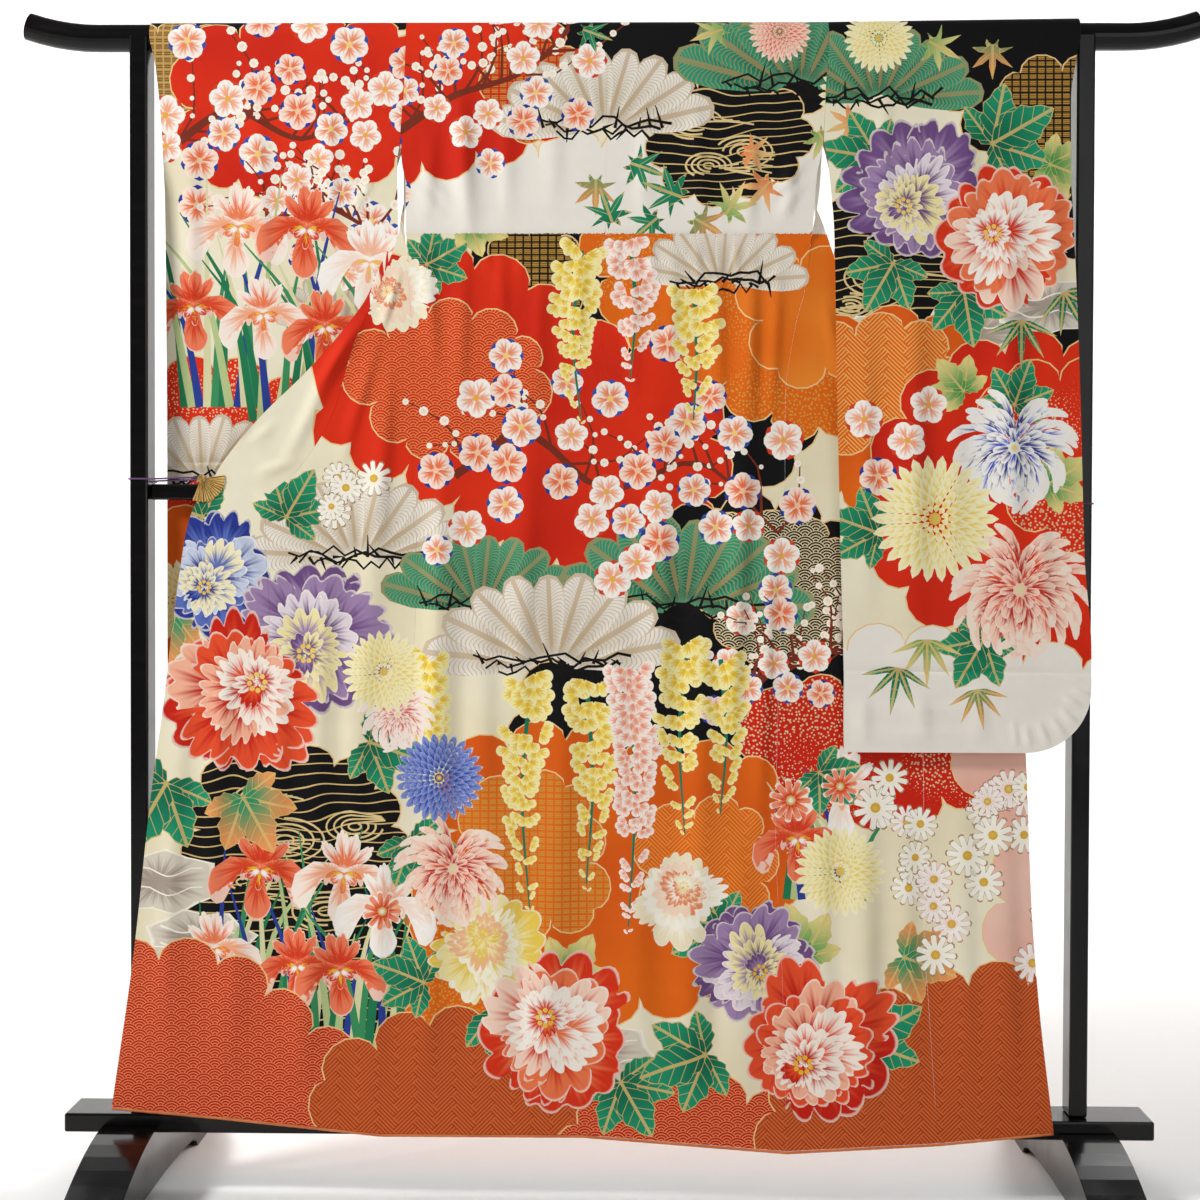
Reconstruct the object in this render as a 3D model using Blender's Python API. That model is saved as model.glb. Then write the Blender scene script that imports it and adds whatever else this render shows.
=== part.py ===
"""Furisode kimono hung on a black lacquered kimono stand, seen from the kimono's back.

Units are metres, +Z is up and -Y is the side that the kimono's back faces. The origin is on the floor under
the middle of the stand. Each cloth piece is a thin wall between two edges. An edge is a table of stations,
each one so far down from the shoulder line, which lies on top of the rail.
"""

import math
from typing import NamedTuple

import bmesh
import bpy
from mathutils import Matrix, Vector

# Stand
RAIL_TOP = 1.681
RAIL_RADIUS = 0.0195
RAIL_HALF_SPAN = 0.836
RAIL_BEND_START = 0.735
RAIL_END_LIFT = 0.017
RAIL_AXIS = RAIL_TOP - RAIL_RADIUS
POST_X = 0.673
POST_WIDTH = 0.026
POST_DEPTH = 0.0455
MID_RAIL_Z = 1.0107
MID_RAIL_HEIGHT = 0.0226
MID_RAIL_DEPTH = 0.020
PLANK_HALF_LENGTH = 0.777
PLANK_DEPTH = 0.081
PLANK_BOTTOM = 0.093
PLANK_THICKNESS = 0.027
FOOT_X = 0.681
FOOT_WIDTH = 0.080
FOOT_HALF_LENGTH = 0.300
FOOT_CREST = 0.103
EDGE_ROUND = 0.003
FIT = 0.0003

# Cloth
CLOTH = 0.0012
SEAM = 0.0003
WRAP_STEPS = 4
WRAP = RAIL_RADIUS / math.cos(math.pi / 4 / WRAP_STEPS) + SEAM + CLOTH / 2
QUARTER = WRAP * math.pi / 2
LONGEST_STEP = 0.090
SLEEVE_CORNER = 0.090
SLEEVE_WIDTH = 0.340
SLEEVE_CORNER_FADE = 0.300
SEWN_TO = 0.183
CUFF_OPENS_TO = 0.270
LAYER_SPACING = 0.0015
HEM_ROLL_RADIUS = 0.0020

# Fan clips and their cords
FAN_RADIUS = 0.034
FAN_PLATE = 0.0015
FAN_RIBS = 9
HUB_RADIUS = 0.006
CORD_RADIUS = 0.00125
CORD_LOOP_GAP = 0.0016

PRINTED_SILK = (0.82, 0.20, 0.08)
PALE_SILK = (0.90, 0.86, 0.78)
HEM_ORANGE = (0.86, 0.30, 0.14)
BLACK_LACQUER = (0.010, 0.010, 0.012)
OLD_BRASS = (0.33, 0.25, 0.12)
VIOLET_CORD = (0.05, 0.02, 0.09)


class Station(NamedTuple):
    """One place on an edge: how far down the cloth, and where that is across and in depth."""

    down: float
    x: float
    y: float


class Fold(NamedTuple):
    """A soft fold that runs down the cloth. It stands height proud of the cloth, towards the viewer."""

    x_top: float
    x_foot: float
    top: float
    foot: float
    half_width: float
    height: float


class LowerRow(NamedTuple):
    """How far down one crosswise row lies at each seam, from the side opening to the hem."""

    centre: float
    side: float
    okumi: float
    outer: float


class UpperRow(NamedTuple):
    """How far down one crosswise row of a front lies at its side, at its edge, and at the collar's free edge, and
    how far the collar's seam is eased away from the edge."""

    side: float
    edge: float
    collar: float
    ease: float


CENTRE_SEAM = (
    Station(0.0, -0.0040, -WRAP),
    Station(QUARTER, -0.0040, -WRAP),
    Station(0.113, -0.0048, -0.0217),
    Station(0.300, -0.0060, -0.0246),
    Station(0.312, -0.0062, -0.0248),
    Station(0.319, -0.0063, -0.0228),
    Station(0.620, -0.0150, -0.0250),
    Station(0.920, -0.0220, -0.0290),
    Station(1.200, -0.0270, -0.0370),
    Station(1.450, -0.0310, -0.0465),
    Station(1.595, -0.0340, -0.0515),
)

LEFT_SIDE = (
    Station(0.0, -0.2910, -WRAP),
    Station(QUARTER, -0.2910, -WRAP),
    Station(0.113, -0.2940, -0.0215),
    Station(0.183, -0.2985, -0.0217),
    Station(0.220, -0.2955, -0.0222),
    Station(0.242, -0.2910, -0.0228),
    Station(0.273, -0.2905, -0.0235),
    Station(0.312, -0.2900, -0.0245),
    Station(0.319, -0.2898, -0.0226),
    Station(0.331, -0.2897, -0.0225),
    Station(0.411, -0.2840, -0.0228),
    Station(0.483, -0.2810, -0.0235),
    Station(0.573, -0.2810, -0.0245),
    Station(0.653, -0.2800, -0.0252),
    Station(0.713, -0.2770, -0.0258),
    Station(0.780, -0.2730, -0.0265),
    Station(0.908, -0.2770, -0.0290),
    Station(1.093, -0.2910, -0.0335),
    Station(1.263, -0.3100, -0.0400),
    Station(1.433, -0.3210, -0.0465),
    Station(1.596, -0.3210, -0.0515),
)

RIGHT_SIDE = (
    Station(0.0, 0.3096, -WRAP),
    Station(QUARTER, 0.3096, -WRAP),
    Station(0.113, 0.3054, -0.0215),
    Station(0.183, 0.3027, -0.0217),
    Station(0.213, 0.2976, -0.0222),
    Station(0.230, 0.2938, -0.0228),
    Station(0.263, 0.2907, -0.0235),
    Station(0.308, 0.2876, -0.0243),
    Station(0.319, 0.2858, -0.0226),
    Station(0.323, 0.2853, -0.0225),
    Station(0.354, 0.2826, -0.0226),
    Station(0.392, 0.2776, -0.0228),
    Station(0.453, 0.2627, -0.0233),
    Station(0.553, 0.2500, -0.0243),
    Station(0.695, 0.2500, -0.0257),
    Station(0.979, 0.2414, -0.0305),
    Station(1.163, 0.2386, -0.0360),
    Station(1.376, 0.2485, -0.0445),
    Station(1.616, 0.2556, -0.0515),
)

LEFT_FRONT_FAR_SIDE = (
    Station(0.0, -0.2910, WRAP),
    Station(QUARTER, -0.2910, WRAP),
    Station(0.113, -0.2940, 0.0216),
    Station(0.183, -0.2985, 0.0210),
    Station(0.248, -0.2975, 0.0120),
    Station(0.298, -0.2955, 0.0000),
    Station(0.331, -0.2907, -0.0210),
    Station(0.358, -0.2887, -0.0222),
)

RIGHT_FRONT_FAR_SIDE = (
    Station(0.0, 0.3096, WRAP),
    Station(QUARTER, 0.3096, WRAP),
    Station(0.113, 0.3054, 0.0120),
    Station(0.183, 0.3027, -0.0010),
    Station(0.248, 0.2985, -0.0120),
    Station(0.290, 0.2925, -0.0160),
    Station(0.323, 0.2863, -0.0212),
    Station(0.350, 0.2840, -0.0222),
)

LEFT_FRONT_EDGE = (
    Station(0.0, -0.0950, WRAP),
    Station(QUARTER, -0.0970, WRAP),
    Station(0.108, -0.1400, 0.0270),
    Station(0.178, -0.2050, 0.0320),
    Station(0.238, -0.2680, 0.0310),
    Station(0.269, -0.2985, 0.0120),
    Station(0.305, -0.3000, -0.0170),
    Station(0.357, -0.3153, -0.0215),
    Station(0.413, -0.3380, -0.0228),
    Station(0.479, -0.3664, -0.0240),
    Station(0.574, -0.3948, -0.0255),
    Station(0.651, -0.4430, -0.0263),
    Station(0.697, -0.4885, -0.0268),
    Station(0.748, -0.4900, -0.0272),
    Station(0.863, -0.4840, -0.0285),
    Station(1.053, -0.5000, -0.0335),
    Station(1.233, -0.5210, -0.0395),
    Station(1.403, -0.5325, -0.0455),
    Station(1.574, -0.5467, -0.0505),
)

RIGHT_FRONT_EDGE = (
    Station(0.0, 0.0870, WRAP),
    Station(QUARTER, 0.0890, WRAP),
    Station(0.108, 0.1350, 0.0270),
    Station(0.178, 0.2050, 0.0300),
    Station(0.238, 0.2680, 0.0240),
    Station(0.269, 0.2920, 0.0060),
    Station(0.297, 0.3020, -0.0120),
    Station(0.345, 0.3180, -0.0185),
    Station(0.413, 0.3400, -0.0195),
    Station(0.479, 0.3650, -0.0198),
    Station(0.574, 0.3920, -0.0195),
    Station(0.651, 0.4250, -0.0188),
    Station(0.697, 0.4460, -0.0185),
    Station(0.748, 0.4460, -0.0186),
    Station(0.863, 0.4430, -0.0200),
    Station(1.120, 0.4487, -0.0310),
    Station(1.305, 0.4487, -0.0410),
    Station(1.405, 0.4550, -0.0455),
    Station(1.603, 0.4690, -0.0510),
)

LEFT_OUTER = (
    Station(0.340, -0.3167, -0.0205),
    Station(0.375, -0.3337, -0.0210),
    Station(0.401, -0.3436, -0.0215),
    Station(0.445, -0.3735, -0.0225),
    Station(0.510, -0.4300, -0.0245),
    Station(0.582, -0.5027, -0.0262),
    Station(0.646, -0.5540, -0.0270),
    Station(0.683, -0.5750, -0.0270),
    Station(0.703, -0.5915, -0.0270),
    Station(0.739, -0.6035, -0.0270),
    Station(0.771, -0.6090, -0.0272),
    Station(0.865, -0.6220, -0.0285),
    Station(0.979, -0.6347, -0.0310),
    Station(1.120, -0.6530, -0.0360),
    Station(1.333, -0.6745, -0.0440),
    Station(1.561, -0.7057, -0.0500),
)

RIGHT_OUTER = (
    Station(0.330, 0.3200, -0.0180),
    Station(0.401, 0.3500, -0.0182),
    Station(0.445, 0.3800, -0.0182),
    Station(0.510, 0.4300, -0.0180),
    Station(0.582, 0.4870, -0.0180),
    Station(0.646, 0.5300, -0.0180),
    Station(0.683, 0.5480, -0.0180),
    Station(0.703, 0.5560, -0.0180),
    Station(0.771, 0.5660, -0.0185),
    Station(0.865, 0.5750, -0.0200),
    Station(0.979, 0.5880, -0.0240),
    Station(1.057, 0.5936, -0.0280),
    Station(1.263, 0.6007, -0.0390),
    Station(1.403, 0.6106, -0.0455),
    Station(1.586, 0.6320, -0.0505),
)

LEFT_LOWER = (
    LowerRow(0.331, 0.331, 0.305, 0.330),
    LowerRow(0.358, 0.358, 0.357, 0.340),
    LowerRow(0.411, 0.411, 0.413, 0.401),
    LowerRow(0.483, 0.483, 0.479, 0.445),
    LowerRow(0.573, 0.573, 0.574, 0.510),
    LowerRow(0.653, 0.653, 0.651, 0.582),
    LowerRow(0.713, 0.713, 0.697, 0.646),
    LowerRow(0.780, 0.780, 0.748, 0.703),
    LowerRow(0.908, 0.908, 0.863, 0.813),
    LowerRow(1.093, 1.093, 1.053, 1.033),
    LowerRow(1.263, 1.263, 1.233, 1.213),
    LowerRow(1.433, 1.433, 1.403, 1.393),
    LowerRow(1.595, 1.596, 1.574, 1.561),
)

RIGHT_LOWER = (
    LowerRow(0.323, 0.323, 0.297, 0.320),
    LowerRow(0.350, 0.350, 0.345, 0.330),
    LowerRow(0.411, 0.411, 0.413, 0.401),
    LowerRow(0.483, 0.483, 0.479, 0.445),
    LowerRow(0.573, 0.573, 0.574, 0.510),
    LowerRow(0.653, 0.653, 0.651, 0.582),
    LowerRow(0.713, 0.713, 0.697, 0.646),
    LowerRow(0.780, 0.780, 0.748, 0.703),
    LowerRow(0.908, 0.908, 0.863, 0.813),
    LowerRow(1.093, 1.093, 1.073, 1.033),
    LowerRow(1.263, 1.263, 1.243, 1.213),
    LowerRow(1.433, 1.433, 1.413, 1.393),
    LowerRow(1.595, 1.616, 1.603, 1.586),
)

BACK_UPPER = (QUARTER, 0.072, 0.113, 0.148, 0.183, 0.225, 0.273, 0.312, 0.319)
FRONT_UPPER = (
    UpperRow(QUARTER, QUARTER, 0.068, 0.0000),
    UpperRow(0.072, 0.070, 0.100, 0.0000),
    UpperRow(0.113, 0.108, 0.141, 0.0001),
    UpperRow(0.148, 0.143, 0.180, 0.0001),
    UpperRow(0.183, 0.178, 0.217, 0.0002),
    UpperRow(0.216, 0.208, 0.243, 0.0003),
    UpperRow(0.248, 0.238, 0.268, 0.0009),
    UpperRow(0.292, 0.269, 0.2885, 0.0024),
)

SLEEVE_ROWS = (
    QUARTER, 0.072, 0.113, 0.148, 0.183, 0.230, 0.270, 0.340, 0.420,
    0.500, 0.580, 0.660, 0.740, 0.820, 0.900, 0.970, 1.010, 1.036, 1.050,
)
LEFT_SLEEVE_NEAR_OUTER = (
    Station(0.0, -0.6575, -WRAP),
    Station(QUARTER, -0.6575, -WRAP),
    Station(0.070, -0.6500, -0.0185),
    Station(0.183, -0.6420, -0.0090),
    Station(0.270, -0.6415, 0.0050),
    Station(0.420, -0.6415, 0.0115),
    Station(0.620, -0.6410, 0.0145),
    Station(1.050, -0.6410, 0.0145),
)
LEFT_SLEEVE_NEAR_FREE = (
    Station(0.183, -0.2985, -0.0217),
    Station(0.220, -0.3035, -0.0190),
    Station(0.263, -0.3035, -0.0140),
    Station(0.313, -0.3035, -0.0080),
    Station(0.413, -0.3050, 0.0020),
    Station(0.600, -0.3060, 0.0115),
    Station(0.720, -0.3060, 0.0130),
    Station(1.050, -0.3060, 0.0145),
)
LEFT_SLEEVE_FAR_OUTER = (
    Station(0.0, -0.6575, WRAP),
    Station(QUARTER, -0.6575, WRAP),
    Station(0.070, -0.6500, 0.0205),
    Station(0.183, -0.6420, 0.0140),
    Station(0.270, -0.6415, 0.0065),
)
LEFT_SLEEVE_FAR_FREE = (
    Station(0.183, -0.2985, 0.0210),
    Station(0.220, -0.3100, 0.0215),
    Station(0.300, -0.3200, 0.0225),
    Station(0.600, -0.3200, 0.0235),
    Station(0.980, -0.3180, 0.0235),
    Station(1.030, -0.3120, 0.0200),
    Station(1.050, -0.3060, 0.0160),
)
RIGHT_SLEEVE_NEAR_OUTER = (
    Station(0.0, 0.6640, -0.0250),
    Station(QUARTER, 0.6640, -0.0250),
    Station(0.070, 0.6575, -0.0260),
    Station(0.127, 0.6500, -0.0275),
    Station(0.240, 0.6500, -0.0320),
    Station(0.270, 0.6515, -0.0345),
    Station(0.413, 0.6590, -0.0365),
    Station(0.553, 0.6646, -0.0380),
    Station(0.780, 0.6717, -0.0410),
    Station(0.908, 0.6816, -0.0430),
    Station(1.050, 0.6816, -0.0450),
)
RIGHT_SLEEVE_NEAR_FREE = (
    Station(0.183, 0.3027, -0.0217),
    Station(0.208, 0.3076, -0.0245),
    Station(0.254, 0.3123, -0.0295),
    Station(0.313, 0.3166, -0.0360),
    Station(0.510, 0.3210, -0.0390),
    Station(0.750, 0.3270, -0.0425),
    Station(1.000, 0.3337, -0.0460),
    Station(1.050, 0.3340, -0.0450),
)
RIGHT_SLEEVE_FAR_OUTER = (
    Station(0.0, 0.6550, WRAP),
    Station(QUARTER, 0.6550, WRAP),
    Station(0.070, 0.6525, 0.0130),
    Station(0.127, 0.6500, 0.0000),
    Station(0.240, 0.6500, -0.0280),
    Station(0.270, 0.6515, -0.0330),
)
RIGHT_SLEEVE_FAR_FREE = (
    Station(0.183, 0.3027, -0.0010),
    Station(0.220, 0.3110, -0.0100),
    Station(0.260, 0.3180, -0.0185),
    Station(0.313, 0.3250, -0.0258),
    Station(0.510, 0.3280, -0.0285),
    Station(0.900, 0.3340, -0.0345),
    Station(1.000, 0.3337, -0.0360),
    Station(1.030, 0.3337, -0.0395),
    Station(1.050, 0.3340, -0.0435),
)

BODY_FOLDS = (
    Fold(-0.215, -0.195, 0.10, 0.34, 0.016, 0.0050),
    Fold(-0.225, -0.245, 0.62, 1.22, 0.018, 0.0085),
    Fold(-0.110, -0.130, 0.36, 1.10, 0.030, 0.0045),
    Fold(-0.050, -0.085, 0.90, 1.58, 0.026, 0.0045),
    Fold(0.070, 0.060, 0.36, 1.20, 0.030, 0.0045),
    Fold(0.150, 0.120, 0.95, 1.60, 0.024, 0.0050),
    Fold(0.195, 0.180, 0.38, 1.00, 0.022, 0.0060),
    Fold(-0.400, -0.430, 1.02, 1.58, 0.028, 0.0060),
    Fold(-0.610, -0.630, 1.15, 1.56, 0.022, 0.0045),
    Fold(0.350, 0.360, 1.12, 1.60, 0.026, 0.0055),
    Fold(0.540, 0.550, 1.15, 1.58, 0.024, 0.0050),
)
DOOR_FOLDS = (
    Fold(-0.360, -0.470, 0.44, 0.66, 0.012, 0.0050),
    Fold(-0.330, -0.340, 0.52, 1.00, 0.018, 0.0045),
)
SLEEVE_FOLDS = (
    Fold(0.420, 0.425, 0.30, 1.00, 0.028, 0.0040),
    Fold(0.560, 0.565, 0.25, 0.96, 0.030, 0.0040),
)

NECK_DROP = 0.058
COLLAR_LEFT_FREE = (
    Station(0.068, -0.0560, 0.0255),
    Station(0.100, -0.0700, 0.0290),
    Station(0.141, -0.0960, 0.0320),
    Station(0.180, -0.1320, 0.0345),
    Station(0.217, -0.1660, 0.0360),
    Station(0.243, -0.2015, 0.0360),
    Station(0.268, -0.2380, 0.0340),
    Station(0.2885, -0.2795, 0.0220),
)
COLLAR_RIGHT_FREE = (
    Station(0.068, 0.0480, 0.0255),
    Station(0.100, 0.0620, 0.0290),
    Station(0.141, 0.0910, 0.0320),
    Station(0.180, 0.1290, 0.0335),
    Station(0.217, 0.1660, 0.0330),
    Station(0.243, 0.2015, 0.0310),
    Station(0.268, 0.2380, 0.0280),
    Station(0.2885, 0.2730, 0.0160),
)
COLLAR_NECK_X = (-0.0700, -0.0350, -0.0040, 0.0280, 0.0620)
COLLAR_END_DOWN = (0.375, 0.410, 0.445, 0.510, 0.582, 0.646, 0.690)
COLLAR_END_WIDTH = (0.010, 0.022, 0.036, 0.048, 0.050, 0.050, 0.046)
COLLAR_END_BEHIND = 0.0017


def slopes_of(places, values):
    """Slopes of a smooth curve through the values that never swings past them."""
    steps = [b - a for a, b in zip(places, places[1:])]
    rises = [(b - a) / h for a, b, h in zip(values, values[1:], steps)]
    slopes = [rises[0]]
    for before, after in zip(rises, rises[1:]):
        slopes.append(0.0 if before * after <= 0 else 2 * before * after / (before + after))
    slopes.append(rises[-1])
    return slopes


class Edge:
    """A smooth edge through a table of stations."""

    def __init__(self, stations):
        self.downs = [s.down for s in stations]
        self.columns = [[s.x for s in stations], [s.y for s in stations]]
        self.slopes = [slopes_of(self.downs, column) for column in self.columns]

    def at(self, down):
        """Across and depth at this distance down."""
        downs = self.downs
        down = min(max(down, downs[0]), downs[-1])
        i = max(k for k in range(len(downs) - 1) if downs[k] <= down)
        h = downs[i + 1] - downs[i]
        t = (down - downs[i]) / h
        found = []
        for column, slopes in zip(self.columns, self.slopes):
            found.append(
                column[i] * (1 + 2 * t) * (1 - t) ** 2
                + slopes[i] * h * t * (1 - t) ** 2
                + column[i + 1] * t * t * (3 - 2 * t)
                + slopes[i + 1] * h * t * t * (t - 1)
            )
        return found


def place(x, down, y):
    """A point of the hung cloth. Above the rail's widest line it lies round the rail, on the side that y gives."""
    if down >= QUARTER:
        return Vector((x, y, RAIL_AXIS - (down - QUARTER)))
    turn = down / QUARTER * math.pi / 2
    return Vector((x, y * math.sin(turn), RAIL_AXIS + abs(y) * math.cos(turn)))


def fold_rise(folds, x, down):
    """How far the folds lift the cloth here."""
    rise = 0.0
    for fold in folds:
        along = (down - fold.top) / (fold.foot - fold.top)
        if 0 < along < 1:
            middle = fold.x_top + (fold.x_foot - fold.x_top) * along
            rise += fold.height * math.sin(math.pi * along) * math.exp(-(((x - middle) / fold.half_width) ** 2))
    return rise


def spread(downs):
    """The rows of a table with more set between them, so that none is far from the next. Each row is a tuple of
    distances down, one for each edge. The rows round the rail come first."""
    turned = [QUARTER * k / WRAP_STEPS for k in range(WRAP_STEPS)]
    starts_on_rail = abs(downs[0][0] - QUARTER) < 1e-9
    rows = [tuple(max(t, SEAM / 2) for _ in downs[0]) for t in turned] if starts_on_rail else []
    for a, b in zip(downs, downs[1:]):
        count = max(1, math.ceil(max(q - p for p, q in zip(a, b)) / LONGEST_STEP))
        rows += [tuple(p + (q - p) * k / count for p, q in zip(a, b)) for k in range(count)]
    return rows + [tuple(downs[-1])]


class JoinedEdge:
    """An edge that follows one table as far as a seam's end, and another below it."""

    def __init__(self, upper, lower, change, behind=0.0):
        self.upper = upper
        self.lower = lower
        self.change = change
        self.behind = behind

    def at(self, down):
        """Across and depth at this distance down. Below the change it lies a little behind its table."""
        if down <= self.change:
            return self.upper.at(down)
        x, y = self.lower.at(down)
        return [x, y + self.behind]


def corner_lift(s, down, length, corner_on_right):
    """How far a sleeve's rounded corner lifts the cloth here."""
    towards = s if corner_on_right else 1 - s
    into = max(0.0, towards - 1 + SLEEVE_CORNER / SLEEVE_WIDTH) * SLEEVE_WIDTH / SLEEVE_CORNER
    lift = SLEEVE_CORNER * (1 - math.sqrt(max(0.0, 1 - into * into)))
    return lift * max(0.0, 1 - (length - down) / SLEEVE_CORNER_FADE)


def lower_rows(table):
    """The crosswise rows below the side openings. Every piece takes the same ones, so that the seams meet."""
    return [LowerRow(*row) for row in spread(table)]


def sheet_grid(left, right, rows, across, folds=(), corner=None):
    """Rows of points of a cloth piece between two edges, which each stop half a seam gap short. A sleeve's corner
    is "left" or "right"."""
    grid = []
    for left_down, right_down in rows:
        row = []
        for s in across:
            lift = corner_lift(s, left_down, rows[-1][0], corner == "right") if corner else 0.0
            x0, y0 = left.at(left_down - lift)
            x1, y1 = right.at(right_down - lift)
            inset = math.copysign(SEAM / 2, x1 - x0)
            down = left_down + (right_down - left_down) * s - lift
            x = x0 + inset + (x1 - x0 - 2 * inset) * s
            row.append(place(x, down, y0 + (y1 - y0) * s - fold_rise(folds, x, down)))
        grid.append(row)
    return grid


def grid_normals(grid):
    """The cloth's direction out at each point of a grid."""
    rows = len(grid)
    count = len(grid[0])
    normals = []
    for i in range(rows):
        line = []
        for j in range(count):
            across = grid[i][min(j + 1, count - 1)] - grid[i][max(j - 1, 0)]
            along = grid[min(i + 1, rows - 1)][j] - grid[max(i - 1, 0)][j]
            line.append(across.cross(along).normalized())
        normals.append(line)
    return normals


def material(name, colour, roughness, metallic=0.0):
    """A plain finish for one piece."""
    made = bpy.data.materials.new(name)
    made.use_nodes = True
    shader = made.node_tree.nodes["Principled BSDF"]
    shader.inputs["Base Color"].default_value = (*colour, 1.0)
    shader.inputs["Roughness"].default_value = roughness
    shader.inputs["Metallic"].default_value = metallic
    return made


def add_mesh(name, points, faces, finish):
    """A new object of these points and faces, with its faces turned out."""
    mesh = bpy.data.meshes.new(name)
    bm = bmesh.new()
    verts = [bm.verts.new(p) for p in points]
    for face in faces:
        bm.faces.new([verts[k] for k in face])
    bmesh.ops.recalc_face_normals(bm, faces=bm.faces)
    bm.to_mesh(mesh)
    bm.free()
    made = bpy.data.objects.new(name, mesh)
    made.data.materials.append(material(name, *finish))
    bpy.context.scene.collection.objects.link(made)
    return made


def wall(name, grid, finish, thickness=CLOTH):
    """A cloth wall of even thickness about a grid of points."""
    normals = grid_normals(grid)
    rows = len(grid)
    count = len(grid[0])
    points = []
    for side in (-0.5, 0.5):
        for line, outs in zip(grid, normals):
            points += [p + n * thickness * side for p, n in zip(line, outs)]
    layer = rows * count
    faces = []
    for i in range(rows - 1):
        for j in range(count - 1):
            a = i * count + j
            ring = [a, a + 1, a + 1 + count, a + count]
            falling = (grid[i][j] - grid[i + 1][j + 1]).length
            if falling > (grid[i][j + 1] - grid[i + 1][j]).length + 1e-6:
                ring = ring[1:] + ring[:1]
            a, b, c, d = ring
            faces += [(a, b, c), (a, c, d), (a + layer, c + layer, b + layer), (a + layer, d + layer, c + layer)]
    rim = [j for j in range(count)]
    rim += [i * count + count - 1 for i in range(1, rows)]
    rim += [(rows - 1) * count + j for j in range(count - 2, -1, -1)]
    rim += [i * count for i in range(rows - 2, 0, -1)]
    for a, b in zip(rim, rim[1:] + rim[:1]):
        faces += [(a, a + layer, b + layer), (a, b + layer, b)]
    return add_mesh(name, points, faces, finish)


def tube(name, path, radius, sides, finish):
    """A round bar along a path, with flat ends."""
    points = []
    up = Vector((0.0, 0.0, 1.0))
    for i, p in enumerate(path):
        ahead = (path[min(i + 1, len(path) - 1)] - path[max(i - 1, 0)]).normalized()
        first = up.cross(ahead).normalized() if abs(ahead.z) < 0.9 else Vector((1.0, 0.0, 0.0))
        second = ahead.cross(first).normalized()
        for k in range(sides):
            turn = 2 * math.pi * k / sides
            points.append(p + first * radius * math.cos(turn) + second * radius * math.sin(turn))
    faces = []
    for i in range(len(path) - 1):
        for k in range(sides):
            a = i * sides + k
            b = i * sides + (k + 1) % sides
            faces.append((a, b, b + sides, a + sides))
    faces.append(tuple(range(sides - 1, -1, -1)))
    faces.append(tuple(range((len(path) - 1) * sides, len(path) * sides)))
    made = add_mesh(name, points, faces, finish)
    made.data.shade_smooth()
    made.data.set_sharp_from_angle(angle=math.radians(40))
    return made


def even(count):
    """Places from 0 to 1 across a piece."""
    return [k / count for k in range(count + 1)]


def sleeve_across(corner_on_right):
    """Places across a sleeve, closer together at its rounded corner."""
    start = 1 - SLEEVE_CORNER / SLEEVE_WIDTH
    places = [start * k / 5 for k in range(5)]
    places += [start + (1 - start) * math.sin(math.radians(22.5 * k)) for k in range(5)]
    return places if corner_on_right else [1 - s for s in reversed(places)]


def build_backs():
    """The two back halves, joined by the centre seam, with the waist tuck across them."""
    grids = []
    for side, edge, lower in (("left", LEFT_SIDE, LEFT_LOWER), ("right", RIGHT_SIDE, RIGHT_LOWER)):
        rows = spread([(d, d) for d in BACK_UPPER])
        if side == "left":
            rows += [(r.side, r.centre) for r in lower_rows(lower)]
            grid = sheet_grid(Edge(edge), Edge(CENTRE_SEAM), rows, even(11), BODY_FOLDS)
        else:
            rows += [(r.centre, r.side) for r in lower_rows(lower)]
            grid = sheet_grid(Edge(CENTRE_SEAM), Edge(edge), rows, even(11), BODY_FOLDS)
        wall(f"{side}_back", grid, (PRINTED_SILK, 0.55))
        grids.append(grid)
    return grids


def front_edges():
    """The edges of the two fronts: along the sleeve and side seam, and along the collar and okumi seam."""
    left_side = Edge(LEFT_FRONT_FAR_SIDE + tuple(s for s in LEFT_SIDE if s.down > 0.400))
    right_side = Edge(RIGHT_FRONT_FAR_SIDE + tuple(s for s in RIGHT_SIDE if s.down > 0.380))
    return left_side, Edge(LEFT_FRONT_EDGE), right_side, Edge(RIGHT_FRONT_EDGE)


def build_fronts():
    """The two fronts. Each hangs from the rail's far side, passes the side opening bunched up, and opens out
    beside the back, held out by its fan clip."""
    left_side, left_edge, right_side, right_edge = front_edges()
    upper = spread([(r.side, r.edge) for r in FRONT_UPPER])
    rows = upper + [(r.side, r.okumi) for r in lower_rows(LEFT_LOWER)]
    left = sheet_grid(left_side, left_edge, rows, even(8))
    left = turn_over(left, BODY_FOLDS + DOOR_FOLDS)
    wall("left_front", left, (PRINTED_SILK, 0.55))
    rows = upper + [(r.side, r.okumi) for r in lower_rows(RIGHT_LOWER)]
    right = sheet_grid(right_side, right_edge, rows, even(8))
    right = turn_over(right, BODY_FOLDS)
    wall("right_front", right, (PRINTED_SILK, 0.55))
    return left, right


def turn_over(grid, folds):
    """Adds the folds where a front has come round to the back's side."""
    turned = []
    for row in grid:
        line = []
        for p in row:
            down = RAIL_AXIS - p.z + QUARTER
            rise = fold_rise(folds, p.x, down) if p.y < -0.015 else 0.0
            line.append(Vector((p.x, p.y - rise, p.z)))
        turned.append(line)
    return turned


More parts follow.
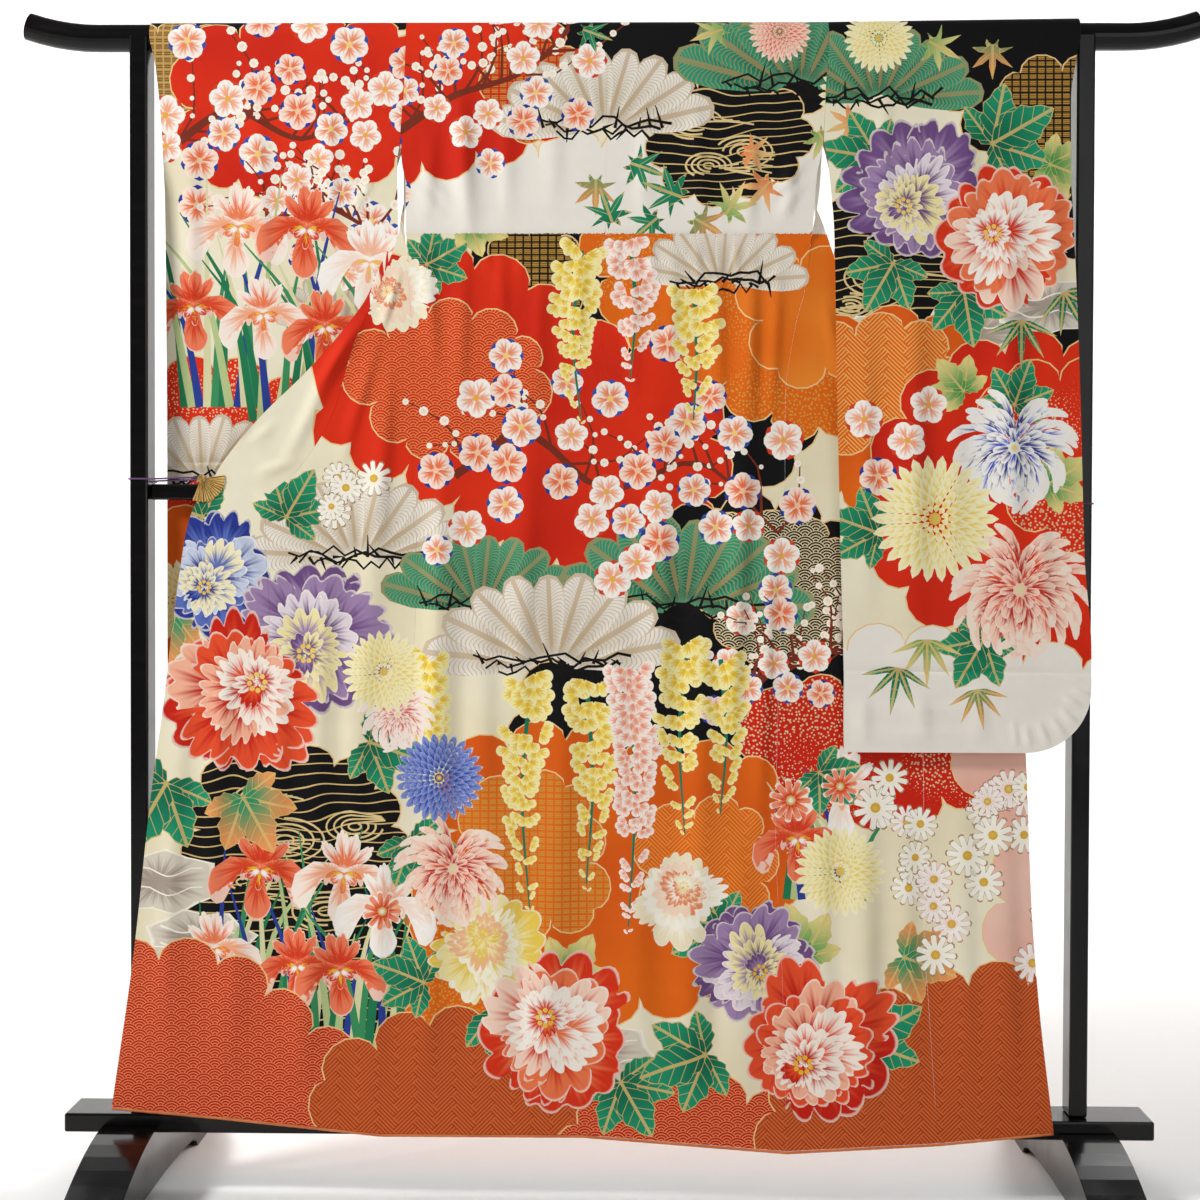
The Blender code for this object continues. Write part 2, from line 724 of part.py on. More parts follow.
def build_okumi():
    """The two okumi, the long narrow overlap pieces from the collar's point to the hem."""
    rows = [(r.outer, r.okumi) for r in lower_rows(LEFT_LOWER[1:])]
    left = sheet_grid(Edge(LEFT_OUTER), Edge(LEFT_FRONT_EDGE), rows, even(4), BODY_FOLDS + DOOR_FOLDS)
    wall("left_okumi", left, (PRINTED_SILK, 0.55))
    rows = [(r.okumi, r.outer) for r in lower_rows(RIGHT_LOWER[1:])]
    right = sheet_grid(Edge(RIGHT_FRONT_EDGE), Edge(RIGHT_OUTER), rows, even(4), BODY_FOLDS)
    wall("right_okumi", right, (PRINTED_SILK, 0.55))
    return left, right


def build_sleeves():
    """The two long sleeves, each a near and a far layer, sewn together at the foot and below the cuff opening.
    The inner edge is sewn along the body's side as far as the opening, and is free below it."""
    rows = spread([(d, d) for d in SLEEVE_ROWS])
    across = sleeve_across(False)
    outer = Edge(LEFT_SLEEVE_NEAR_OUTER)
    inner = JoinedEdge(Edge(LEFT_SIDE), Edge(LEFT_SLEEVE_NEAR_FREE), SEWN_TO)
    wall("left_sleeve_back", sheet_grid(outer, inner, rows, across, (), "left"), (PRINTED_SILK, 0.55))
    outer = JoinedEdge(Edge(LEFT_SLEEVE_FAR_OUTER), outer, CUFF_OPENS_TO - 0.001, LAYER_SPACING)
    inner = JoinedEdge(Edge(LEFT_FRONT_FAR_SIDE), Edge(LEFT_SLEEVE_FAR_FREE), SEWN_TO)
    wall("left_sleeve_front", sheet_grid(outer, inner, rows, across, (), "left"), (PRINTED_SILK, 0.55))
    across = sleeve_across(True)
    outer = Edge(RIGHT_SLEEVE_NEAR_OUTER)
    inner = JoinedEdge(Edge(RIGHT_SIDE), Edge(RIGHT_SLEEVE_NEAR_FREE), SEWN_TO)
    wall("right_sleeve_back", sheet_grid(inner, outer, rows, across, SLEEVE_FOLDS, "right"), (PRINTED_SILK, 0.55))
    outer = JoinedEdge(Edge(RIGHT_SLEEVE_FAR_OUTER), outer, CUFF_OPENS_TO - 0.001, LAYER_SPACING)
    inner = JoinedEdge(Edge(RIGHT_FRONT_FAR_SIDE), Edge(RIGHT_SLEEVE_FAR_FREE), SEWN_TO)
    wall("right_sleeve_front", sheet_grid(inner, outer, rows, across, (), "right"), (PRINTED_SILK, 0.55))


def collar_row(sewn, free, places, ease=0.0):
    """One row of collar points, from (x, down, y) beside the cloth that it is sewn to, to its free edge."""
    length = math.dist(sewn, free)
    return [place(*[a + (b - a) * max(s, ease / length) for a, b in zip(sewn, free)]) for s in places]


def collar_front_rows(edge, free, places, gap):
    """The collar's rows down one front, from the rail to the side opening."""
    rows = []
    for row in FRONT_UPPER:
        x, y = edge.at(row.edge)
        free_x, free_y = free.at(row.collar)
        rows.append(collar_row((x + gap, row.edge, y), (free_x, row.collar, free_y), places, row.ease))
    return rows


def collar_turn_rows(edge, free, places, gap):
    """The collar's rows where it comes up over the rail beside the neck's corner."""
    rows = []
    free_x, free_y = free.at(0.0)
    for k in range(WRAP_STEPS - 1, -1, -1):
        part = 1 - k / WRAP_STEPS
        down = max(QUARTER * k / WRAP_STEPS, SEAM / 2)
        x, y = edge.at(down)
        free_down = free.downs[0] + (NECK_DROP - free.downs[0]) * part
        end = (free_x * (1 - 0.15 * part), free_down, free_y + (WRAP - free_y) * part)
        rows.append(collar_row((x + gap, down, WRAP), end, places))
    return rows


def build_collar():
    """The collar behind the neck and down both fronts to the side openings, and its two ends, turned in behind
    the okumi and held by the clips."""
    places = [QUARTER / NECK_DROP * k / WRAP_STEPS for k in range(WRAP_STEPS + 1)] + [1.0]
    left = (Edge(LEFT_FRONT_EDGE), Edge(COLLAR_LEFT_FREE), places, SEAM / 2)
    right = (Edge(RIGHT_FRONT_EDGE), Edge(COLLAR_RIGHT_FREE), places, -SEAM / 2)
    rows = collar_front_rows(*left)[::-1] + collar_turn_rows(*left)
    rows += [collar_row((x, SEAM / 2, WRAP), (x * 0.55, NECK_DROP, WRAP), places) for x in COLLAR_NECK_X]
    rows += collar_turn_rows(*right)[::-1] + collar_front_rows(*right)
    wall("collar", rows, (PALE_SILK, 0.55))
    build_collar_end("left", Edge(LEFT_OUTER), 1)
    build_collar_end("right", Edge(RIGHT_OUTER), -1)


def build_collar_end(side, edge, sign):
    """One end of the collar, turned in behind the slanted edge of the okumi."""
    grid = []
    last = len(COLLAR_END_DOWN) - 1
    for k, (down, width) in enumerate(zip(COLLAR_END_DOWN, COLLAR_END_WIDTH)):
        x, y = edge.at(down)
        above = COLLAR_END_DOWN[max(k - 1, 0)]
        below = COLLAR_END_DOWN[min(k + 1, last)]
        slant = math.atan2(abs(edge.at(below)[0] - edge.at(above)[0]), below - above)
        line = []
        for s in even(3):
            reach = 0.001 + width * s
            across = x + sign * reach * math.cos(slant)
            line.append(place(across, down + reach * math.sin(slant), y + COLLAR_END_BEHIND + 0.0012 * s))
        grid.append(line if sign > 0 else line[::-1])
    wall(f"{side}_collar_end", grid, (PALE_SILK, 0.55))


def build_hem_roll(pieces):
    """The thin padded roll of lining that shows below the hem, from one okumi to the other."""
    path = []
    for grid in pieces:
        line = sorted(grid[-1], key=lambda p: p.x)
        path += [p - Vector((0.0, 0.0, HEM_ROLL_RADIUS + SEAM + 0.0002)) for p in line]
    kept = [path[0]]
    for p in path[1:]:
        if p.x - kept[-1].x > 0.006:
            kept.append(p)
    tube("hem_roll", kept, HEM_ROLL_RADIUS, 6, (HEM_ORANGE, 0.6))


def add_box(name, low, high, finish, rounding=EDGE_ROUND):
    """A bar with rounded edges between two corners."""
    mesh = bpy.data.meshes.new(name)
    bm = bmesh.new()
    bmesh.ops.create_cube(bm, size=1.0)
    size = [b - a for a, b in zip(low, high)]
    middle = [(a + b) / 2 for a, b in zip(low, high)]
    bmesh.ops.scale(bm, vec=size, verts=bm.verts)
    bmesh.ops.translate(bm, vec=middle, verts=bm.verts)
    bmesh.ops.bevel(bm, geom=bm.edges[:], offset=rounding, segments=2, profile=0.5, affect="EDGES")
    bm.to_mesh(mesh)
    bm.free()
    made = bpy.data.objects.new(name, mesh)
    made.data.materials.append(material(name, *finish))
    bpy.context.scene.collection.objects.link(made)
    return made


def cut(target, cutter):
    """Cuts one object out of another and keeps the cutter as a hidden guide."""
    cutter.hide_render = True
    cutter.display_type = "WIRE"
    change = target.modifiers.new("cut", "BOOLEAN")
    change.operation = "DIFFERENCE"
    change.solver = "EXACT"
    change.object = cutter


def extruded(name, outline, low, high, finish):
    """A solid of an outline in Y and Z, drawn out along X."""
    count = len(outline)
    points = [Vector((x, y, z)) for x in (low, high) for y, z in outline]
    faces = [tuple(range(count)), tuple(range(2 * count - 1, count - 1, -1))]
    for k in range(count):
        m = (k + 1) % count
        faces.append((k, k + count, m + count, m))
    return add_mesh(name, points, faces, finish)


def build_stand():
    """The lacquered stand: two arched feet, a plank across them, two posts, a middle rail and the long top rail."""
    finish = (BLACK_LACQUER, 0.12)
    reach = RAIL_HALF_SPAN - RAIL_BEND_START
    path = []
    for k in range(5, 0, -1):
        part = k / 5
        path.append(Vector((-RAIL_BEND_START - reach * part, 0.0, RAIL_AXIS + RAIL_END_LIFT * part * part)))
    path += [Vector((x, 0.0, RAIL_AXIS)) for x in (-RAIL_BEND_START, 0.0, RAIL_BEND_START)]
    path += [Vector((-p.x, p.y, p.z)) for p in reversed(path[:5])]
    tube("top_rail", path, RAIL_RADIUS, 24, finish)

    plank_top = PLANK_BOTTOM + PLANK_THICKNESS
    half = PLANK_DEPTH / 2
    low = (-PLANK_HALF_LENGTH, -half, PLANK_BOTTOM)
    add_box("base_plank", low, (PLANK_HALF_LENGTH, half, plank_top), finish)
    for side, sign in (("left", -1), ("right", 1)):
        inner = sign * POST_X - POST_WIDTH / 2
        low = (inner, -POST_DEPTH / 2, plank_top + FIT)
        post = add_box(f"{side}_post", low, (inner + POST_WIDTH, POST_DEPTH / 2, RAIL_AXIS), finish)
        ends = [Vector((sign * POST_X + dx, 0.0, RAIL_AXIS)) for dx in (-0.03, 0.03)]
        cutter = tube(f"{side}_post_saddle", ends, RAIL_RADIUS + FIT, 24, finish)
        cut(post, cutter)
        build_foot(side, sign * FOOT_X, finish)
    reach = POST_X - POST_WIDTH / 2 - FIT
    half_height = MID_RAIL_HEIGHT / 2
    half_depth = MID_RAIL_DEPTH / 2
    low = (-reach, -half_depth, MID_RAIL_Z - half_height)
    add_box("middle_rail", low, (reach, half_depth, MID_RAIL_Z + half_height), finish)


def build_foot(side, x, finish):
    """One arched foot, housed for the plank, with a pad at each end and a small step where the arch begins."""
    housing = PLANK_DEPTH / 2 + FIT
    half = [
        (0.0, PLANK_BOTTOM - FIT),
        (housing, PLANK_BOTTOM - FIT),
        (housing, FOOT_CREST - 0.001),
        (housing + 0.004, FOOT_CREST),
    ]
    for k in range(1, 9):
        part = k / 8
        y = housing + 0.004 + (FOOT_HALF_LENGTH - 0.006 - housing - 0.004) * part
        half.append((y, FOOT_CREST - 0.075 * part**1.7))
    half += [
        (FOOT_HALF_LENGTH, 0.020),
        (FOOT_HALF_LENGTH, 0.003),
        (FOOT_HALF_LENGTH - 0.003, 0.0),
        (0.205, 0.0),
        (0.199, 0.004),
        (0.194, 0.011),
        (0.184, 0.013),
        (0.176, 0.018),
        (0.120, 0.0225),
        (0.0, 0.0250),
    ]
    outline = half + [(-y, z) for y, z in reversed(half[1:-1])]
    extruded(f"{side}_foot", outline, x - FOOT_WIDTH / 2, x + FOOT_WIDTH / 2, finish)


def fan_outline(radius, first, last, ribs, notch):
    """The outline of an open fan from its hub: each rib's end stands a little past the pleat between ribs."""
    outline = [Vector((0.0, 0.0))]
    for k in range(2 * ribs + 1):
        turn = math.radians(first + (last - first) * k / (2 * ribs))
        r = radius - (notch if k % 2 else 0.0)
        outline.append(Vector((r * math.cos(turn), r * math.sin(turn))))
    return outline


def plate(name, outline, x, z, near, far, mirrored, finish):
    """A flat plate of an outline about (x, z), between two depths."""
    sign = -1 if mirrored else 1
    count = len(outline)
    points = [Vector((x + sign * p.x, y, z + p.y)) for y in (near, far) for p in outline]
    faces = [tuple(range(count)), tuple(range(2 * count - 1, count - 1, -1))]
    for k in range(count):
        m = (k + 1) % count
        faces.append((k, k + count, m + count, m))
    return add_mesh(name, points, faces, finish)


def join_solid(target, other):
    """Joins another solid to the target and removes the other."""
    change = target.modifiers.new("join", "BOOLEAN")
    change.operation = "UNION"
    change.solver = "EXACT"
    change.object = other
    other.hide_render = True
    other.display_type = "WIRE"


def build_clip(side, x, z, cloth_y, mirrored):
    """A folding-fan clip: a ribbed front plate and a plain back plate on one hub, with the cloth's corner between."""
    finish = (OLD_BRASS, 0.35, 1.0)
    near = cloth_y - CLOTH / 2 - SEAM
    back = cloth_y + COLLAR_END_BEHIND + 0.0012 + CLOTH / 2 + SEAM
    front_outline = fan_outline(FAN_RADIUS, -112, 8, FAN_RIBS, 0.0018)
    back_outline = fan_outline(FAN_RADIUS * 0.8, -100, -4, 4, 0.0)
    clip = plate(f"{side}_clip", front_outline, x, z, near - FAN_PLATE, near, mirrored, finish)
    rear = plate(f"{side}_clip_back_plate", back_outline, x, z, back, back + FAN_PLATE, mirrored, finish)
    ends = [Vector((x, near - FAN_PLATE - 0.0012, z)), Vector((x, back + FAN_PLATE + 0.0004, z))]
    hub = tube(f"{side}_clip_hub", ends, HUB_RADIUS, 12, finish)
    join_solid(clip, hub)
    join_solid(clip, rear)
    sign = -1 if mirrored else 1
    for k in range(FAN_RIBS + 1):
        turn = math.radians(-112 + 120 * k / FAN_RIBS)
        middle = Vector((x + sign * math.cos(turn) * 0.0205, near - FAN_PLATE - 0.0002, z + math.sin(turn) * 0.0205))
        rib = bpy.data.meshes.new(f"{side}_clip_rib")
        bm = bmesh.new()
        bmesh.ops.create_cube(bm, size=1.0)
        bmesh.ops.scale(bm, vec=(0.024, 0.0012, 0.0009), verts=bm.verts)
        bm.transform(Matrix.Translation(middle) @ Matrix.Rotation(-sign * turn, 4, "Y"))
        bm.to_mesh(rib)
        bm.free()
        bar = bpy.data.objects.new(f"{side}_clip_rib_{k}", rib)
        bpy.context.scene.collection.objects.link(bar)
        join_solid(clip, bar)
    return near, back


def build_cord(side, sign, hub_x, hub_z, hub_y, loop_z):
    """A violet cord from the clip's hub round the post and back to the hub, drawn tight."""
    around_x = POST_WIDTH / 2 + CORD_RADIUS + FIT
    around_y = POST_DEPTH / 2 + CORD_RADIUS + FIT
    inner = sign * (POST_X - around_x)
    outer = sign * (POST_X + around_x)
    away = HUB_RADIUS + CORD_RADIUS + FIT
    high = loop_z + CORD_LOOP_GAP
    low = loop_z - CORD_LOOP_GAP
    corner = 0.003
    route = [
        (hub_x + sign * away, hub_y, hub_z + CORD_LOOP_GAP),
        (hub_x + sign * (away + 0.012), hub_y - 0.0005, hub_z + CORD_LOOP_GAP),
        (inner - sign * 0.004, -around_y + 0.0006, high),
        (inner + sign * corner, -around_y, high),
        (sign * POST_X, -around_y, high),
        (outer - sign * corner, -around_y, high),
        (outer, -around_y + corner, high),
        (outer, 0.0, loop_z + CORD_LOOP_GAP * 0.5),
        (outer, around_y - corner, loop_z),
        (outer - sign * corner, around_y, loop_z),
        (sign * POST_X, around_y, loop_z - CORD_LOOP_GAP * 0.5),
        (inner + sign * corner, around_y, low),
        (inner, around_y - corner, low),
        (inner, 0.0, low),
        (inner, -around_y + corner + 0.004, low),
        (inner - sign * 0.006, -around_y + 0.0050, low),
        (hub_x + sign * (away + 0.012), hub_y + 0.0005, hub_z - CORD_LOOP_GAP),
        (hub_x + sign * away, hub_y, hub_z - CORD_LOOP_GAP),
    ]
    curve = bpy.data.curves.new(f"{side}_cord", "CURVE")
    curve.dimensions = "3D"
    curve.bevel_depth = CORD_RADIUS
    curve.bevel_resolution = 2
    curve.use_fill_caps = True
    spline = curve.splines.new("POLY")
    spline.points.add(len(route) - 1)
    for point, found in zip(spline.points, route):
        point.co = (*found, 1.0)
    made = bpy.data.objects.new(f"{side}_cord", curve)
    made.data.materials.append(material(f"{side}_cord", VIOLET_CORD, 0.7))
    bpy.context.scene.collection.objects.link(made)


def main():
    """Builds the stand, the kimono on it, and the clips that hold its fronts out."""
    for found in list(bpy.context.scene.objects):
        bpy.data.objects.remove(found)
    build_stand()
    left_back, right_back = build_backs()
    left_front, right_front = build_fronts()
    left_okumi, right_okumi = build_okumi()
    build_sleeves()
    build_collar()
    build_hem_roll([left_okumi, left_front, left_back, right_back, right_front, right_okumi])
    build_clip("left", -0.5810, 1.0290, -0.0270, False)
    build_clip("right", 0.5660, 1.0290, -0.0180, True)
    build_cord("left", -1, -0.5810, 1.0290, -0.0245, 1.0272)
    build_cord("right", 1, 0.5660, 1.0290, -0.0155, 0.9955)


main()
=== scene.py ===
"""Furisode kimono on its lacquered stand: the looks.

Lengths are in metres. The plan of the print is laid out as the viewer sees the hung kimono from behind:
across from the middle of the stand, and down from the shoulder line. The plan's own tables are in
centimetres. Each silk piece is a thin shell on its solid's form, cut along the outlines of the shapes dyed
on it.
"""

from __future__ import annotations

import logging
import math
from dataclasses import dataclass, field
from enum import Enum
from typing import Any, NamedTuple, Sequence

import bpy
import numpy as np
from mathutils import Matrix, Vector
from mathutils.geometry import delaunay_2d_cdt

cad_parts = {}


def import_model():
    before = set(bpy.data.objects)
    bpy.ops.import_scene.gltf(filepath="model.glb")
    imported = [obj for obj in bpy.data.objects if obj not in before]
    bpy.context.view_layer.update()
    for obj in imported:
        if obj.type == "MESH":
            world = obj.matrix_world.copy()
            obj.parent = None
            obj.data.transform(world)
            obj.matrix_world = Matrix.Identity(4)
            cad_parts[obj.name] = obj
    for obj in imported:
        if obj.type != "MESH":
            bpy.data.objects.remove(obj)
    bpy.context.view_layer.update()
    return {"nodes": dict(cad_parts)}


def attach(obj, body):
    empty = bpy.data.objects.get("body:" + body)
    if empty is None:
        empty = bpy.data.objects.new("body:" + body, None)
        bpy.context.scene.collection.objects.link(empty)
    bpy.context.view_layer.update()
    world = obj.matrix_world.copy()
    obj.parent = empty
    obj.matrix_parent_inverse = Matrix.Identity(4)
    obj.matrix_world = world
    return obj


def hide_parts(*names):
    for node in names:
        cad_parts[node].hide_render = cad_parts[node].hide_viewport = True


LOG = logging.getLogger("furisode")

RAIL_TOP = 1.681
RAIL_RADIUS = 0.0195
RAIL_AXIS = RAIL_TOP - RAIL_RADIUS
# The solids' wall, and the gap at every seam
CLOTH = 0.0012
SEAM = 0.0003
# From the rail's axis to the middle of the cloth that lies round it, and a quarter of its way round
WRAP = RAIL_RADIUS / math.cos(math.pi / 16) + SEAM + CLOTH / 2
QUARTER = WRAP * math.pi / 2
# The drawn cloth's thickness
SHELL = 0.0009
# A place down that is below all the cloth
BELOW_ALL = 9.0
# The lining's side lies this far across from the printed one, so that no light comes through a seam
SEAM_SLANT = SEAM


class Station(NamedTuple):
    """One place on an edge: how far down the cloth, and where that is across and in depth."""

    down: float
    x: float
    y: float


class Fold(NamedTuple):
    """A soft fold that runs down the cloth and stands height proud of it, towards the viewer."""

    x_top: float
    x_foot: float
    top: float
    foot: float
    half_width: float
    height: float


class LowerRow(NamedTuple):
    """How far down one crosswise row lies at each seam, from the side opening to the hem."""

    centre: float
    side: float
    okumi: float
    outer: float


class UpperRow(NamedTuple):
    """How far down one crosswise row of a front lies at its side, its edge and the collar's free edge."""

    side: float
    edge: float
    collar: float


def stations(*rows: tuple[float, float, float]) -> tuple[Station, ...]:
    """Stations from rows of plain numbers."""
    return tuple(Station(*row) for row in rows)


CENTRE_SEAM = stations(
    (0.0, -0.0040, -WRAP), (QUARTER, -0.0040, -WRAP), (0.113, -0.0048, -0.0217), (0.300, -0.0060, -0.0246),
    (0.3145, -0.0062, -0.0248), (0.3165, -0.0063, -0.0228), (0.620, -0.0150, -0.0250),
    (0.920, -0.0220, -0.0290), (1.200, -0.0270, -0.0370), (1.450, -0.0310, -0.0465),
    (1.595, -0.0340, -0.0515),
)
LEFT_SIDE = stations(
    (0.0, -0.2910, -WRAP), (QUARTER, -0.2910, -WRAP), (0.113, -0.2940, -0.0215), (0.183, -0.2985, -0.0217),
    (0.220, -0.2955, -0.0222), (0.242, -0.2910, -0.0228), (0.273, -0.2905, -0.0235),
    (0.3145, -0.2900, -0.0245), (0.3165, -0.2898, -0.0226), (0.331, -0.2897, -0.0225),
    (0.411, -0.2840, -0.0228), (0.483, -0.2810, -0.0235), (0.573, -0.2810, -0.0245),
    (0.653, -0.2800, -0.0252), (0.713, -0.2770, -0.0258), (0.780, -0.2730, -0.0265),
    (0.908, -0.2770, -0.0290), (1.093, -0.2910, -0.0335), (1.263, -0.3100, -0.0400),
    (1.433, -0.3210, -0.0465), (1.596, -0.3210, -0.0515),
)
RIGHT_SIDE = stations(
    (0.0, 0.3096, -WRAP), (QUARTER, 0.3096, -WRAP), (0.113, 0.3054, -0.0215), (0.183, 0.3027, -0.0217),
    (0.213, 0.2976, -0.0222), (0.230, 0.2938, -0.0228), (0.263, 0.2907, -0.0235), (0.3145, 0.2870, -0.0243),
    (0.3165, 0.2862, -0.0226), (0.323, 0.2853, -0.0225), (0.354, 0.2826, -0.0226), (0.392, 0.2776, -0.0228),
    (0.453, 0.2627, -0.0233), (0.553, 0.2500, -0.0243), (0.695, 0.2500, -0.0257), (0.979, 0.2414, -0.0305),
    (1.163, 0.2386, -0.0360), (1.376, 0.2485, -0.0445), (1.616, 0.2556, -0.0515),
)
LEFT_FRONT_FAR_SIDE = stations(
    (0.0, -0.2910, WRAP), (QUARTER, -0.2910, WRAP), (0.113, -0.2940, 0.0216), (0.183, -0.2985, 0.0210),
    (0.248, -0.2975, 0.0120), (0.298, -0.2955, 0.0000), (0.331, -0.2907, -0.0210), (0.358, -0.2887, -0.0222),
)
RIGHT_FRONT_FAR_SIDE = stations(
    (0.0, 0.3096, WRAP), (QUARTER, 0.3096, WRAP), (0.113, 0.3054, 0.0120), (0.183, 0.3027, -0.0010),
    (0.248, 0.2985, -0.0120), (0.290, 0.2925, -0.0160), (0.323, 0.2853, -0.0212), (0.350, 0.2829, -0.0222),
)
LEFT_FRONT_EDGE = stations(
    (0.0, -0.0950, WRAP), (QUARTER, -0.0970, WRAP), (0.108, -0.1400, 0.0270), (0.178, -0.2050, 0.0320),
    (0.238, -0.2680, 0.0310), (0.269, -0.2985, 0.0120), (0.305, -0.3000, -0.0170), (0.357, -0.3153, -0.0215),
    (0.413, -0.3380, -0.0228), (0.479, -0.3664, -0.0240), (0.574, -0.3948, -0.0255),
    (0.651, -0.4430, -0.0263), (0.697, -0.4885, -0.0268), (0.748, -0.4900, -0.0272),
    (0.863, -0.4840, -0.0285), (1.053, -0.5000, -0.0335), (1.233, -0.5210, -0.0395),
    (1.403, -0.5325, -0.0455), (1.574, -0.5467, -0.0505),
)
RIGHT_FRONT_EDGE = stations(
    (0.0, 0.0870, WRAP), (QUARTER, 0.0890, WRAP), (0.108, 0.1350, 0.0270), (0.178, 0.2050, 0.0300),
    (0.238, 0.2680, 0.0240), (0.269, 0.2920, 0.0060), (0.297, 0.3020, -0.0120), (0.345, 0.3180, -0.0185),
    (0.413, 0.3400, -0.0195), (0.479, 0.3650, -0.0198), (0.574, 0.3920, -0.0195), (0.651, 0.4250, -0.0188),
    (0.697, 0.4460, -0.0185), (0.748, 0.4460, -0.0186), (0.863, 0.4430, -0.0200), (1.120, 0.4487, -0.0310),
    (1.305, 0.4487, -0.0410), (1.405, 0.4550, -0.0455), (1.603, 0.4690, -0.0510),
)
LEFT_OUTER = stations(
    (0.340, -0.3167, -0.0205), (0.375, -0.3337, -0.0210), (0.401, -0.3436, -0.0215),
    (0.445, -0.3735, -0.0225), (0.510, -0.4300, -0.0245), (0.582, -0.5027, -0.0262),
    (0.646, -0.5540, -0.0270), (0.683, -0.5750, -0.0270), (0.703, -0.5915, -0.0270),
    (0.739, -0.6035, -0.0270), (0.771, -0.6090, -0.0272), (0.865, -0.6220, -0.0285),
    (0.979, -0.6347, -0.0310), (1.120, -0.6530, -0.0360), (1.333, -0.6745, -0.0440),
    (1.561, -0.7057, -0.0500),
)
RIGHT_OUTER = stations(
    (0.330, 0.3200, -0.0180), (0.401, 0.3500, -0.0182), (0.445, 0.3800, -0.0182), (0.510, 0.4300, -0.0180),
    (0.582, 0.4870, -0.0180), (0.646, 0.5300, -0.0180), (0.683, 0.5480, -0.0180), (0.703, 0.5560, -0.0180),
    (0.771, 0.5660, -0.0185), (0.865, 0.5750, -0.0200), (0.979, 0.5880, -0.0240), (1.057, 0.5936, -0.0280),
    (1.263, 0.6007, -0.0390), (1.403, 0.6106, -0.0455), (1.586, 0.6320, -0.0505),
)
LEFT_LOWER = tuple(
    LowerRow(*row)
    for row in (
        (0.331, 0.331, 0.305, 0.330), (0.358, 0.358, 0.357, 0.340), (0.411, 0.411, 0.413, 0.401),
        (0.483, 0.483, 0.479, 0.445), (0.573, 0.573, 0.574, 0.510), (0.653, 0.653, 0.651, 0.582),
        (0.713, 0.713, 0.697, 0.646), (0.780, 0.780, 0.748, 0.703), (0.908, 0.908, 0.863, 0.813),
        (1.093, 1.093, 1.053, 1.033), (1.263, 1.263, 1.233, 1.213), (1.433, 1.433, 1.403, 1.393),
        (1.595, 1.596, 1.574, 1.561),
    )
)
RIGHT_LOWER = tuple(
    LowerRow(*row)
    for row in (
        (0.323, 0.323, 0.297, 0.320), (0.350, 0.350, 0.345, 0.330), (0.411, 0.411, 0.413, 0.401),
        (0.483, 0.483, 0.479, 0.445), (0.573, 0.573, 0.574, 0.510), (0.653, 0.653, 0.651, 0.582),
        (0.713, 0.713, 0.697, 0.646), (0.780, 0.780, 0.748, 0.703), (0.908, 0.908, 0.863, 0.813),
        (1.093, 1.093, 1.073, 1.033), (1.263, 1.263, 1.243, 1.213), (1.433, 1.433, 1.413, 1.393),
        (1.595, 1.616, 1.603, 1.586),
    )
)
FRONT_UPPER = tuple(
    UpperRow(*row)
    for row in (
        (QUARTER, QUARTER, 0.068), (0.072, 0.070, 0.100), (0.113, 0.108, 0.141), (0.148, 0.143, 0.180),
        (0.183, 0.178, 0.217), (0.216, 0.208, 0.243), (0.248, 0.238, 0.268), (0.292, 0.269, 0.2885),
    )
)
LEFT_SLEEVE_NEAR_OUTER = stations(
    (0.0, -0.6575, -WRAP), (QUARTER, -0.6575, -WRAP), (0.070, -0.6500, -0.0185), (0.183, -0.6420, -0.0090),
    (0.270, -0.6415, 0.0050), (0.420, -0.6415, 0.0115), (0.620, -0.6410, 0.0145), (1.050, -0.6410, 0.0145),
)
LEFT_SLEEVE_NEAR_FREE = stations(
    (0.183, -0.2985, -0.0217), (0.220, -0.3035, -0.0190), (0.263, -0.3035, -0.0140),
    (0.313, -0.3035, -0.0080), (0.413, -0.3050, 0.0020), (0.600, -0.3060, 0.0115), (0.720, -0.3060, 0.0130),
    (1.050, -0.3060, 0.0145),
)
LEFT_SLEEVE_FAR_OUTER = stations(
    (0.0, -0.6575, WRAP), (QUARTER, -0.6575, WRAP), (0.070, -0.6500, 0.0205), (0.183, -0.6420, 0.0140),
    (0.270, -0.6415, 0.0065),
)
LEFT_SLEEVE_FAR_FREE = stations(
    (0.183, -0.2985, 0.0210), (0.220, -0.3100, 0.0215), (0.300, -0.3200, 0.0225), (0.600, -0.3200, 0.0235),
    (0.980, -0.3180, 0.0235), (1.030, -0.3120, 0.0200), (1.050, -0.3060, 0.0160),
)
RIGHT_SLEEVE_NEAR_OUTER = stations(
    (0.0, 0.6640, -0.0250), (QUARTER, 0.6640, -0.0250), (0.070, 0.6575, -0.0260), (0.127, 0.6500, -0.0275),
    (0.240, 0.6500, -0.0320), (0.270, 0.6515, -0.0345), (0.413, 0.6590, -0.0365), (0.553, 0.6646, -0.0380),
    (0.780, 0.6717, -0.0410), (0.908, 0.6816, -0.0430), (1.050, 0.6816, -0.0450),
)
RIGHT_SLEEVE_NEAR_FREE = stations(
    (0.183, 0.3027, -0.0217), (0.208, 0.3076, -0.0245), (0.254, 0.3123, -0.0295), (0.313, 0.3166, -0.0360),
    (0.510, 0.3210, -0.0390), (0.750, 0.3270, -0.0425), (1.000, 0.3337, -0.0460), (1.050, 0.3340, -0.0450),
)
RIGHT_SLEEVE_FAR_OUTER = stations(
    (0.0, 0.6550, WRAP), (QUARTER, 0.6550, WRAP), (0.070, 0.6525, 0.0130), (0.127, 0.6500, 0.0000),
    (0.240, 0.6500, -0.0280), (0.270, 0.6515, -0.0330),
)
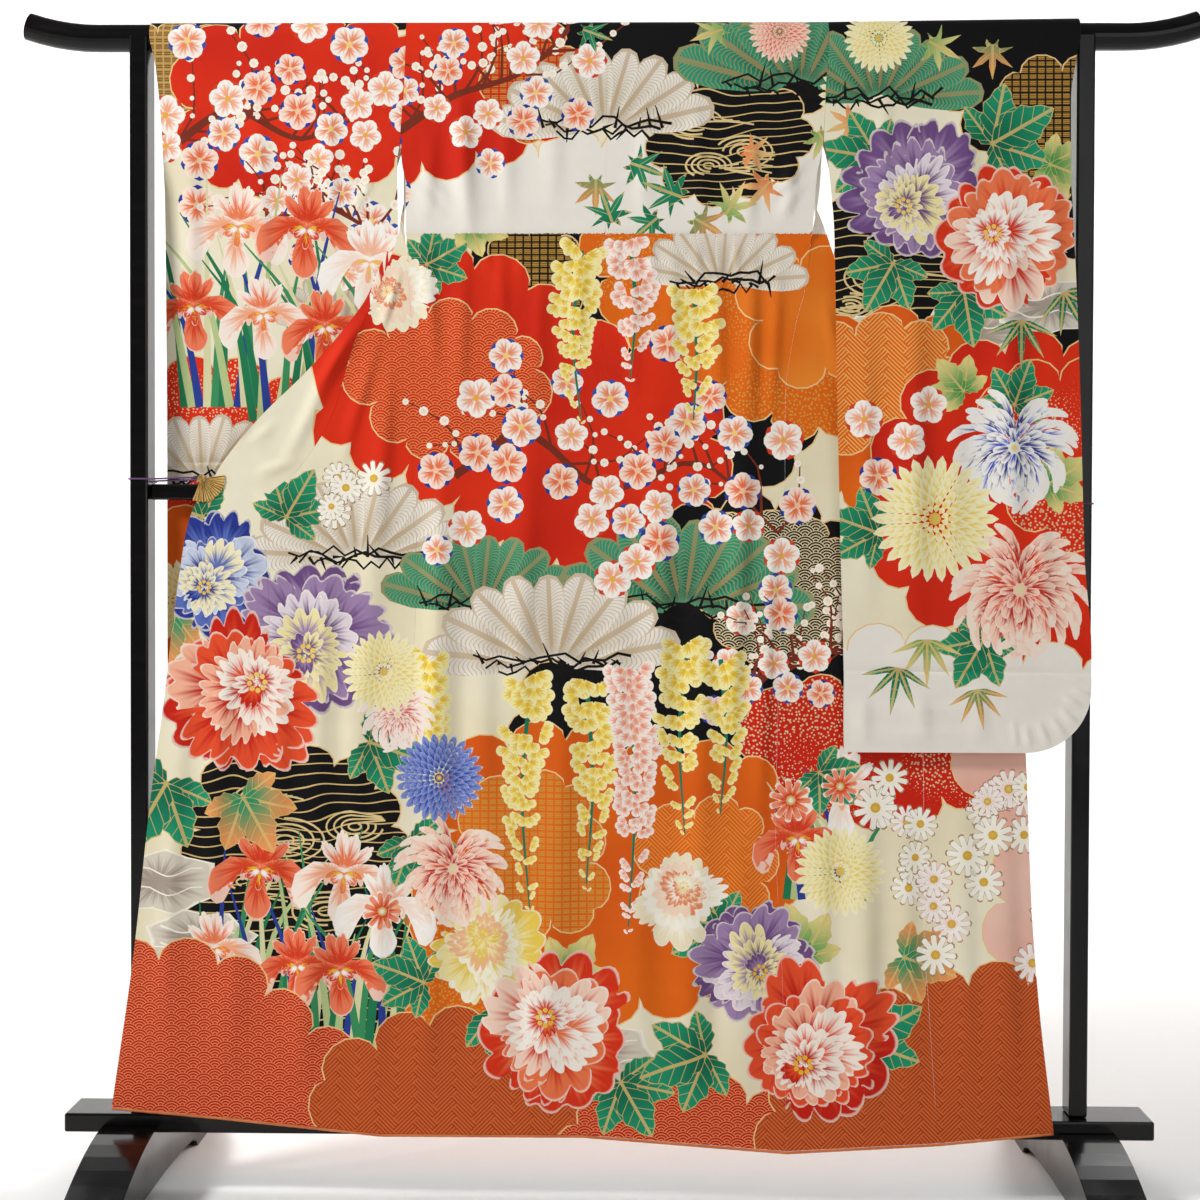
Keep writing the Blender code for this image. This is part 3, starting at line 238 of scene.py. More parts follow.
RIGHT_SLEEVE_FAR_FREE = stations(
    (0.183, 0.3027, -0.0010), (0.220, 0.3110, -0.0100), (0.260, 0.3180, -0.0185), (0.313, 0.3250, -0.0258),
    (0.510, 0.3280, -0.0285), (0.900, 0.3340, -0.0345), (1.000, 0.3337, -0.0360), (1.030, 0.3337, -0.0395),
    (1.050, 0.3340, -0.0435),
)
COLLAR_LEFT_FREE = stations(
    (0.068, -0.0560, 0.0255), (0.100, -0.0700, 0.0290), (0.141, -0.0960, 0.0320), (0.180, -0.1320, 0.0345),
    (0.217, -0.1660, 0.0360), (0.243, -0.2015, 0.0360), (0.268, -0.2380, 0.0340), (0.2885, -0.2795, 0.0220),
)
COLLAR_RIGHT_FREE = stations(
    (0.068, 0.0480, 0.0255), (0.100, 0.0620, 0.0290), (0.141, 0.0910, 0.0320), (0.180, 0.1290, 0.0335),
    (0.217, 0.1660, 0.0330), (0.243, 0.2015, 0.0310), (0.268, 0.2380, 0.0280), (0.2885, 0.2730, 0.0160),
)
SLEEVE_CORNER = 0.090
# The places down where a sleeve stops being sewn to the body, and where its cuff stops being open
SEWN_TO = 0.183
CUFF_OPENS_TO = 0.270
LAYER_SPACING = 0.0015

BODY_FOLDS = tuple(
    Fold(*row)
    for row in (
        (-0.215, -0.195, 0.10, 0.34, 0.016, 0.0050), (-0.225, -0.245, 0.62, 1.22, 0.018, 0.0085),
        (-0.110, -0.130, 0.36, 1.10, 0.030, 0.0045), (-0.050, -0.085, 0.90, 1.58, 0.026, 0.0045),
        (0.070, 0.060, 0.36, 1.20, 0.030, 0.0045), (0.150, 0.120, 0.95, 1.60, 0.024, 0.0050),
        (0.195, 0.180, 0.38, 1.00, 0.022, 0.0060), (-0.400, -0.430, 1.02, 1.58, 0.028, 0.0060),
        (-0.610, -0.630, 1.15, 1.56, 0.022, 0.0045), (0.350, 0.360, 1.12, 1.60, 0.026, 0.0055),
        (0.540, 0.550, 1.15, 1.58, 0.024, 0.0050),
    )
)
# The folds that the left clip pulls
DOOR_FOLDS = (
    Fold(-0.360, -0.470, 0.44, 0.66, 0.012, 0.0050),
    Fold(-0.330, -0.340, 0.52, 1.00, 0.018, 0.0045),
)
SLEEVE_FOLDS = (
    Fold(0.420, 0.425, 0.30, 1.00, 0.028, 0.0040),
    Fold(0.560, 0.565, 0.25, 0.96, 0.030, 0.0040),
)


def slopes_of(places: Sequence[float], values: Sequence[float]) -> list[float]:
    """Slopes of a smooth curve through the values that never swings past them.

    Args:
        places: Where the values stand, in rising order.
        values: The values.

    Returns:
        One slope for each value.
    """
    steps = [b - a for a, b in zip(places, places[1:])]
    rises = [(b - a) / h for a, b, h in zip(values, values[1:], steps)]
    slopes = [rises[0]]
    for before, after in zip(rises, rises[1:]):
        slopes.append(0.0 if before * after <= 0 else 2 * before * after / (before + after))
    slopes.append(rises[-1])
    return slopes


def smooth_curve(places: Sequence[float], values: Sequence[float], wanted: np.ndarray) -> np.ndarray:
    """The smooth curve through the values, at the wanted places.

    Args:
        places: Where the curve is known.
        values: Its values there.
        wanted: Where it is wanted.

    Returns:
        The values there.
    """
    x = np.asarray(places, float)
    y = np.asarray(values, float)
    m = np.asarray(slopes_of(places, values))
    i = np.clip(np.searchsorted(x, wanted, side="right") - 1, 0, len(x) - 2)
    h = x[i + 1] - x[i]
    t = np.clip((wanted - x[i]) / h, 0.0, 1.0)
    start = y[i] * (1 + 2 * t) * (1 - t) ** 2 + m[i] * h * t * (1 - t) ** 2
    return start + y[i + 1] * t * t * (3 - 2 * t) + m[i + 1] * h * t * t * (t - 1)


class Edge:
    """A smooth edge through a table of stations, and below a change through a second, set a little back."""

    def __init__(
        self,
        upper: Sequence[Station],
        lower: Edge | None = None,
        change: float = BELOW_ALL,
        behind: float = 0.0,
    ) -> None:
        """Sets the edge out.

        Args:
            upper: The stations above the change.
            lower: The edge below it.
            change: The place down where the lower edge takes over.
            behind: How far the edge is set back.
        """
        self.upper = upper
        self.lower = lower
        self.change = change
        self.behind = behind

    def at(self, down: np.ndarray) -> tuple[np.ndarray, np.ndarray]:
        """Across and depth at these distances down.

        Args:
            down: Places down.

        Returns:
            The places across there, and how far out the cloth lies.
        """
        places = [s.down for s in self.upper]
        x = smooth_curve(places, [s.x for s in self.upper], down)
        y = smooth_curve(places, [s.y for s in self.upper], down)
        if self.lower is not None:
            low_x, low_y = self.lower.at(down)
            x = np.where(down <= self.change, x, low_x)
            y = np.where(down <= self.change, y, low_y + self.behind)
        return x, y


def place(x: np.ndarray, down: np.ndarray, y: np.ndarray) -> np.ndarray:
    """Points of the hung cloth, which lie round the rail above its widest line, on the side that y gives.

    Args:
        x: Places across the hung garment, in metres.
        down: Places down from the rail's top, in metres.
        y: How far out the cloth lies.

    Returns:
        The points in space.
    """
    turn = np.clip(down / QUARTER, 0.0, 1.0) * math.pi / 2
    z = np.where(down >= QUARTER, RAIL_AXIS - (down - QUARTER), RAIL_AXIS + np.abs(y) * np.cos(turn))
    return np.stack([x, y * np.sin(turn), z], axis=-1)


def fold_rise(folds: Sequence[Fold], x: np.ndarray, down: np.ndarray) -> np.ndarray:
    """How far the folds lift the cloth at these places.

    Args:
        folds: The large folds.
        x: Places across the hung garment, in metres.
        down: Places down from the rail's top, in metres.

    Returns:
        How far the cloth rises there.
    """
    rise = np.zeros_like(x)
    for fold in folds:
        along = np.clip((down - fold.top) / (fold.foot - fold.top), 0.0, 1.0)
        middle = fold.x_top + (fold.x_foot - fold.x_top) * along
        rise += fold.height * np.sin(math.pi * along) * np.exp(-(((x - middle) / fold.half_width) ** 2))
    return rise


@dataclass(frozen=True)
class Crease:
    """A narrow crease pressed or pulled into the silk, from one place of the plan to another.

    A positive height stands proud of the cloth, and a negative one is a trough. Its two sides differ in
    width.
    """

    x: float
    down: float
    to_x: float
    to_down: float
    near_width: float
    far_width: float
    height: float


def crease_rise(creases: Sequence[Crease], x: np.ndarray, down: np.ndarray) -> np.ndarray:
    """How far the creases lift the cloth at these places.

    Args:
        creases: The narrow creases.
        x: Places across the hung garment, in metres.
        down: Places down from the rail's top, in metres.

    Returns:
        How far the cloth rises there.
    """
    rise = np.zeros_like(x)
    for crease in creases:
        run = np.array([crease.to_x - crease.x, crease.to_down - crease.down])
        length = float(np.hypot(*run))
        run /= length
        along = ((x - crease.x) * run[0] + (down - crease.down) * run[1]) / length
        off = (x - crease.x) * run[1] - (down - crease.down) * run[0]
        width = np.where(off > 0, crease.near_width, crease.far_width)
        ends = np.clip(along, 0, 1) * np.clip(1 - along, 0, 1) * 4
        rise += crease.height * np.sqrt(np.clip(ends, 0, 1)) * ends * np.exp(-((off / width) ** 2))
    return rise


def stillness(holds: Sequence[tuple[float, ...]], x: np.ndarray, down: np.ndarray) -> np.ndarray:
    """How freely the cloth can crease, from 0 where something holds it flat to 1 well away from there.

    Args:
        holds: The places where the cloth is held flat.
        x: Places across the hung garment, in metres.
        down: Places down from the rail's top, in metres.

    Returns:
        How free the cloth is there, from 0 to 1.
    """
    free = np.ones_like(x)
    for middle, level, half_width, half_height in holds:
        aside = np.maximum(np.abs(x - middle) - half_width, 0.0)
        apart = np.maximum(np.abs(down - level) - half_height, 0.0)
        free *= np.clip(np.hypot(aside, apart) / HOLD_FADE, 0.0, 1.0)
    return free


# The waist tuck's place down, its two folds, the creases of the folded sleeves, and how much deeper the
# creases are made than the real ones, so that they show in soft light
TUCK = 0.3155
TUCK_ROWS = (0.3145, 0.3165)
PRESSED_ROWS = (0.6360, 0.6385, 0.6405, 0.6430, 0.9300, 0.9330, 0.9350, 0.9365, 0.9385, 0.9410)
DEPTH = 1.55
# Over what distances creases fade in beside a hold, where the cloth's normal is measured, how far out the
# large folds begin and fade in, and where a piece that turns over its edge changes sides
HOLD_FADE = 0.03
NORMAL_STEP = 0.0015
FOLD_FROM = 0.012
FOLD_FADE = 0.006
TURN_FADE = 0.010


def creases(*rows: tuple[float, ...]) -> tuple[Crease, ...]:
    """Creases from rows in millimetres: start, end, the widths of the two sides, and the height."""
    return tuple(Crease(*[value / 1000 for value in (*row[:-1], row[-1] * DEPTH)]) for row in rows)


BACK_CREASES = creases(
    (-215, 100, -200, 330, 10, 16, 3.0), (-250, 160, -262, 312, 8, 12, 2.4),
    (-150, 120, -146, 312, 14, 10, 2.2), (-75, 80, -83, 300, 12, 18, 1.8), (50, 120, 47, 318, 16, 11, 2.0),
    (120, 100, 133, 312, 10, 15, 2.6), (205, 140, 196, 330, 9, 14, 3.2), (262, 170, 250, 308, 7, 10, 2.4),
    (-286, 205, -215, 282, 5, 9, 1.8), (-284, 232, -230, 300, 5, 8, 1.4), (286, 205, 222, 276, 5, 9, 1.8),
    (280, 236, 236, 302, 5, 8, 1.4), (-262, 317, -245, 520, 8, 13, 3.4), (-228, 317, -236, 400, 5, 7, 1.6),
    (-205, 317, -215, 600, 10, 16, 3.0), (-176, 317, -172, 380, 5, 6, 1.4),
    (-155, 317, -150, 470, 8, 12, 2.2), (-122, 317, -126, 392, 5, 8, 1.4), (-95, 317, -105, 560, 12, 9, 2.2),
    (-64, 317, -62, 372, 5, 6, 1.2), (-40, 317, -46, 500, 9, 14, 1.8), (10, 317, 8, 384, 6, 8, 1.2),
    (30, 317, 34, 580, 12, 9, 2.0), (62, 317, 60, 390, 5, 8, 1.4), (92, 317, 86, 520, 9, 12, 2.2),
    (124, 317, 128, 396, 5, 7, 1.6), (150, 317, 160, 640, 10, 15, 3.4), (182, 317, 180, 402, 5, 6, 1.8),
    (205, 317, 200, 600, 8, 13, 3.8), (242, 325, 228, 620, 8, 10, 3.2), (-235, 560, -262, 1200, 12, 20, 4.6),
    (-180, 700, -172, 1300, 16, 22, 3.2), (-205, 900, -215, 1350, 10, 14, -1.4),
    (-110, 620, -128, 1050, 14, 20, 2.8), (-60, 800, -75, 1400, 18, 24, 2.8),
    (18, 700, 10, 1200, 16, 22, 2.4), (82, 620, 70, 1100, 14, 20, 3.0), (104, 800, 98, 1250, 10, 13, -1.3),
    (140, 740, 125, 1300, 16, 20, 3.8), (196, 600, 170, 1100, 12, 18, 4.6),
    (236, 660, 210, 1240, 10, 15, 4.0), (-240, 1150, -262, 1560, 18, 26, 4.2),
    (-150, 1100, -160, 1560, 20, 30, 3.8), (-85, 1180, -90, 1570, 20, 26, 3.2),
    (-118, 1250, -126, 1540, 10, 14, -1.4), (40, 1120, 50, 1580, 20, 28, 3.6),
    (110, 1200, 118, 1580, 18, 24, 4.0), (150, 1260, 160, 1560, 10, 13, -1.4),
    (185, 1120, 196, 1590, 20, 26, 4.6), (-560, 655, -470, 580, 6, 10, 3.2),
    (-560, 668, -436, 638, 6, 10, 3.4), (-560, 682, -428, 712, 7, 10, 3.0),
    (-566, 700, -478, 830, 8, 12, 2.8), (-540, 640, -505, 560, 5, 7, 2.0), (-340, 420, -430, 560, 8, 12, 3.2),
    (-325, 450, -385, 660, 8, 12, 2.8), (-310, 480, -330, 800, 10, 14, 3.2),
    (-295, 360, -330, 470, 5, 8, 2.4), (-400, 740, -420, 1200, 14, 20, 3.6),
    (-350, 800, -362, 1300, 16, 20, 3.2), (-376, 900, -386, 1250, 8, 12, -1.3),
    (-460, 860, -480, 1340, 14, 20, 3.2), (-540, 820, -575, 1400, 14, 20, 3.6),
    (-600, 900, -640, 1500, 12, 18, 3.0), (-420, 1250, -440, 1560, 18, 24, 3.8),
    (-520, 1220, -540, 1560, 18, 24, 3.4), (-318, 1000, -330, 1560, 16, 22, 3.4),
    (300, 1020, 312, 1590, 16, 22, 3.6), (365, 1060, 372, 1590, 16, 20, 3.8),
    (420, 1080, 430, 1580, 14, 20, 3.2), (500, 1050, 512, 1580, 16, 22, 3.6),
    (560, 1080, 575, 1570, 14, 20, 3.2), (545, 660, 460, 600, 6, 9, 2.2), (545, 674, 440, 662, 6, 9, 2.2),
    (548, 690, 460, 752, 6, 9, 2.2), (300, 400, 360, 600, 8, 12, 2.2), (320, 700, 332, 1050, 12, 18, 2.4),
    (400, 760, 410, 1080, 12, 18, 2.2), (470, 760, 482, 1080, 12, 18, 2.2),
)
RIGHT_SLEEVE_CREASES = creases(
    (430, 300, 436, 900, 16, 22, 3.2), (560, 220, 572, 880, 16, 22, 3.0), (622, 150, 630, 560, 12, 16, 2.4),
    (362, 400, 366, 880, 12, 16, 2.6), (500, 60, 508, 330, 12, 18, 2.0), (392, 90, 384, 300, 9, 14, 2.2),
    (318, 215, 372, 300, 5, 9, 1.8), (490, 500, 486, 820, 14, 18, 1.8), (610, 640, 616, 900, 10, 14, 2.0),
    (640, 970, 672, 986, 4, 6, 1.8), (634, 984, 664, 1010, 4, 6, 2.0), (622, 996, 648, 1030, 4, 5, 2.0),
    (606, 1004, 624, 1042, 4, 5, 1.8), (588, 1008, 598, 1046, 4, 6, 1.6), (652, 958, 684, 968, 3, 5, 1.6),
    (572, 1000, 578, 1046, 3, 5, 1.2), (330, 985, 560, 990, 8, 14, 1.3), (340, 1022, 540, 1026, 8, 12, 1.1),
    (440, 955, 446, 1046, 12, 18, 2.0), (360, 960, 364, 1046, 10, 14, 1.8),
    (520, 945, 528, 1044, 12, 16, 1.8),
)
PRESSED_CREASES = creases(
    (240, 935, 770, 939, 7, 1.8, -2.6), (240, 640, 760, 641, 5, 1.8, -1.3),
    (-720, 937, -220, 938, 7, 1.8, -2.6), (-720, 640, -220, 641, 5, 1.8, -1.0),
)
# Where the rail and the clips keep the cloth flat: the middle, across and down, and half the size each way
TOP_HOLD = (0.0, 0.0, 0.9, 0.020)
CLIP_HOLDS = (TOP_HOLD, (-0.545, 0.660, 0.038, 0.040), (0.530, 0.660, 0.038, 0.040))
RAIL_HOLDS = (TOP_HOLD, (-0.460, 0.681, 0.200, 0.024))
LEFT_SLEEVE_CREASES = creases(
    (-600, 120, -606, 520, 12, 18, 3.0), (-505, 90, -496, 420, 12, 18, 2.6),
    (-402, 110, -396, 340, 10, 14, 2.4), (-330, 215, -372, 300, 5, 9, 1.6),
    (-556, 500, -552, 900, 14, 20, 2.8), (-450, 460, -446, 860, 14, 20, 2.6),
    (-360, 420, -356, 880, 12, 16, 2.2), (-618, 968, -634, 990, 4, 6, 1.8),
    (-602, 990, -620, 1020, 4, 5, 2.0), (-580, 1002, -590, 1040, 4, 5, 1.8),
    (-556, 1006, -560, 1046, 4, 6, 1.6), (-480, 950, -484, 1044, 12, 16, 1.8),
    (-390, 952, -386, 1044, 12, 16, 1.8),
)


# The collar: its fold over the rail, how far each row eases off the front's edge, its neck and its two ends
FRONT_TURN = 0.058
COLLAR_EASE = (0.0, 0.0, 0.0001, 0.0001, 0.0002, 0.0003, 0.0009, 0.0034)
COLLAR_NECK_X = (-0.0700, -0.0350, -0.0040, 0.0280, 0.0620)
COLLAR_END_DOWN = (0.375, 0.410, 0.445, 0.510, 0.582, 0.646, 0.690)
COLLAR_END_WIDTH = (0.010, 0.022, 0.036, 0.048, 0.050, 0.050, 0.046)
COLLAR_END_BEHIND = 0.0017
HEM_ROLL_RADIUS = 0.0020
HEM_ROLL_GAP = SEAM + 0.0002


def linear(code: str) -> tuple[float, float, float]:
    """A colour's linear values from its sRGB hex code."""
    parts = [int(code[i : i + 2], 16) / 255 for i in (0, 2, 4)]
    return tuple(p / 12.92 if p <= 0.04045 else ((p + 0.055) / 1.055) ** 2.4 for p in parts)


class Drawing(Enum):
    """How the fine lines inside a dyed shape are drawn."""

    PLAIN = "plain dyed crepe"
    PETAL = "petal with shaded rim"
    LEAF = "leaf with gold veins"
    NEEDLES = "pine needles in gold"
    WAVES = "sea wave scales"
    WICKER = "wicker of three lines"
    BROCADE = "gold brocade blocks"
    SPOTS = "strewn dots"
    WATER = "flowing water"
    LINING = "plain silk lining"


@dataclass
class Shape:
    """One dyed shape of the print: its outline in the plan, its drawing, its two colours, and its own frame.

    It shows only between the two places down that its window gives, as the waist tuck hides the rest.
    """

    outline: np.ndarray
    drawing: Drawing
    first: tuple[float, float, float]
    second: tuple[float, float, float]
    middle: tuple[float, float] | None = None
    turn: float = 0.0
    window: tuple[float, float] = (0.0, BELOW_ALL)

    def local(self, x: np.ndarray, down: np.ndarray) -> np.ndarray:
        """Places in the shape's own frame, where its outline lies at a distance of 1 from its middle.

        A leaf's frame isn't bent to its outline. The third value is the distance for every shape.

        Args:
            x: Places across, in metres.
            down: Places down, in metres.

        Returns:
            The places in the shape's own frame, with the share of the way to its outline.
        """
        if self.middle is None:
            return np.stack([x, down, np.zeros_like(x)], axis=-1)
        dx = self.outline[:, 0] - self.middle[0]
        dy = self.outline[:, 1] - self.middle[1]
        angles = np.arctan2(dy, dx)
        order = np.argsort(angles)
        reach = np.hypot(dx, dy)[order]
        px = x - self.middle[0]
        py = down - self.middle[1]
        way = np.arctan2(py, px)
        rim = np.interp(way, angles[order], reach, period=2 * math.pi)
        away = np.hypot(px, py)
        part = away / np.maximum(rim, 1e-6)
        reach = away / reach.max() if self.drawing is Drawing.LEAF else part
        own = way - self.turn
        return np.stack([reach * np.cos(own), reach * np.sin(own), part], axis=-1)


INK = "ink"
SECOND_INK = "second_ink"
SPOT = "spot"


@dataclass
class Sheet:
    """One silk piece between two borders, with a row from the left one to the right one at each place.

    Attributes:
        name: The solid that it stands for.
        downs: The rows' nominal places down.
        left: Across, down and depth of each row's left end.
        right: The same for its right end.
        width: The cut width, in metres.
        folds: Its large folds.
        creases: Its narrow creases.
        mirrored: Whether the plan is turned over, for cloth that faces away from the viewer.
        corner: Which foot corner is rounded, if any.
        lining: The colours of the inner side at the top and at the foot.
        turns: Whether it comes round from the far side to the near one.
        pressed: The places down where a sharp crease or tuck crosses it.
        own_plan: Whether its print is laid out along it, and not in the garment's plan.
        holds: Where a clip or the rail keeps it flat: the middle, across and down, and half the size each
            way.
    """

    name: str
    downs: np.ndarray
    left: np.ndarray
    right: np.ndarray
    width: float
    folds: Sequence[Fold] = ()
    creases: Sequence[Crease] = ()
    mirrored: bool = False
    corner: str = ""
    lining: tuple[str, str] = ("F3EEE4", "F3EEE4")
    turns: bool = False
    pressed: Sequence[float] = ()
    own_plan: bool = False
    holds: Sequence[tuple[float, ...]] = ()

    @classmethod
    def along(cls, name: str, left: np.ndarray, right: np.ndarray, **more: Any) -> Sheet:
        """A band whose print is laid out along its own length.

        Args:
            name: The solid that it stands for.
            left: Across, down and depth of each row's start.
            right: The same for each row's end.
            more: The band's other facts.

        Returns:
            The band, with its rows a few millimetres apart.
        """
        steps = np.linalg.norm(np.diff((left + right) / 2, axis=0), axis=1)
        places = np.concatenate([[0.0], np.cumsum(steps)])
        downs = np.linspace(0.0, places[-1], int(places[-1] / 0.003))
        borders = [np.stack([np.interp(downs, places, b[:, k]) for k in range(3)], -1) for b in (left, right)]
        width = float(np.linalg.norm(right - left, axis=1).mean())
        return cls(name, downs, *borders, width=width, own_plan=True, **more)

    @classmethod
    def between(
        cls, name: str, left: Edge, right: Edge, rows: Sequence[tuple[float, float]], **more: Any
    ) -> Sheet:
        """A sheet between two edges.

        Args:
            name: The solid that it stands for.
            left: The edge where its rows begin.
            right: The edge where they end.
            rows: How far down each row lies at its two ends.
            more: The sheet's other facts.

        Returns:
            The sheet, with its rows made dense.
        """
        ends = np.asarray(rows, float)
        nominal = ends.mean(axis=1)
        downs = np.linspace(nominal[0], nominal[-1], 360)
        borders = []
        for edge, column in ((left, 0), (right, 1)):
            down = np.interp(downs, nominal, ends[:, column])
            x, y = edge.at(down)
            borders.append(np.stack([x, down, y], axis=-1))
        inset = np.copysign(SEAM / 2, borders[1][:, 0] - borders[0][:, 0])
        borders[0][:, 0] += inset
        borders[1][:, 0] -= inset
        return cls(name, downs, borders[0], borders[1], **more)

    def flat_points(self, s: np.ndarray, down: np.ndarray) -> np.ndarray:
        """Across, down and depth before the folds, at these places across and down the piece.

        Args:
            s: Places across the sheet, from 0 at its left border to 1 at its right one.
            down: Places down it.

        Returns:
            The points on the straight lines between the borders.
        """
        start, end = (
            np.stack([np.interp(down, self.downs, border[:, k]) for k in range(3)], -1)
            for border in (self.left, self.right)
        )
        return start + (end - start) * s[:, None]

    def points(self, s: np.ndarray, down: np.ndarray, out: float = 0.0) -> np.ndarray:
        """Points on the cloth, out from its middle surface by a distance.

        Args:
            s: Places across the sheet, from 0 at its left border to 1 at its right one.
            down: Places down it.
            out: How far above the middle of the cloth, in metres.

        Returns:
            The points in space.
        """
        found = self.hung(s, down)
        if out:
            aside = NORMAL_STEP / self.width
            across = self.hung(s + aside, down) - self.hung(s - aside, down)
            along = self.hung(s, down + NORMAL_STEP) - self.hung(s, down - NORMAL_STEP)
            normal = np.cross(across, along)
            normal /= np.maximum(np.linalg.norm(normal, axis=1, keepdims=True), 1e-12)
            found = found + normal * out * self.outward()
            found[:, 0] += SEAM_SLANT * (0.5 - out / SHELL)
        return found

    def hung(self, s: np.ndarray, down: np.ndarray) -> np.ndarray:
        """Points on the cloth's middle surface.

        Args:
            s: Places across the sheet, from 0 at its left border to 1 at its right one.
            down: Places down it.

        Returns:
            The points in space, with the folds and creases.
        """
        x, depth, y = self.flat_points(s, np.clip(down, self.downs[0], self.downs[-1])).T
        near = np.clip((-FOLD_FROM - y) / FOLD_FADE, 0.0, 1.0) if not self.mirrored else 1.0
        side = 1.0 if self.mirrored else -1.0
        rise = side * (fold_rise(self.folds, x, depth) * near)
        way = np.clip(y / TURN_FADE, -1.0, 1.0) if self.turns else side
        rise += way * crease_rise(self.creases, x, depth) * stillness(self.holds, x, depth)
        if self.corner:
            rise -= crease_rise(PRESSED_CREASES, x, depth)
        return place(x, np.maximum(depth, SEAM / 2), y + rise)

    def outward(self) -> float:
        """1 where across times down points out of the printed side, and -1 where it points in.

        Returns:
            1 or -1, for the side on which the printed face lies.
        """
        s = np.full(1, 0.5)
        down = np.full(1, self.downs[len(self.downs) * 3 // 4])
        across = self.hung(s + 0.01, down) - self.hung(s - 0.01, down)
        along = self.hung(s, down + 0.004) - self.hung(s, down - 0.004)
        towards = float(np.cross(across, along)[0, 1])
        return math.copysign(1.0, towards if self.mirrored else -towards)

    def find(self, x: np.ndarray, down: np.ndarray) -> tuple[np.ndarray, np.ndarray]:
        """Where places of the plan lie on the piece, across from 0 to 1 and down.

        Args:
            x: Places across the plan.
            down: Places down it.

        Returns:
            The same places as shares across the sheet and places down it.
        """
        s = np.full_like(x, 0.5)
        rows = self.downs
        for _ in range(5):
            lines = self.left[:, 1][None, :] * (1 - s[:, None]) + self.right[:, 1][None, :] * s[:, None]
            i = np.clip((lines < down[:, None]).sum(axis=1), 1, len(rows) - 1)
            picked = np.arange(len(x))
            low = lines[picked, i - 1]
            part = (down - low) / np.maximum(lines[picked, i] - low, 1e-9)
            nominal = rows[i - 1] + np.clip(part, -20, 20) * (rows[i] - rows[i - 1])
            start = np.interp(nominal, rows, self.left[:, 0])
            end = np.interp(nominal, rows, self.right[:, 0])
            span = np.where(np.abs(end - start) < 0.004, 0.004, end - start)
            s = np.clip((x - start) / span, -1.5, 2.5)
        return s, nominal


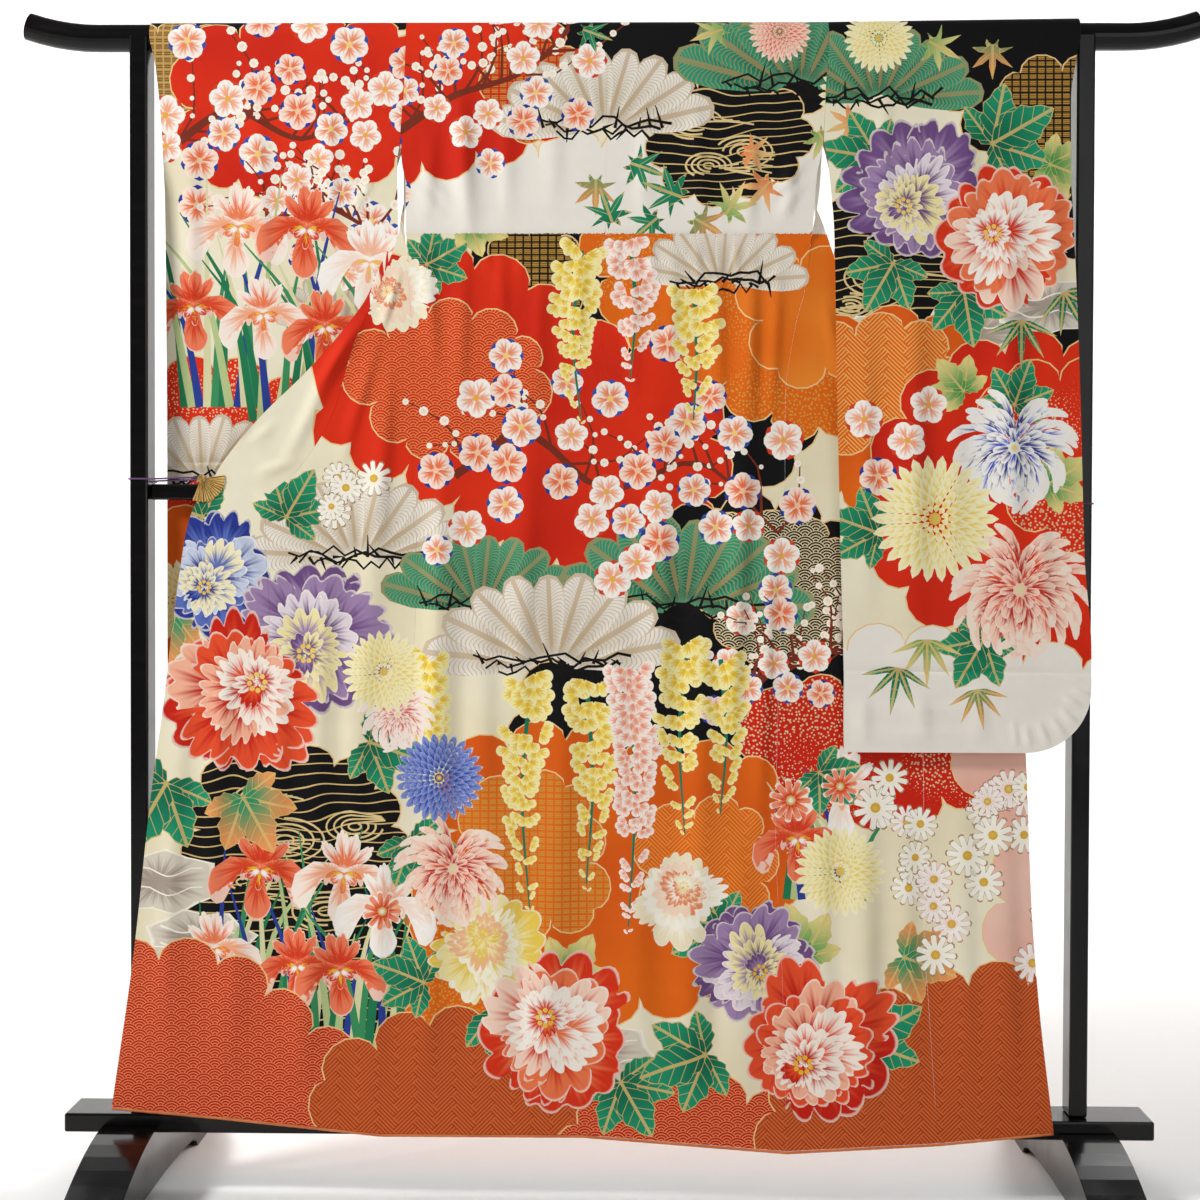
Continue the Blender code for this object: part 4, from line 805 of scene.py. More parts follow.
@dataclass
class DyedShell:
    """The mesh of one sheet, cut along the outlines of its dyed shapes.

    Attributes:
        sheet: The sheet.
        shapes: The print.
        ground: The undyed silk under it.
        grain: The spacing of the printed side's points.
        collar_grain: Their spacing on a band.
        lining_grain: Their spacing on the lining's side.
        rail_grain: Their spacing down the cloth where it bends over the rail.
        verts: The points.
        faces: The triangles.
        slots: Each triangle's material.
        inks: The first ink at each corner.
        seconds: The second ink there.
        spots: The place there in the shape's own frame.
    """

    sheet: Sheet
    shapes: Sequence[Shape]
    ground: Shape
    grain: float = 0.0065
    collar_grain: float = 0.0035
    lining_grain: float = 0.0082
    rail_grain: float = 0.0028
    verts: list = field(default_factory=list)
    faces: list = field(default_factory=list)
    slots: list = field(default_factory=list)
    inks: list = field(default_factory=list)
    seconds: list = field(default_factory=list)
    spots: list = field(default_factory=list)

    def outline(self) -> np.ndarray:
        """The piece's own outline, across in metres of cloth and down.

        Returns:
            The outline's points, as distances across and down the sheet.
        """
        top, foot = self.sheet.downs[0], self.sheet.downs[-1]
        width = self.sheet.width
        count = int((foot - top) / self.grain)
        across = int(width / self.grain)
        line = [(width * k / across, top) for k in range(across)]
        line += [(width, top + (foot - top) * k / count) for k in range(count)]
        line += [(width * (1 - k / across), foot) for k in range(across)]
        line += [(0.0, foot - (foot - top) * k / count) for k in range(count)]
        kept = []
        radius = SLEEVE_CORNER
        for u, v in line:
            beside = width - u if self.sheet.corner == "right" else u
            if self.sheet.corner and beside < radius and foot - v < radius:
                du, dv = radius - beside, radius - (foot - v)
                long = max(math.hypot(du, dv), 1e-9)
                if long > radius:
                    du, dv = du * radius / long, dv * radius / long
                beside = radius - du
                u = width - beside if self.sheet.corner == "right" else beside
                v = foot - (radius - dv)
            kept.append((u, v))
        return np.asarray(kept)

    def on_piece(self, shape: Shape) -> np.ndarray | None:
        """A shape's outline laid on the piece, or None where it misses it.

        Args:
            shape: A shape of the print.

        Returns:
            Its outline on this sheet, or None if it lies beside it.
        """
        if self.sheet.own_plan:
            return self.dense(shape.outline)
        x = shape.outline[:, 0] * (-1 if self.sheet.mirrored else 1)
        down = shape.outline[:, 1]
        low = np.minimum(self.sheet.left, self.sheet.right).min(axis=0)
        high = np.maximum(self.sheet.left, self.sheet.right).max(axis=0)
        if x.max() < low[0] or x.min() > high[0] or down.max() < low[1] or down.min() > high[1]:
            return None
        s, v = self.sheet.find(x, down)
        inside = (s > -0.01) & (s < 1.01) & (v > self.sheet.downs[0]) & (v < self.sheet.downs[-1])
        if not inside.any() and len(x) < 40:
            return None
        return self.dense(np.stack([s * self.sheet.width, v], axis=-1))

    def dense(self, loop: np.ndarray) -> np.ndarray:
        """A closed outline with no stretch on the piece longer than the grain, so that it bends with it.

        Args:
            loop: An outline.

        Returns:
            The outline with points close enough together to follow the cloth.
        """
        ahead = np.roll(loop, -1, axis=0)
        low, high = np.minimum(loop, ahead), np.maximum(loop, ahead)
        below, above = (0.0, self.sheet.downs[0]), (self.sheet.width, self.sheet.downs[-1])
        on = (high > below).all(axis=1) & (low < above).all(axis=1)
        counts = np.maximum(1, np.ceil(np.linalg.norm(ahead - loop, axis=1) / self.grain)).astype(int)
        counts[~on] = 1
        which = np.repeat(np.arange(len(loop)), counts)
        part = (np.arange(len(which)) - np.repeat(np.cumsum(counts) - counts, counts)) / counts[which]
        return loop[which] + (ahead - loop)[which] * part[:, None]

    def cut(self) -> None:
        """Cuts the printed side along its shapes and colours each face by the topmost one."""
        rim = self.outline()
        points = [rim]
        used: list[Shape] = [self.ground]
        for shape in self.shapes:
            laid = self.on_piece(shape)
            if laid is not None:
                points.append(laid)
                used.append(shape)
        lines, count = [], 0
        for loop in points:
            turns = range(count, count + len(loop))
            lines += zip(turns, [*turns[1:], turns[0]])
            count += len(loop)
        for row in self.pressed_rows(0.004):
            lines += zip(range(count, count + len(row) - 1), range(count + 1, count + len(row)))
            count += len(row)
            points.append(row)
        step = self.collar_grain if self.sheet.own_plan else self.grain
        flat = np.concatenate([*points, self.filling(step)])
        del points[len(used) :]
        out = delaunay_2d_cdt([Vector(p) for p in flat.tolist()], lines, [], 0, 2e-6, False)
        uv = np.array([tuple(v) for v in out[0]])
        faces = np.asarray(out[2])
        middles = uv[faces].mean(axis=1)
        faces = faces[self.inside(rim, middles)]
        middles = uv[faces].mean(axis=1)
        owners = np.zeros(len(faces), int)
        depth = self.sheet.flat_points(middles[:, 0] / self.sheet.width, middles[:, 1])[:, 1]
        for k, loop in enumerate(points):
            if k:
                low, high = loop.min(axis=0), loop.max(axis=0)
                top, foot = used[k].window
                near = ((middles > low) & (middles < high)).all(axis=1) & (depth > top) & (depth < foot)
                near = np.flatnonzero(near)
                owners[near[self.inside(loop, middles[near])]] = k
        self.add_side(uv, faces, owners, used, SHELL / 2, False)
        self.add_back(uv, faces, owners, used)

    @staticmethod
    def inside(loop: np.ndarray, spots: np.ndarray) -> np.ndarray:
        """Which spots a closed outline winds round.

        Args:
            loop: An outline.
            spots: Points of the plan.

        Returns:
            Which of the points are inside it.
        """
        winding = np.zeros(len(spots), int)
        for a, b in zip(loop, np.roll(loop, -1, axis=0)):
            side = (b[0] - a[0]) * (spots[:, 1] - a[1]) - (spots[:, 0] - a[0]) * (b[1] - a[1])
            up = (a[1] <= spots[:, 1]) & (b[1] > spots[:, 1]) & (side > 0)
            down = (a[1] > spots[:, 1]) & (b[1] <= spots[:, 1]) & (side < 0)
            winding += up.astype(int) - down.astype(int)
        return winding != 0

    def pressed_rows(self, step: float) -> list[np.ndarray]:
        """Points along each pressed crease or tuck, a step apart.

        Args:
            step: The spacing of the points along a crease.

        Returns:
            The rows' points.
        """
        ends = np.concatenate([self.sheet.left[:, 0], self.sheet.right[:, 0]])
        rows = []
        for down in self.sheet.pressed:
            x = np.arange(ends.min(), ends.max(), step)
            s, v = self.sheet.find(x, np.full_like(x, down))
            on = (s > 0.006) & (s < 0.994)
            rows.append(np.stack([s[on] * self.sheet.width, v[on]], axis=-1))
        return rows

    def filling(self, step: float) -> np.ndarray:
        """Points all over the piece, a step apart, so that it can bend.

        Args:
            step: The points' spacing.

        Returns:
            The points.
        """
        width, top, foot = self.sheet.width, self.sheet.downs[0], self.sheet.downs[-1]
        u, v = np.meshgrid(np.arange(step / 2, width, step), np.arange(top + step / 2, foot, step))
        u[1::2] += step * 0.31
        grid = np.stack([u.ravel(), v.ravel()], axis=-1)
        if not self.sheet.own_plan and top < 0.01:
            across = np.arange(step * 0.7, width, step)
            u, v = np.meshgrid(across, np.arange(top + 0.0014, top + 0.042, self.rail_grain))
            grid = np.concatenate([grid, np.stack([u.ravel(), v.ravel()], axis=-1)])
        if self.sheet.corner and step == self.grain:
            fine = step / 2
            u, v = np.meshgrid(np.arange(fine, width, fine), np.arange(foot - 0.105, foot, fine))
            grid = np.concatenate([grid, np.stack([u.ravel(), v.ravel()], axis=-1)])
        return grid[grid[:, 0] < width - step * 0.2]

    def add_side(
        self,
        uv: np.ndarray,
        faces: np.ndarray,
        owners: np.ndarray,
        used: Sequence[Shape],
        out: float,
        inner: bool,
    ) -> None:
        """Adds one side's faces, with the inks of their shapes.

        Args:
            uv: Places on the piece.
            faces: Triangles of them.
            owners: Which shape each triangle shows.
            used: The shapes.
            out: How far the side stands out from the cloth's middle surface.
            inner: Whether it is the lining's side.
        """
        s = uv[:, 0] / self.sheet.width
        base = len(self.verts)
        self.verts += self.sheet.points(s, uv[:, 1], out).tolist()
        flipped = (self.sheet.outward() > 0) == inner
        self.faces += ((faces[:, ::-1] if flipped else faces) + base).tolist()
        self.dress(uv, faces, owners, used, flipped)

    def dress(
        self, uv: np.ndarray, faces: np.ndarray, owners: np.ndarray, used: Sequence[Shape], flipped: bool
    ) -> None:
        """Gives faces the drawings and inks of their shapes.

        Args:
            uv: Places on the piece.
            faces: Triangles of them.
            owners: Which shape each triangle shows.
            used: The shapes.
            flipped: Whether the triangles were turned over.
        """
        plan = uv if self.sheet.own_plan else self.sheet.flat_points(uv[:, 0] / self.sheet.width, uv[:, 1])
        x = plan[:, 0] * (-1 if self.sheet.mirrored and not self.sheet.own_plan else 1)
        first = np.zeros((len(faces), 3, 4))
        second = np.zeros((len(faces), 3, 4))
        spot = np.zeros((len(faces), 3, 3))
        slot = np.zeros(len(faces), int)
        order = np.argsort(owners, kind="stable")
        starts = np.flatnonzero(np.diff(owners[order], prepend=-1))
        for a, b in zip(starts, [*starts[1:], len(order)]):
            shape = used[owners[order[a]]]
            mine = order[a:b]
            corners = faces[mine].ravel()
            spot[mine] = shape.local(x[corners], plan[corners, 1]).reshape(-1, 3, 3)
            first[mine] = (*shape.first, 1.0)
            second[mine] = (*shape.second, 1.0)
            slot[mine] = list(Drawing).index(shape.drawing)
        if flipped:
            first, second, spot = first[:, ::-1], second[:, ::-1], spot[:, ::-1]
        self.slots += slot.tolist()
        self.inks.append(first.reshape(-1, 4))
        self.seconds.append(second.reshape(-1, 4))
        self.spots.append(spot.reshape(-1, 3))

    def add_back(self, uv: np.ndarray, faces: np.ndarray, owners: np.ndarray, used: Sequence[Shape]) -> None:
        """Adds the lining's side, and the rim that joins it to the printed side and keeps its print.

        Args:
            uv: Places on the piece.
            faces: The printed side's triangles of them.
            owners: Which shape each triangle shows.
            used: The shapes.
        """
        ring = self.ring_of(faces)
        rim = uv[ring]
        filling = self.filling(self.collar_grain if self.sheet.own_plan else self.lining_grain)
        flat = np.concatenate([rim, filling, *self.pressed_rows(0.005)])
        out = delaunay_2d_cdt([Vector(p) for p in flat.tolist()], [], [list(range(len(rim)))], 0, 2e-6, True)
        back = np.array([tuple(v) for v in out[0]])
        kept = np.asarray([f for f, owners in zip(out[2], out[5]) if owners])
        match = {}
        for k, sources in enumerate(out[3]):
            for source in sources:
                if source < len(rim):
                    match[source] = k
        top, foot = (linear(code) for code in self.sheet.lining)
        lining = Shape(np.zeros((0, 2)), Drawing.LINING, top, foot)
        base = len(self.verts)
        self.add_side(back, kept, np.zeros(len(kept), int), [lining], -SHELL / 2, True)
        beside = {}
        for a, b in ((0, 1), (1, 2), (2, 0)):
            beside.update(zip(zip(faces[:, a].tolist(), faces[:, b].tolist()), owners.tolist()))
        rows, places, shown = [], [], []
        for k in range(len(ring)):
            m = (k + 1) % len(ring)
            if k in match and m in match:
                rows += [(ring[k], ring[m], base + match[m]), (ring[k], base + match[m], base + match[k])]
                places += [(ring[k], ring[m], ring[m]), (ring[k], ring[m], ring[k])]
                shown += [beside[ring[k], ring[m]]] * 2
        flipped = self.sheet.outward() > 0
        strip = np.asarray(rows)
        self.faces += (strip[:, ::-1] if flipped else strip).tolist()
        self.dress(uv, np.asarray(places), np.asarray(shown), used, flipped)

    @staticmethod
    def ring_of(faces: np.ndarray) -> list[int]:
        """The points round the edge of these triangles, in order.

        Args:
            faces: One side's triangles.

        Returns:
            The corners round its rim, in order.
        """
        sides = np.concatenate([faces[:, [0, 1]], faces[:, [1, 2]], faces[:, [2, 0]]])
        taken = {(int(a), int(b)) for a, b in sides}
        after = {a: b for a, b in taken if (b, a) not in taken}
        start = next(iter(after))
        ring = [start]
        while after[ring[-1]] != start:
            ring.append(after[ring[-1]])
        return ring

    def build(self, materials: Sequence[bpy.types.Material]) -> bpy.types.Object:
        """Makes the object.

        Args:
            materials: One for each drawing, in the order of Drawing.

        Returns:
            The finished piece.
        """
        self.cut()
        mesh = bpy.data.meshes.new(f"{self.sheet.name}_silk")
        mesh.from_pydata(self.verts, [], self.faces)
        for material in materials:
            mesh.materials.append(material)
        mesh.polygons.foreach_set("material_index", self.slots)
        for name, kind, key, parts in (
            (INK, "FLOAT_COLOR", "color", self.inks),
            (SECOND_INK, "FLOAT_COLOR", "color", self.seconds),
            (SPOT, "FLOAT_VECTOR", "vector", self.spots),
        ):
            layer = mesh.attributes.new(name, kind, "CORNER")
            layer.data.foreach_set(key, np.concatenate(parts).astype(np.float32).ravel())
        mesh.shade_smooth()
        mesh.set_sharp_from_angle(angle=math.radians(50))
        made = bpy.data.objects.new(f"{self.sheet.name}_silk", mesh)
        bpy.context.scene.collection.objects.link(made)
        return made


class Flower(Enum):
    """The plants and patterns that the print is made of."""

    PLUM = "plum"
    PEONY = "peony"
    CHRYSANTHEMUM = "chrysanthemum"
    RAYED = "rayed"
    DAISY = "daisy"
    IRIS = "iris"
    WISTERIA = "wisteria"
    PINE = "pine"
    MAPLE = "maple"
    LEAVES = "leaves"
    BAMBOO = "bamboo"
    SWIRL = "swirl"
    ROCK = "rock"


class Bloom(NamedTuple):
    """Where one plant of the print stands, in centimetres, with its size, its turn and its inks."""

    x: float
    d: float
    r: float
    turn: float
    inks: tuple[str, ...]


def ring(count: int, reach: Sequence[float] | float = 1.0, start: float = 0.0) -> np.ndarray:
    """A closed outline about the middle, whose reach follows a repeating list.

    Args:
        count: The number of points.
        reach: How far out each is, taken in turn.
        start: The first one's angle.

    Returns:
        The points, round the origin.
    """
    turns = start + np.arange(count) * 2 * math.pi / count
    reaches = np.resize(np.asarray(reach, float), count)
    return np.stack([np.cos(turns) * reaches, np.sin(turns) * reaches], axis=-1)


def turned(points: np.ndarray, angle: float) -> np.ndarray:
    """Points turned about the middle."""
    c, s = math.cos(angle), math.sin(angle)
    return points @ np.array([[c, s], [-s, c]])


# Outlines of unit length: a pointed petal, and one side of a notched leaf
POINTED = np.array([(0.45, 0.0), (0.72, 0.11), (0.90, 0.08), (1.0, 0.0), (0.90, -0.08), (0.72, -0.11)])
NOTCHED = np.array([
    (0.0, 0.03), (0.14, 0.20), (0.24, 0.19), (0.38, 0.30), (0.48, 0.25), (0.62, 0.28), (0.72, 0.19),
    (0.86, 0.14), (1.0, 0.0),
])
STAMENS = ("EDBB36", "F6DE8A")
BARK = "7A2E1C"


@dataclass
class Print:
    """The dyed design, as shapes in the order that they are laid down. Its methods take centimetres."""

    shapes: list[Shape] = field(default_factory=list)
    chance: np.random.Generator = field(default_factory=lambda: np.random.default_rng(51))
    window: tuple[float, float] = (0.0, BELOW_ALL)

    def lay(
        self,
        points: np.ndarray,
        drawing: Drawing,
        first: str,
        second: str = "",
        middle: tuple[float, float] | None = None,
        turn: float = 0.0,
    ) -> None:
        """Lays down one shape.

        Args:
            points: Its outline.
            drawing: Its fine lines.
            first: Its colour at the middle.
            second: Its colour at the rim, or none for the same.
            middle: Its middle, for a drawing that starts there.
            turn: The turn of its own frame.
        """
        near = (middle[0] / 100, middle[1] / 100) if middle else None
        inks = (linear(first), linear(second or first))
        self.shapes.append(Shape(np.asarray(points) / 100, drawing, *inks, near, turn, self.window))

    def petal(
        self,
        x: float,
        d: float,
        angle: float,
        start: float,
        long: float,
        wide: float,
        inks: tuple[str, str],
        teeth: float = 0.0,
    ) -> None:
        """One broad petal that grows from (x, d) at an angle, with a smooth or a toothed rim.

        Args:
            x: The flower's middle, across, in centimetres.
            d: The same, down.
            angle: The way the petal points.
            start: Where it starts, from the middle.
            long: Where it ends.
            wide: Its width.
            inks: The two inks.
            teeth: How deep the notches at its tip are.
        """
        t = np.linspace(-1, 1, 25 if teeth else 9)
        lobes = self.chance.integers(3, 6) if teeth else 3
        notch = np.abs(np.cos(lobes * math.pi / 2 * (t + self.chance.uniform(-0.1, 0.1)))) ** 0.55 - 1
        reach = start + (long - start) * (0.62 + 0.38 * np.cos(t * 1.5)) * (1 + teeth * notch)
        outer = np.stack([reach, wide * np.sin(t * 1.35) * (1 + teeth * 0.4 * notch)], axis=-1)
        foot = np.array([[start, wide * 0.30], [start, -wide * 0.30]])
        way = np.array([math.cos(angle), math.sin(angle)])
        shape = turned(np.concatenate([outer, foot]), angle) + (x, d)
        base = way * (start + 0.22 * (long - start)) + (x, d)
        self.lay(shape, Drawing.PETAL, inks[0], inks[1], tuple(base), angle)

    def tongue(
        self,
        x: float,
        d: float,
        angle: float,
        start: float,
        long: float,
        wide: float,
        bend: float,
        inks: tuple[str, str],
    ) -> None:
        """One narrow petal that bends aside towards its rounded tip.

        Args:
            x: The flower's middle, across, in centimetres.
            d: The same, down.
            angle: The way the petal points.
            start: Where it starts, from the middle.
            long: Where it ends.
            wide: Its width.
            bend: How far it curls aside.
            inks: The two inks.
        """
        t = np.array([0.0, 0.25, 0.5, 0.75, 0.87, 0.95, 1.0])
        way = angle + bend * t**2.2
        reach = start + (long - start) * t
        line = np.stack([np.cos(way) * reach, np.sin(way) * reach], axis=-1) + (x, d)
        ahead = np.gradient(line, axis=0)
        ahead /= np.linalg.norm(ahead, axis=1, keepdims=True)
        side = np.stack([-ahead[:, 1], ahead[:, 0]], axis=-1)
        round_end = np.sqrt(np.clip(1 - ((t - 0.75) / 0.26) ** 2, 0, 1))
        half = wide / 2 * np.where(t < 0.75, 0.34 + 0.88 * t, round_end)[:, None]
        outline = np.concatenate([line + side * half, (line - side * half)[::-1]])
        self.lay(outline, Drawing.PETAL, inks[0], inks[1], tuple(line[1]), angle)

    def disc(
        self,
        x: float,
        d: float,
        r: float,
        inks: tuple[str, str],
        drawing: Drawing = Drawing.PETAL,
        n: int = 10,
    ) -> None:
        """A round dot or round petal."""
        self.lay(ring(n) * r + (x, d), drawing, inks[0], inks[1], (x, d))

    def band(
        self, path: Sequence[tuple[float, float]], start: float, end: float, ink: str, second: str = ""
    ) -> None:
        """A line along a path that narrows from one width to another: a stem, blade or branch.

        Args:
            path: The points along its middle, in centimetres.
            start: Its width at the first point.
            end: Its width at the last one.
            ink: Its ink.
            second: The second ink, the same if it is empty.
        """
        line = np.asarray(path, float)
        ahead = np.gradient(line, axis=0)
        ahead /= np.maximum(np.linalg.norm(ahead, axis=1, keepdims=True), 1e-9)
        side = np.stack([-ahead[:, 1], ahead[:, 0]], axis=-1)
        half = np.linspace(start, end, len(line))[:, None] / 2
        outline = np.concatenate([line + side * half, (line - side * half)[::-1]])
        self.lay(outline, Drawing.PLAIN, ink, second)

    def curve(self, points: Sequence[tuple[float, float]], count: int = 14) -> list[tuple[float, float]]:
        """A smooth path through a few points.

        Args:
            points: The points that it passes.
            count: How many points to make.

        Returns:
            The curve's points.
        """
        known = np.asarray(points, float)
        places = np.arange(len(known), dtype=float)
        wanted = np.linspace(0, len(known) - 1, count)
        return list(zip(*(smooth_curve(places, known[:, k], wanted) for k in (0, 1))))

    def bank(
        self,
        points: Sequence[tuple[float, float]],
        drawing: Drawing,
        ink: str,
        second: str = "",
        lobe: float = 4.0,
    ) -> None:
        """A bank of cloud with a scalloped rim and a thin pale edge, round a closed path of points.

        Args:
            points: The outline's rough corners, in centimetres.
            drawing: The lines inside it.
            ink: Its ink.
            second: The second ink.
            lobe: The width of one lobe.
        """
        known = np.asarray([*points, points[0]], float)
        legs = np.linalg.norm(np.diff(known, axis=0), axis=1)
        total = legs.sum()
        count = max(6, int(total / (lobe * 1.75)))
        places = np.concatenate([[0], np.cumsum(legs)])
        knots = np.linspace(0, total, count + 1)
        corners = np.stack([np.interp(knots, places, known[:, k]) for k in (0, 1)], axis=-1)
        area = np.sum(known[:-1, 0] * known[1:, 1] - known[1:, 0] * known[:-1, 1])
        outward = 1.0 if area > 0 else -1.0
        for grow, paint in ((0.22, (Drawing.PLAIN, "EFC98C", "")), (0.0, (drawing, ink, second))):
            outline = []
            for a, b in zip(corners, corners[1:]):
                half = (b - a) / 2
                out = np.array([half[1], -half[0]]) * outward
                size = 1 + grow / np.linalg.norm(half)
                for turn in np.linspace(0, math.pi, 8)[:-1]:
                    outline.append((a + b) / 2 + (out * math.sin(turn) * 0.85 - half * math.cos(turn)) * size)
            self.lay(np.asarray(outline), *paint)

    def plum(self, at: Bloom) -> None:
        """A five-petalled plum blossom with its sepals behind.

        Args:
            at: Its place, size, turn and inks.
        """
        x, d, r, turn, inks = at
        for k in range(5):
            a = turn + (k + 0.5) * math.tau / 5
            px, pd = x + math.cos(a) * r * 0.66, d + math.sin(a) * r * 0.66
            self.disc(px, pd, r * 0.36, (inks[2], inks[2]), Drawing.PLAIN, 8)
        for k in range(5):
            a = turn + k * math.tau / 5
            px, pd = x + math.cos(a) * r * 0.55, d + math.sin(a) * r * 0.55
            middle = (x + math.cos(a) * r * 0.20, d + math.sin(a) * r * 0.20)
            self.lay(ring(11) * r * 0.47 + (px, pd), Drawing.PETAL, inks[0], inks[1], middle, a)
        self.disc(x, d, r * 0.17, (inks[3], inks[3]), Drawing.PLAIN, 7)

    def peony(self, at: Bloom) -> None:
        """A full peony: rings of broad toothed petals about pale crumpled ones and gold stamens.

        Args:
            at: Its place, size, turn and inks.
        """
        x, d, r, turn, inks = at
        rings = (
            (6, 0.10, 1.00, 0.60), (6, 0.06, 0.84, 0.50), (6, 0.04, 0.66, 0.38), (5, 0.02, 0.48, 0.28),
            (5, 0.0, 0.31, 0.17),
        )
        pairs = [(inks[a], inks[b]) for a, b in ((1, 0), (0, 1), (0, 2), (1, 3), (0, 3))]
        lean = self.chance.uniform(0, math.tau)
        for level, (count, start, long, wide) in enumerate(rings):
            px, pd = x + math.cos(lean) * r * 0.075 * level, d + math.sin(lean) * r * 0.075 * level
            for k in range(count):
                a = turn + (k + 0.5 * (level % 2)) * math.tau / count + self.chance.uniform(-0.30, 0.30)
                reach = r * long * self.chance.uniform(0.74, 1.16)
                broad = r * wide * self.chance.uniform(0.62, 1.12)
                pair = pairs[(level + (self.chance.uniform() < 0.3)) % 5]
                teeth = self.chance.uniform(0.18, 0.34) + 0.03 * level
                self.petal(px, pd, a, r * start, reach, broad, pair, teeth)
        x, d = x + math.cos(lean) * r * 0.30, d + math.sin(lean) * r * 0.30
        for k in range(8):
            a = turn + k * math.tau / 8
            px, pd = x + math.cos(a) * r * 0.09, d + math.sin(a) * r * 0.09
            self.disc(px, pd, r * 0.032, STAMENS, Drawing.PLAIN, 6)

    def chrysanthemum(self, at: Bloom) -> None:
        """A full chrysanthemum of narrow hooked petals in rings, deep at their feet and pale at their tips.

        Args:
            at: Its place, size, turn and inks.
        """
        x, d, r, turn, inks = at
        rings = (
            (23, 0.26, 1.0, 0.145), (20, 0.20, 0.84, 0.14), (16, 0.14, 0.67, 0.13), (12, 0.08, 0.49, 0.12),
            (8, 0.02, 0.31, 0.11),
        )
        for level, (count, start, long, wide) in enumerate(rings):
            for k in range(count):
                a = turn + (k + 0.5 * (level % 2)) * math.tau / count + self.chance.uniform(-0.05, 0.05)
                side = 0.52 if math.cos(a) > 0 else -0.52
                bend = side * (1.15 - 0.15 * level) * self.chance.uniform(0.4, 1.2)
                reach = r * long * self.chance.uniform(0.90, 1.06)
                pair = (inks[2], inks[1]) if (k + level) % 3 else (inks[0], inks[1])
                self.tongue(x, d, a, r * start, reach, r * wide, bend, pair)
        self.disc(x, d, r * 0.10, (inks[3], inks[1]), n=9)

    def rayed(self, at: Bloom) -> None:
        """A double chrysanthemum of straight pointed petals, six rings deep.

        Args:
            at: Its place, size, turn and inks.
        """
        x, d, r, turn, inks = at
        for level in range(6):
            count, long = 26 - 3 * level, 1.0 - 0.155 * level
            for k in range(count):
                a = turn + (k + 0.5 * (level % 2)) * math.tau / count
                point = POINTED * (1.0, 22 / count)
                shape = turned(point * r * long, a) + (x, d)
                base = (x + math.cos(a) * r * long * 0.6, d + math.sin(a) * r * long * 0.6)
                self.lay(shape, Drawing.PETAL, inks[0], inks[1], base, a)
        self.disc(x, d, r * 0.10, (inks[3], inks[2]), n=8)

    def daisy(self, at: Bloom) -> None:
        """A small open daisy with an inked outline.

        Args:
            at: Its place, size, turn and inks.
        """
        x, d, r, turn, inks = at
        self.lay(ring(44, (1.0, 0.95, 0.50, 0.95), turn) * r * 1.06 + (x, d), Drawing.PLAIN, inks[2])
        face = ring(44, (1.0, 0.95, 0.46, 0.95), turn) * r * 0.98 + (x, d)
        self.lay(face, Drawing.PETAL, inks[0], inks[1], (x, d), turn)
        self.disc(x, d, r * 0.24, (inks[3], "D9A93E"), n=8)

    def iris(self, at: Bloom) -> None:
        """An iris: three standing petals, three falls that open wide, and pale tongues between them.

        Args:
            at: Its place, size, turn and inks.
        """
        x, d, r, turn, inks = at
        standing = ((-2.25, 0.95, 0.15), (-0.85, 0.95, 0.15), (-1.72, 1.05, 0.19), (-1.36, 1.0, 0.19))
        falls = ((3.45, 1.25, 0.62, -1.05), (-0.30, 1.25, 0.62, 1.05), (1.75, 1.15, 0.66, -0.3))
        for angle, long, wide in standing:
            self.petal(x, d, angle + turn, 0.05 * r, r * long, r * wide, (inks[0], inks[1]), 0.10)
        for angle, long, wide, bend in falls:
            self.tongue(x, d, angle + turn * 0.5, 0.0, r * long, r * wide, bend, (inks[2], inks[1]))
        for angle, bend in ((3.35, -0.8), (-0.20, 0.8), (1.62, 0.0)):
            self.tongue(x, d, angle + turn * 0.5, 0.0, r * 0.50, r * 0.16, bend, ("F3C33E", inks[0]))
        for angle in (2.5, 0.65):
            self.petal(x, d, angle + turn, 0.0, r * 0.40, r * 0.11, ("FDF8EE", inks[0]), 0.08)

    def blades(self, at: Bloom) -> None:
        """A tuft of long narrow leaves.

        Args:
            at: Its place, size, turn and inks.
        """
        x, d, r, turn, inks = at
        for k in range(11):
            lean = turn + self.chance.uniform(-0.45, 0.45)
            long = r * self.chance.uniform(0.7, 1.15)
            root = x + (k - 5) * 1.1
            top = (root + math.sin(lean) * long, d - math.cos(lean) * long)
            bend = (root + math.sin(lean) * long * 0.30, d - long * 0.55)
            self.band(self.curve([(root, d), bend, top], 9), 1.3, 0.15, inks[k % len(inks)])

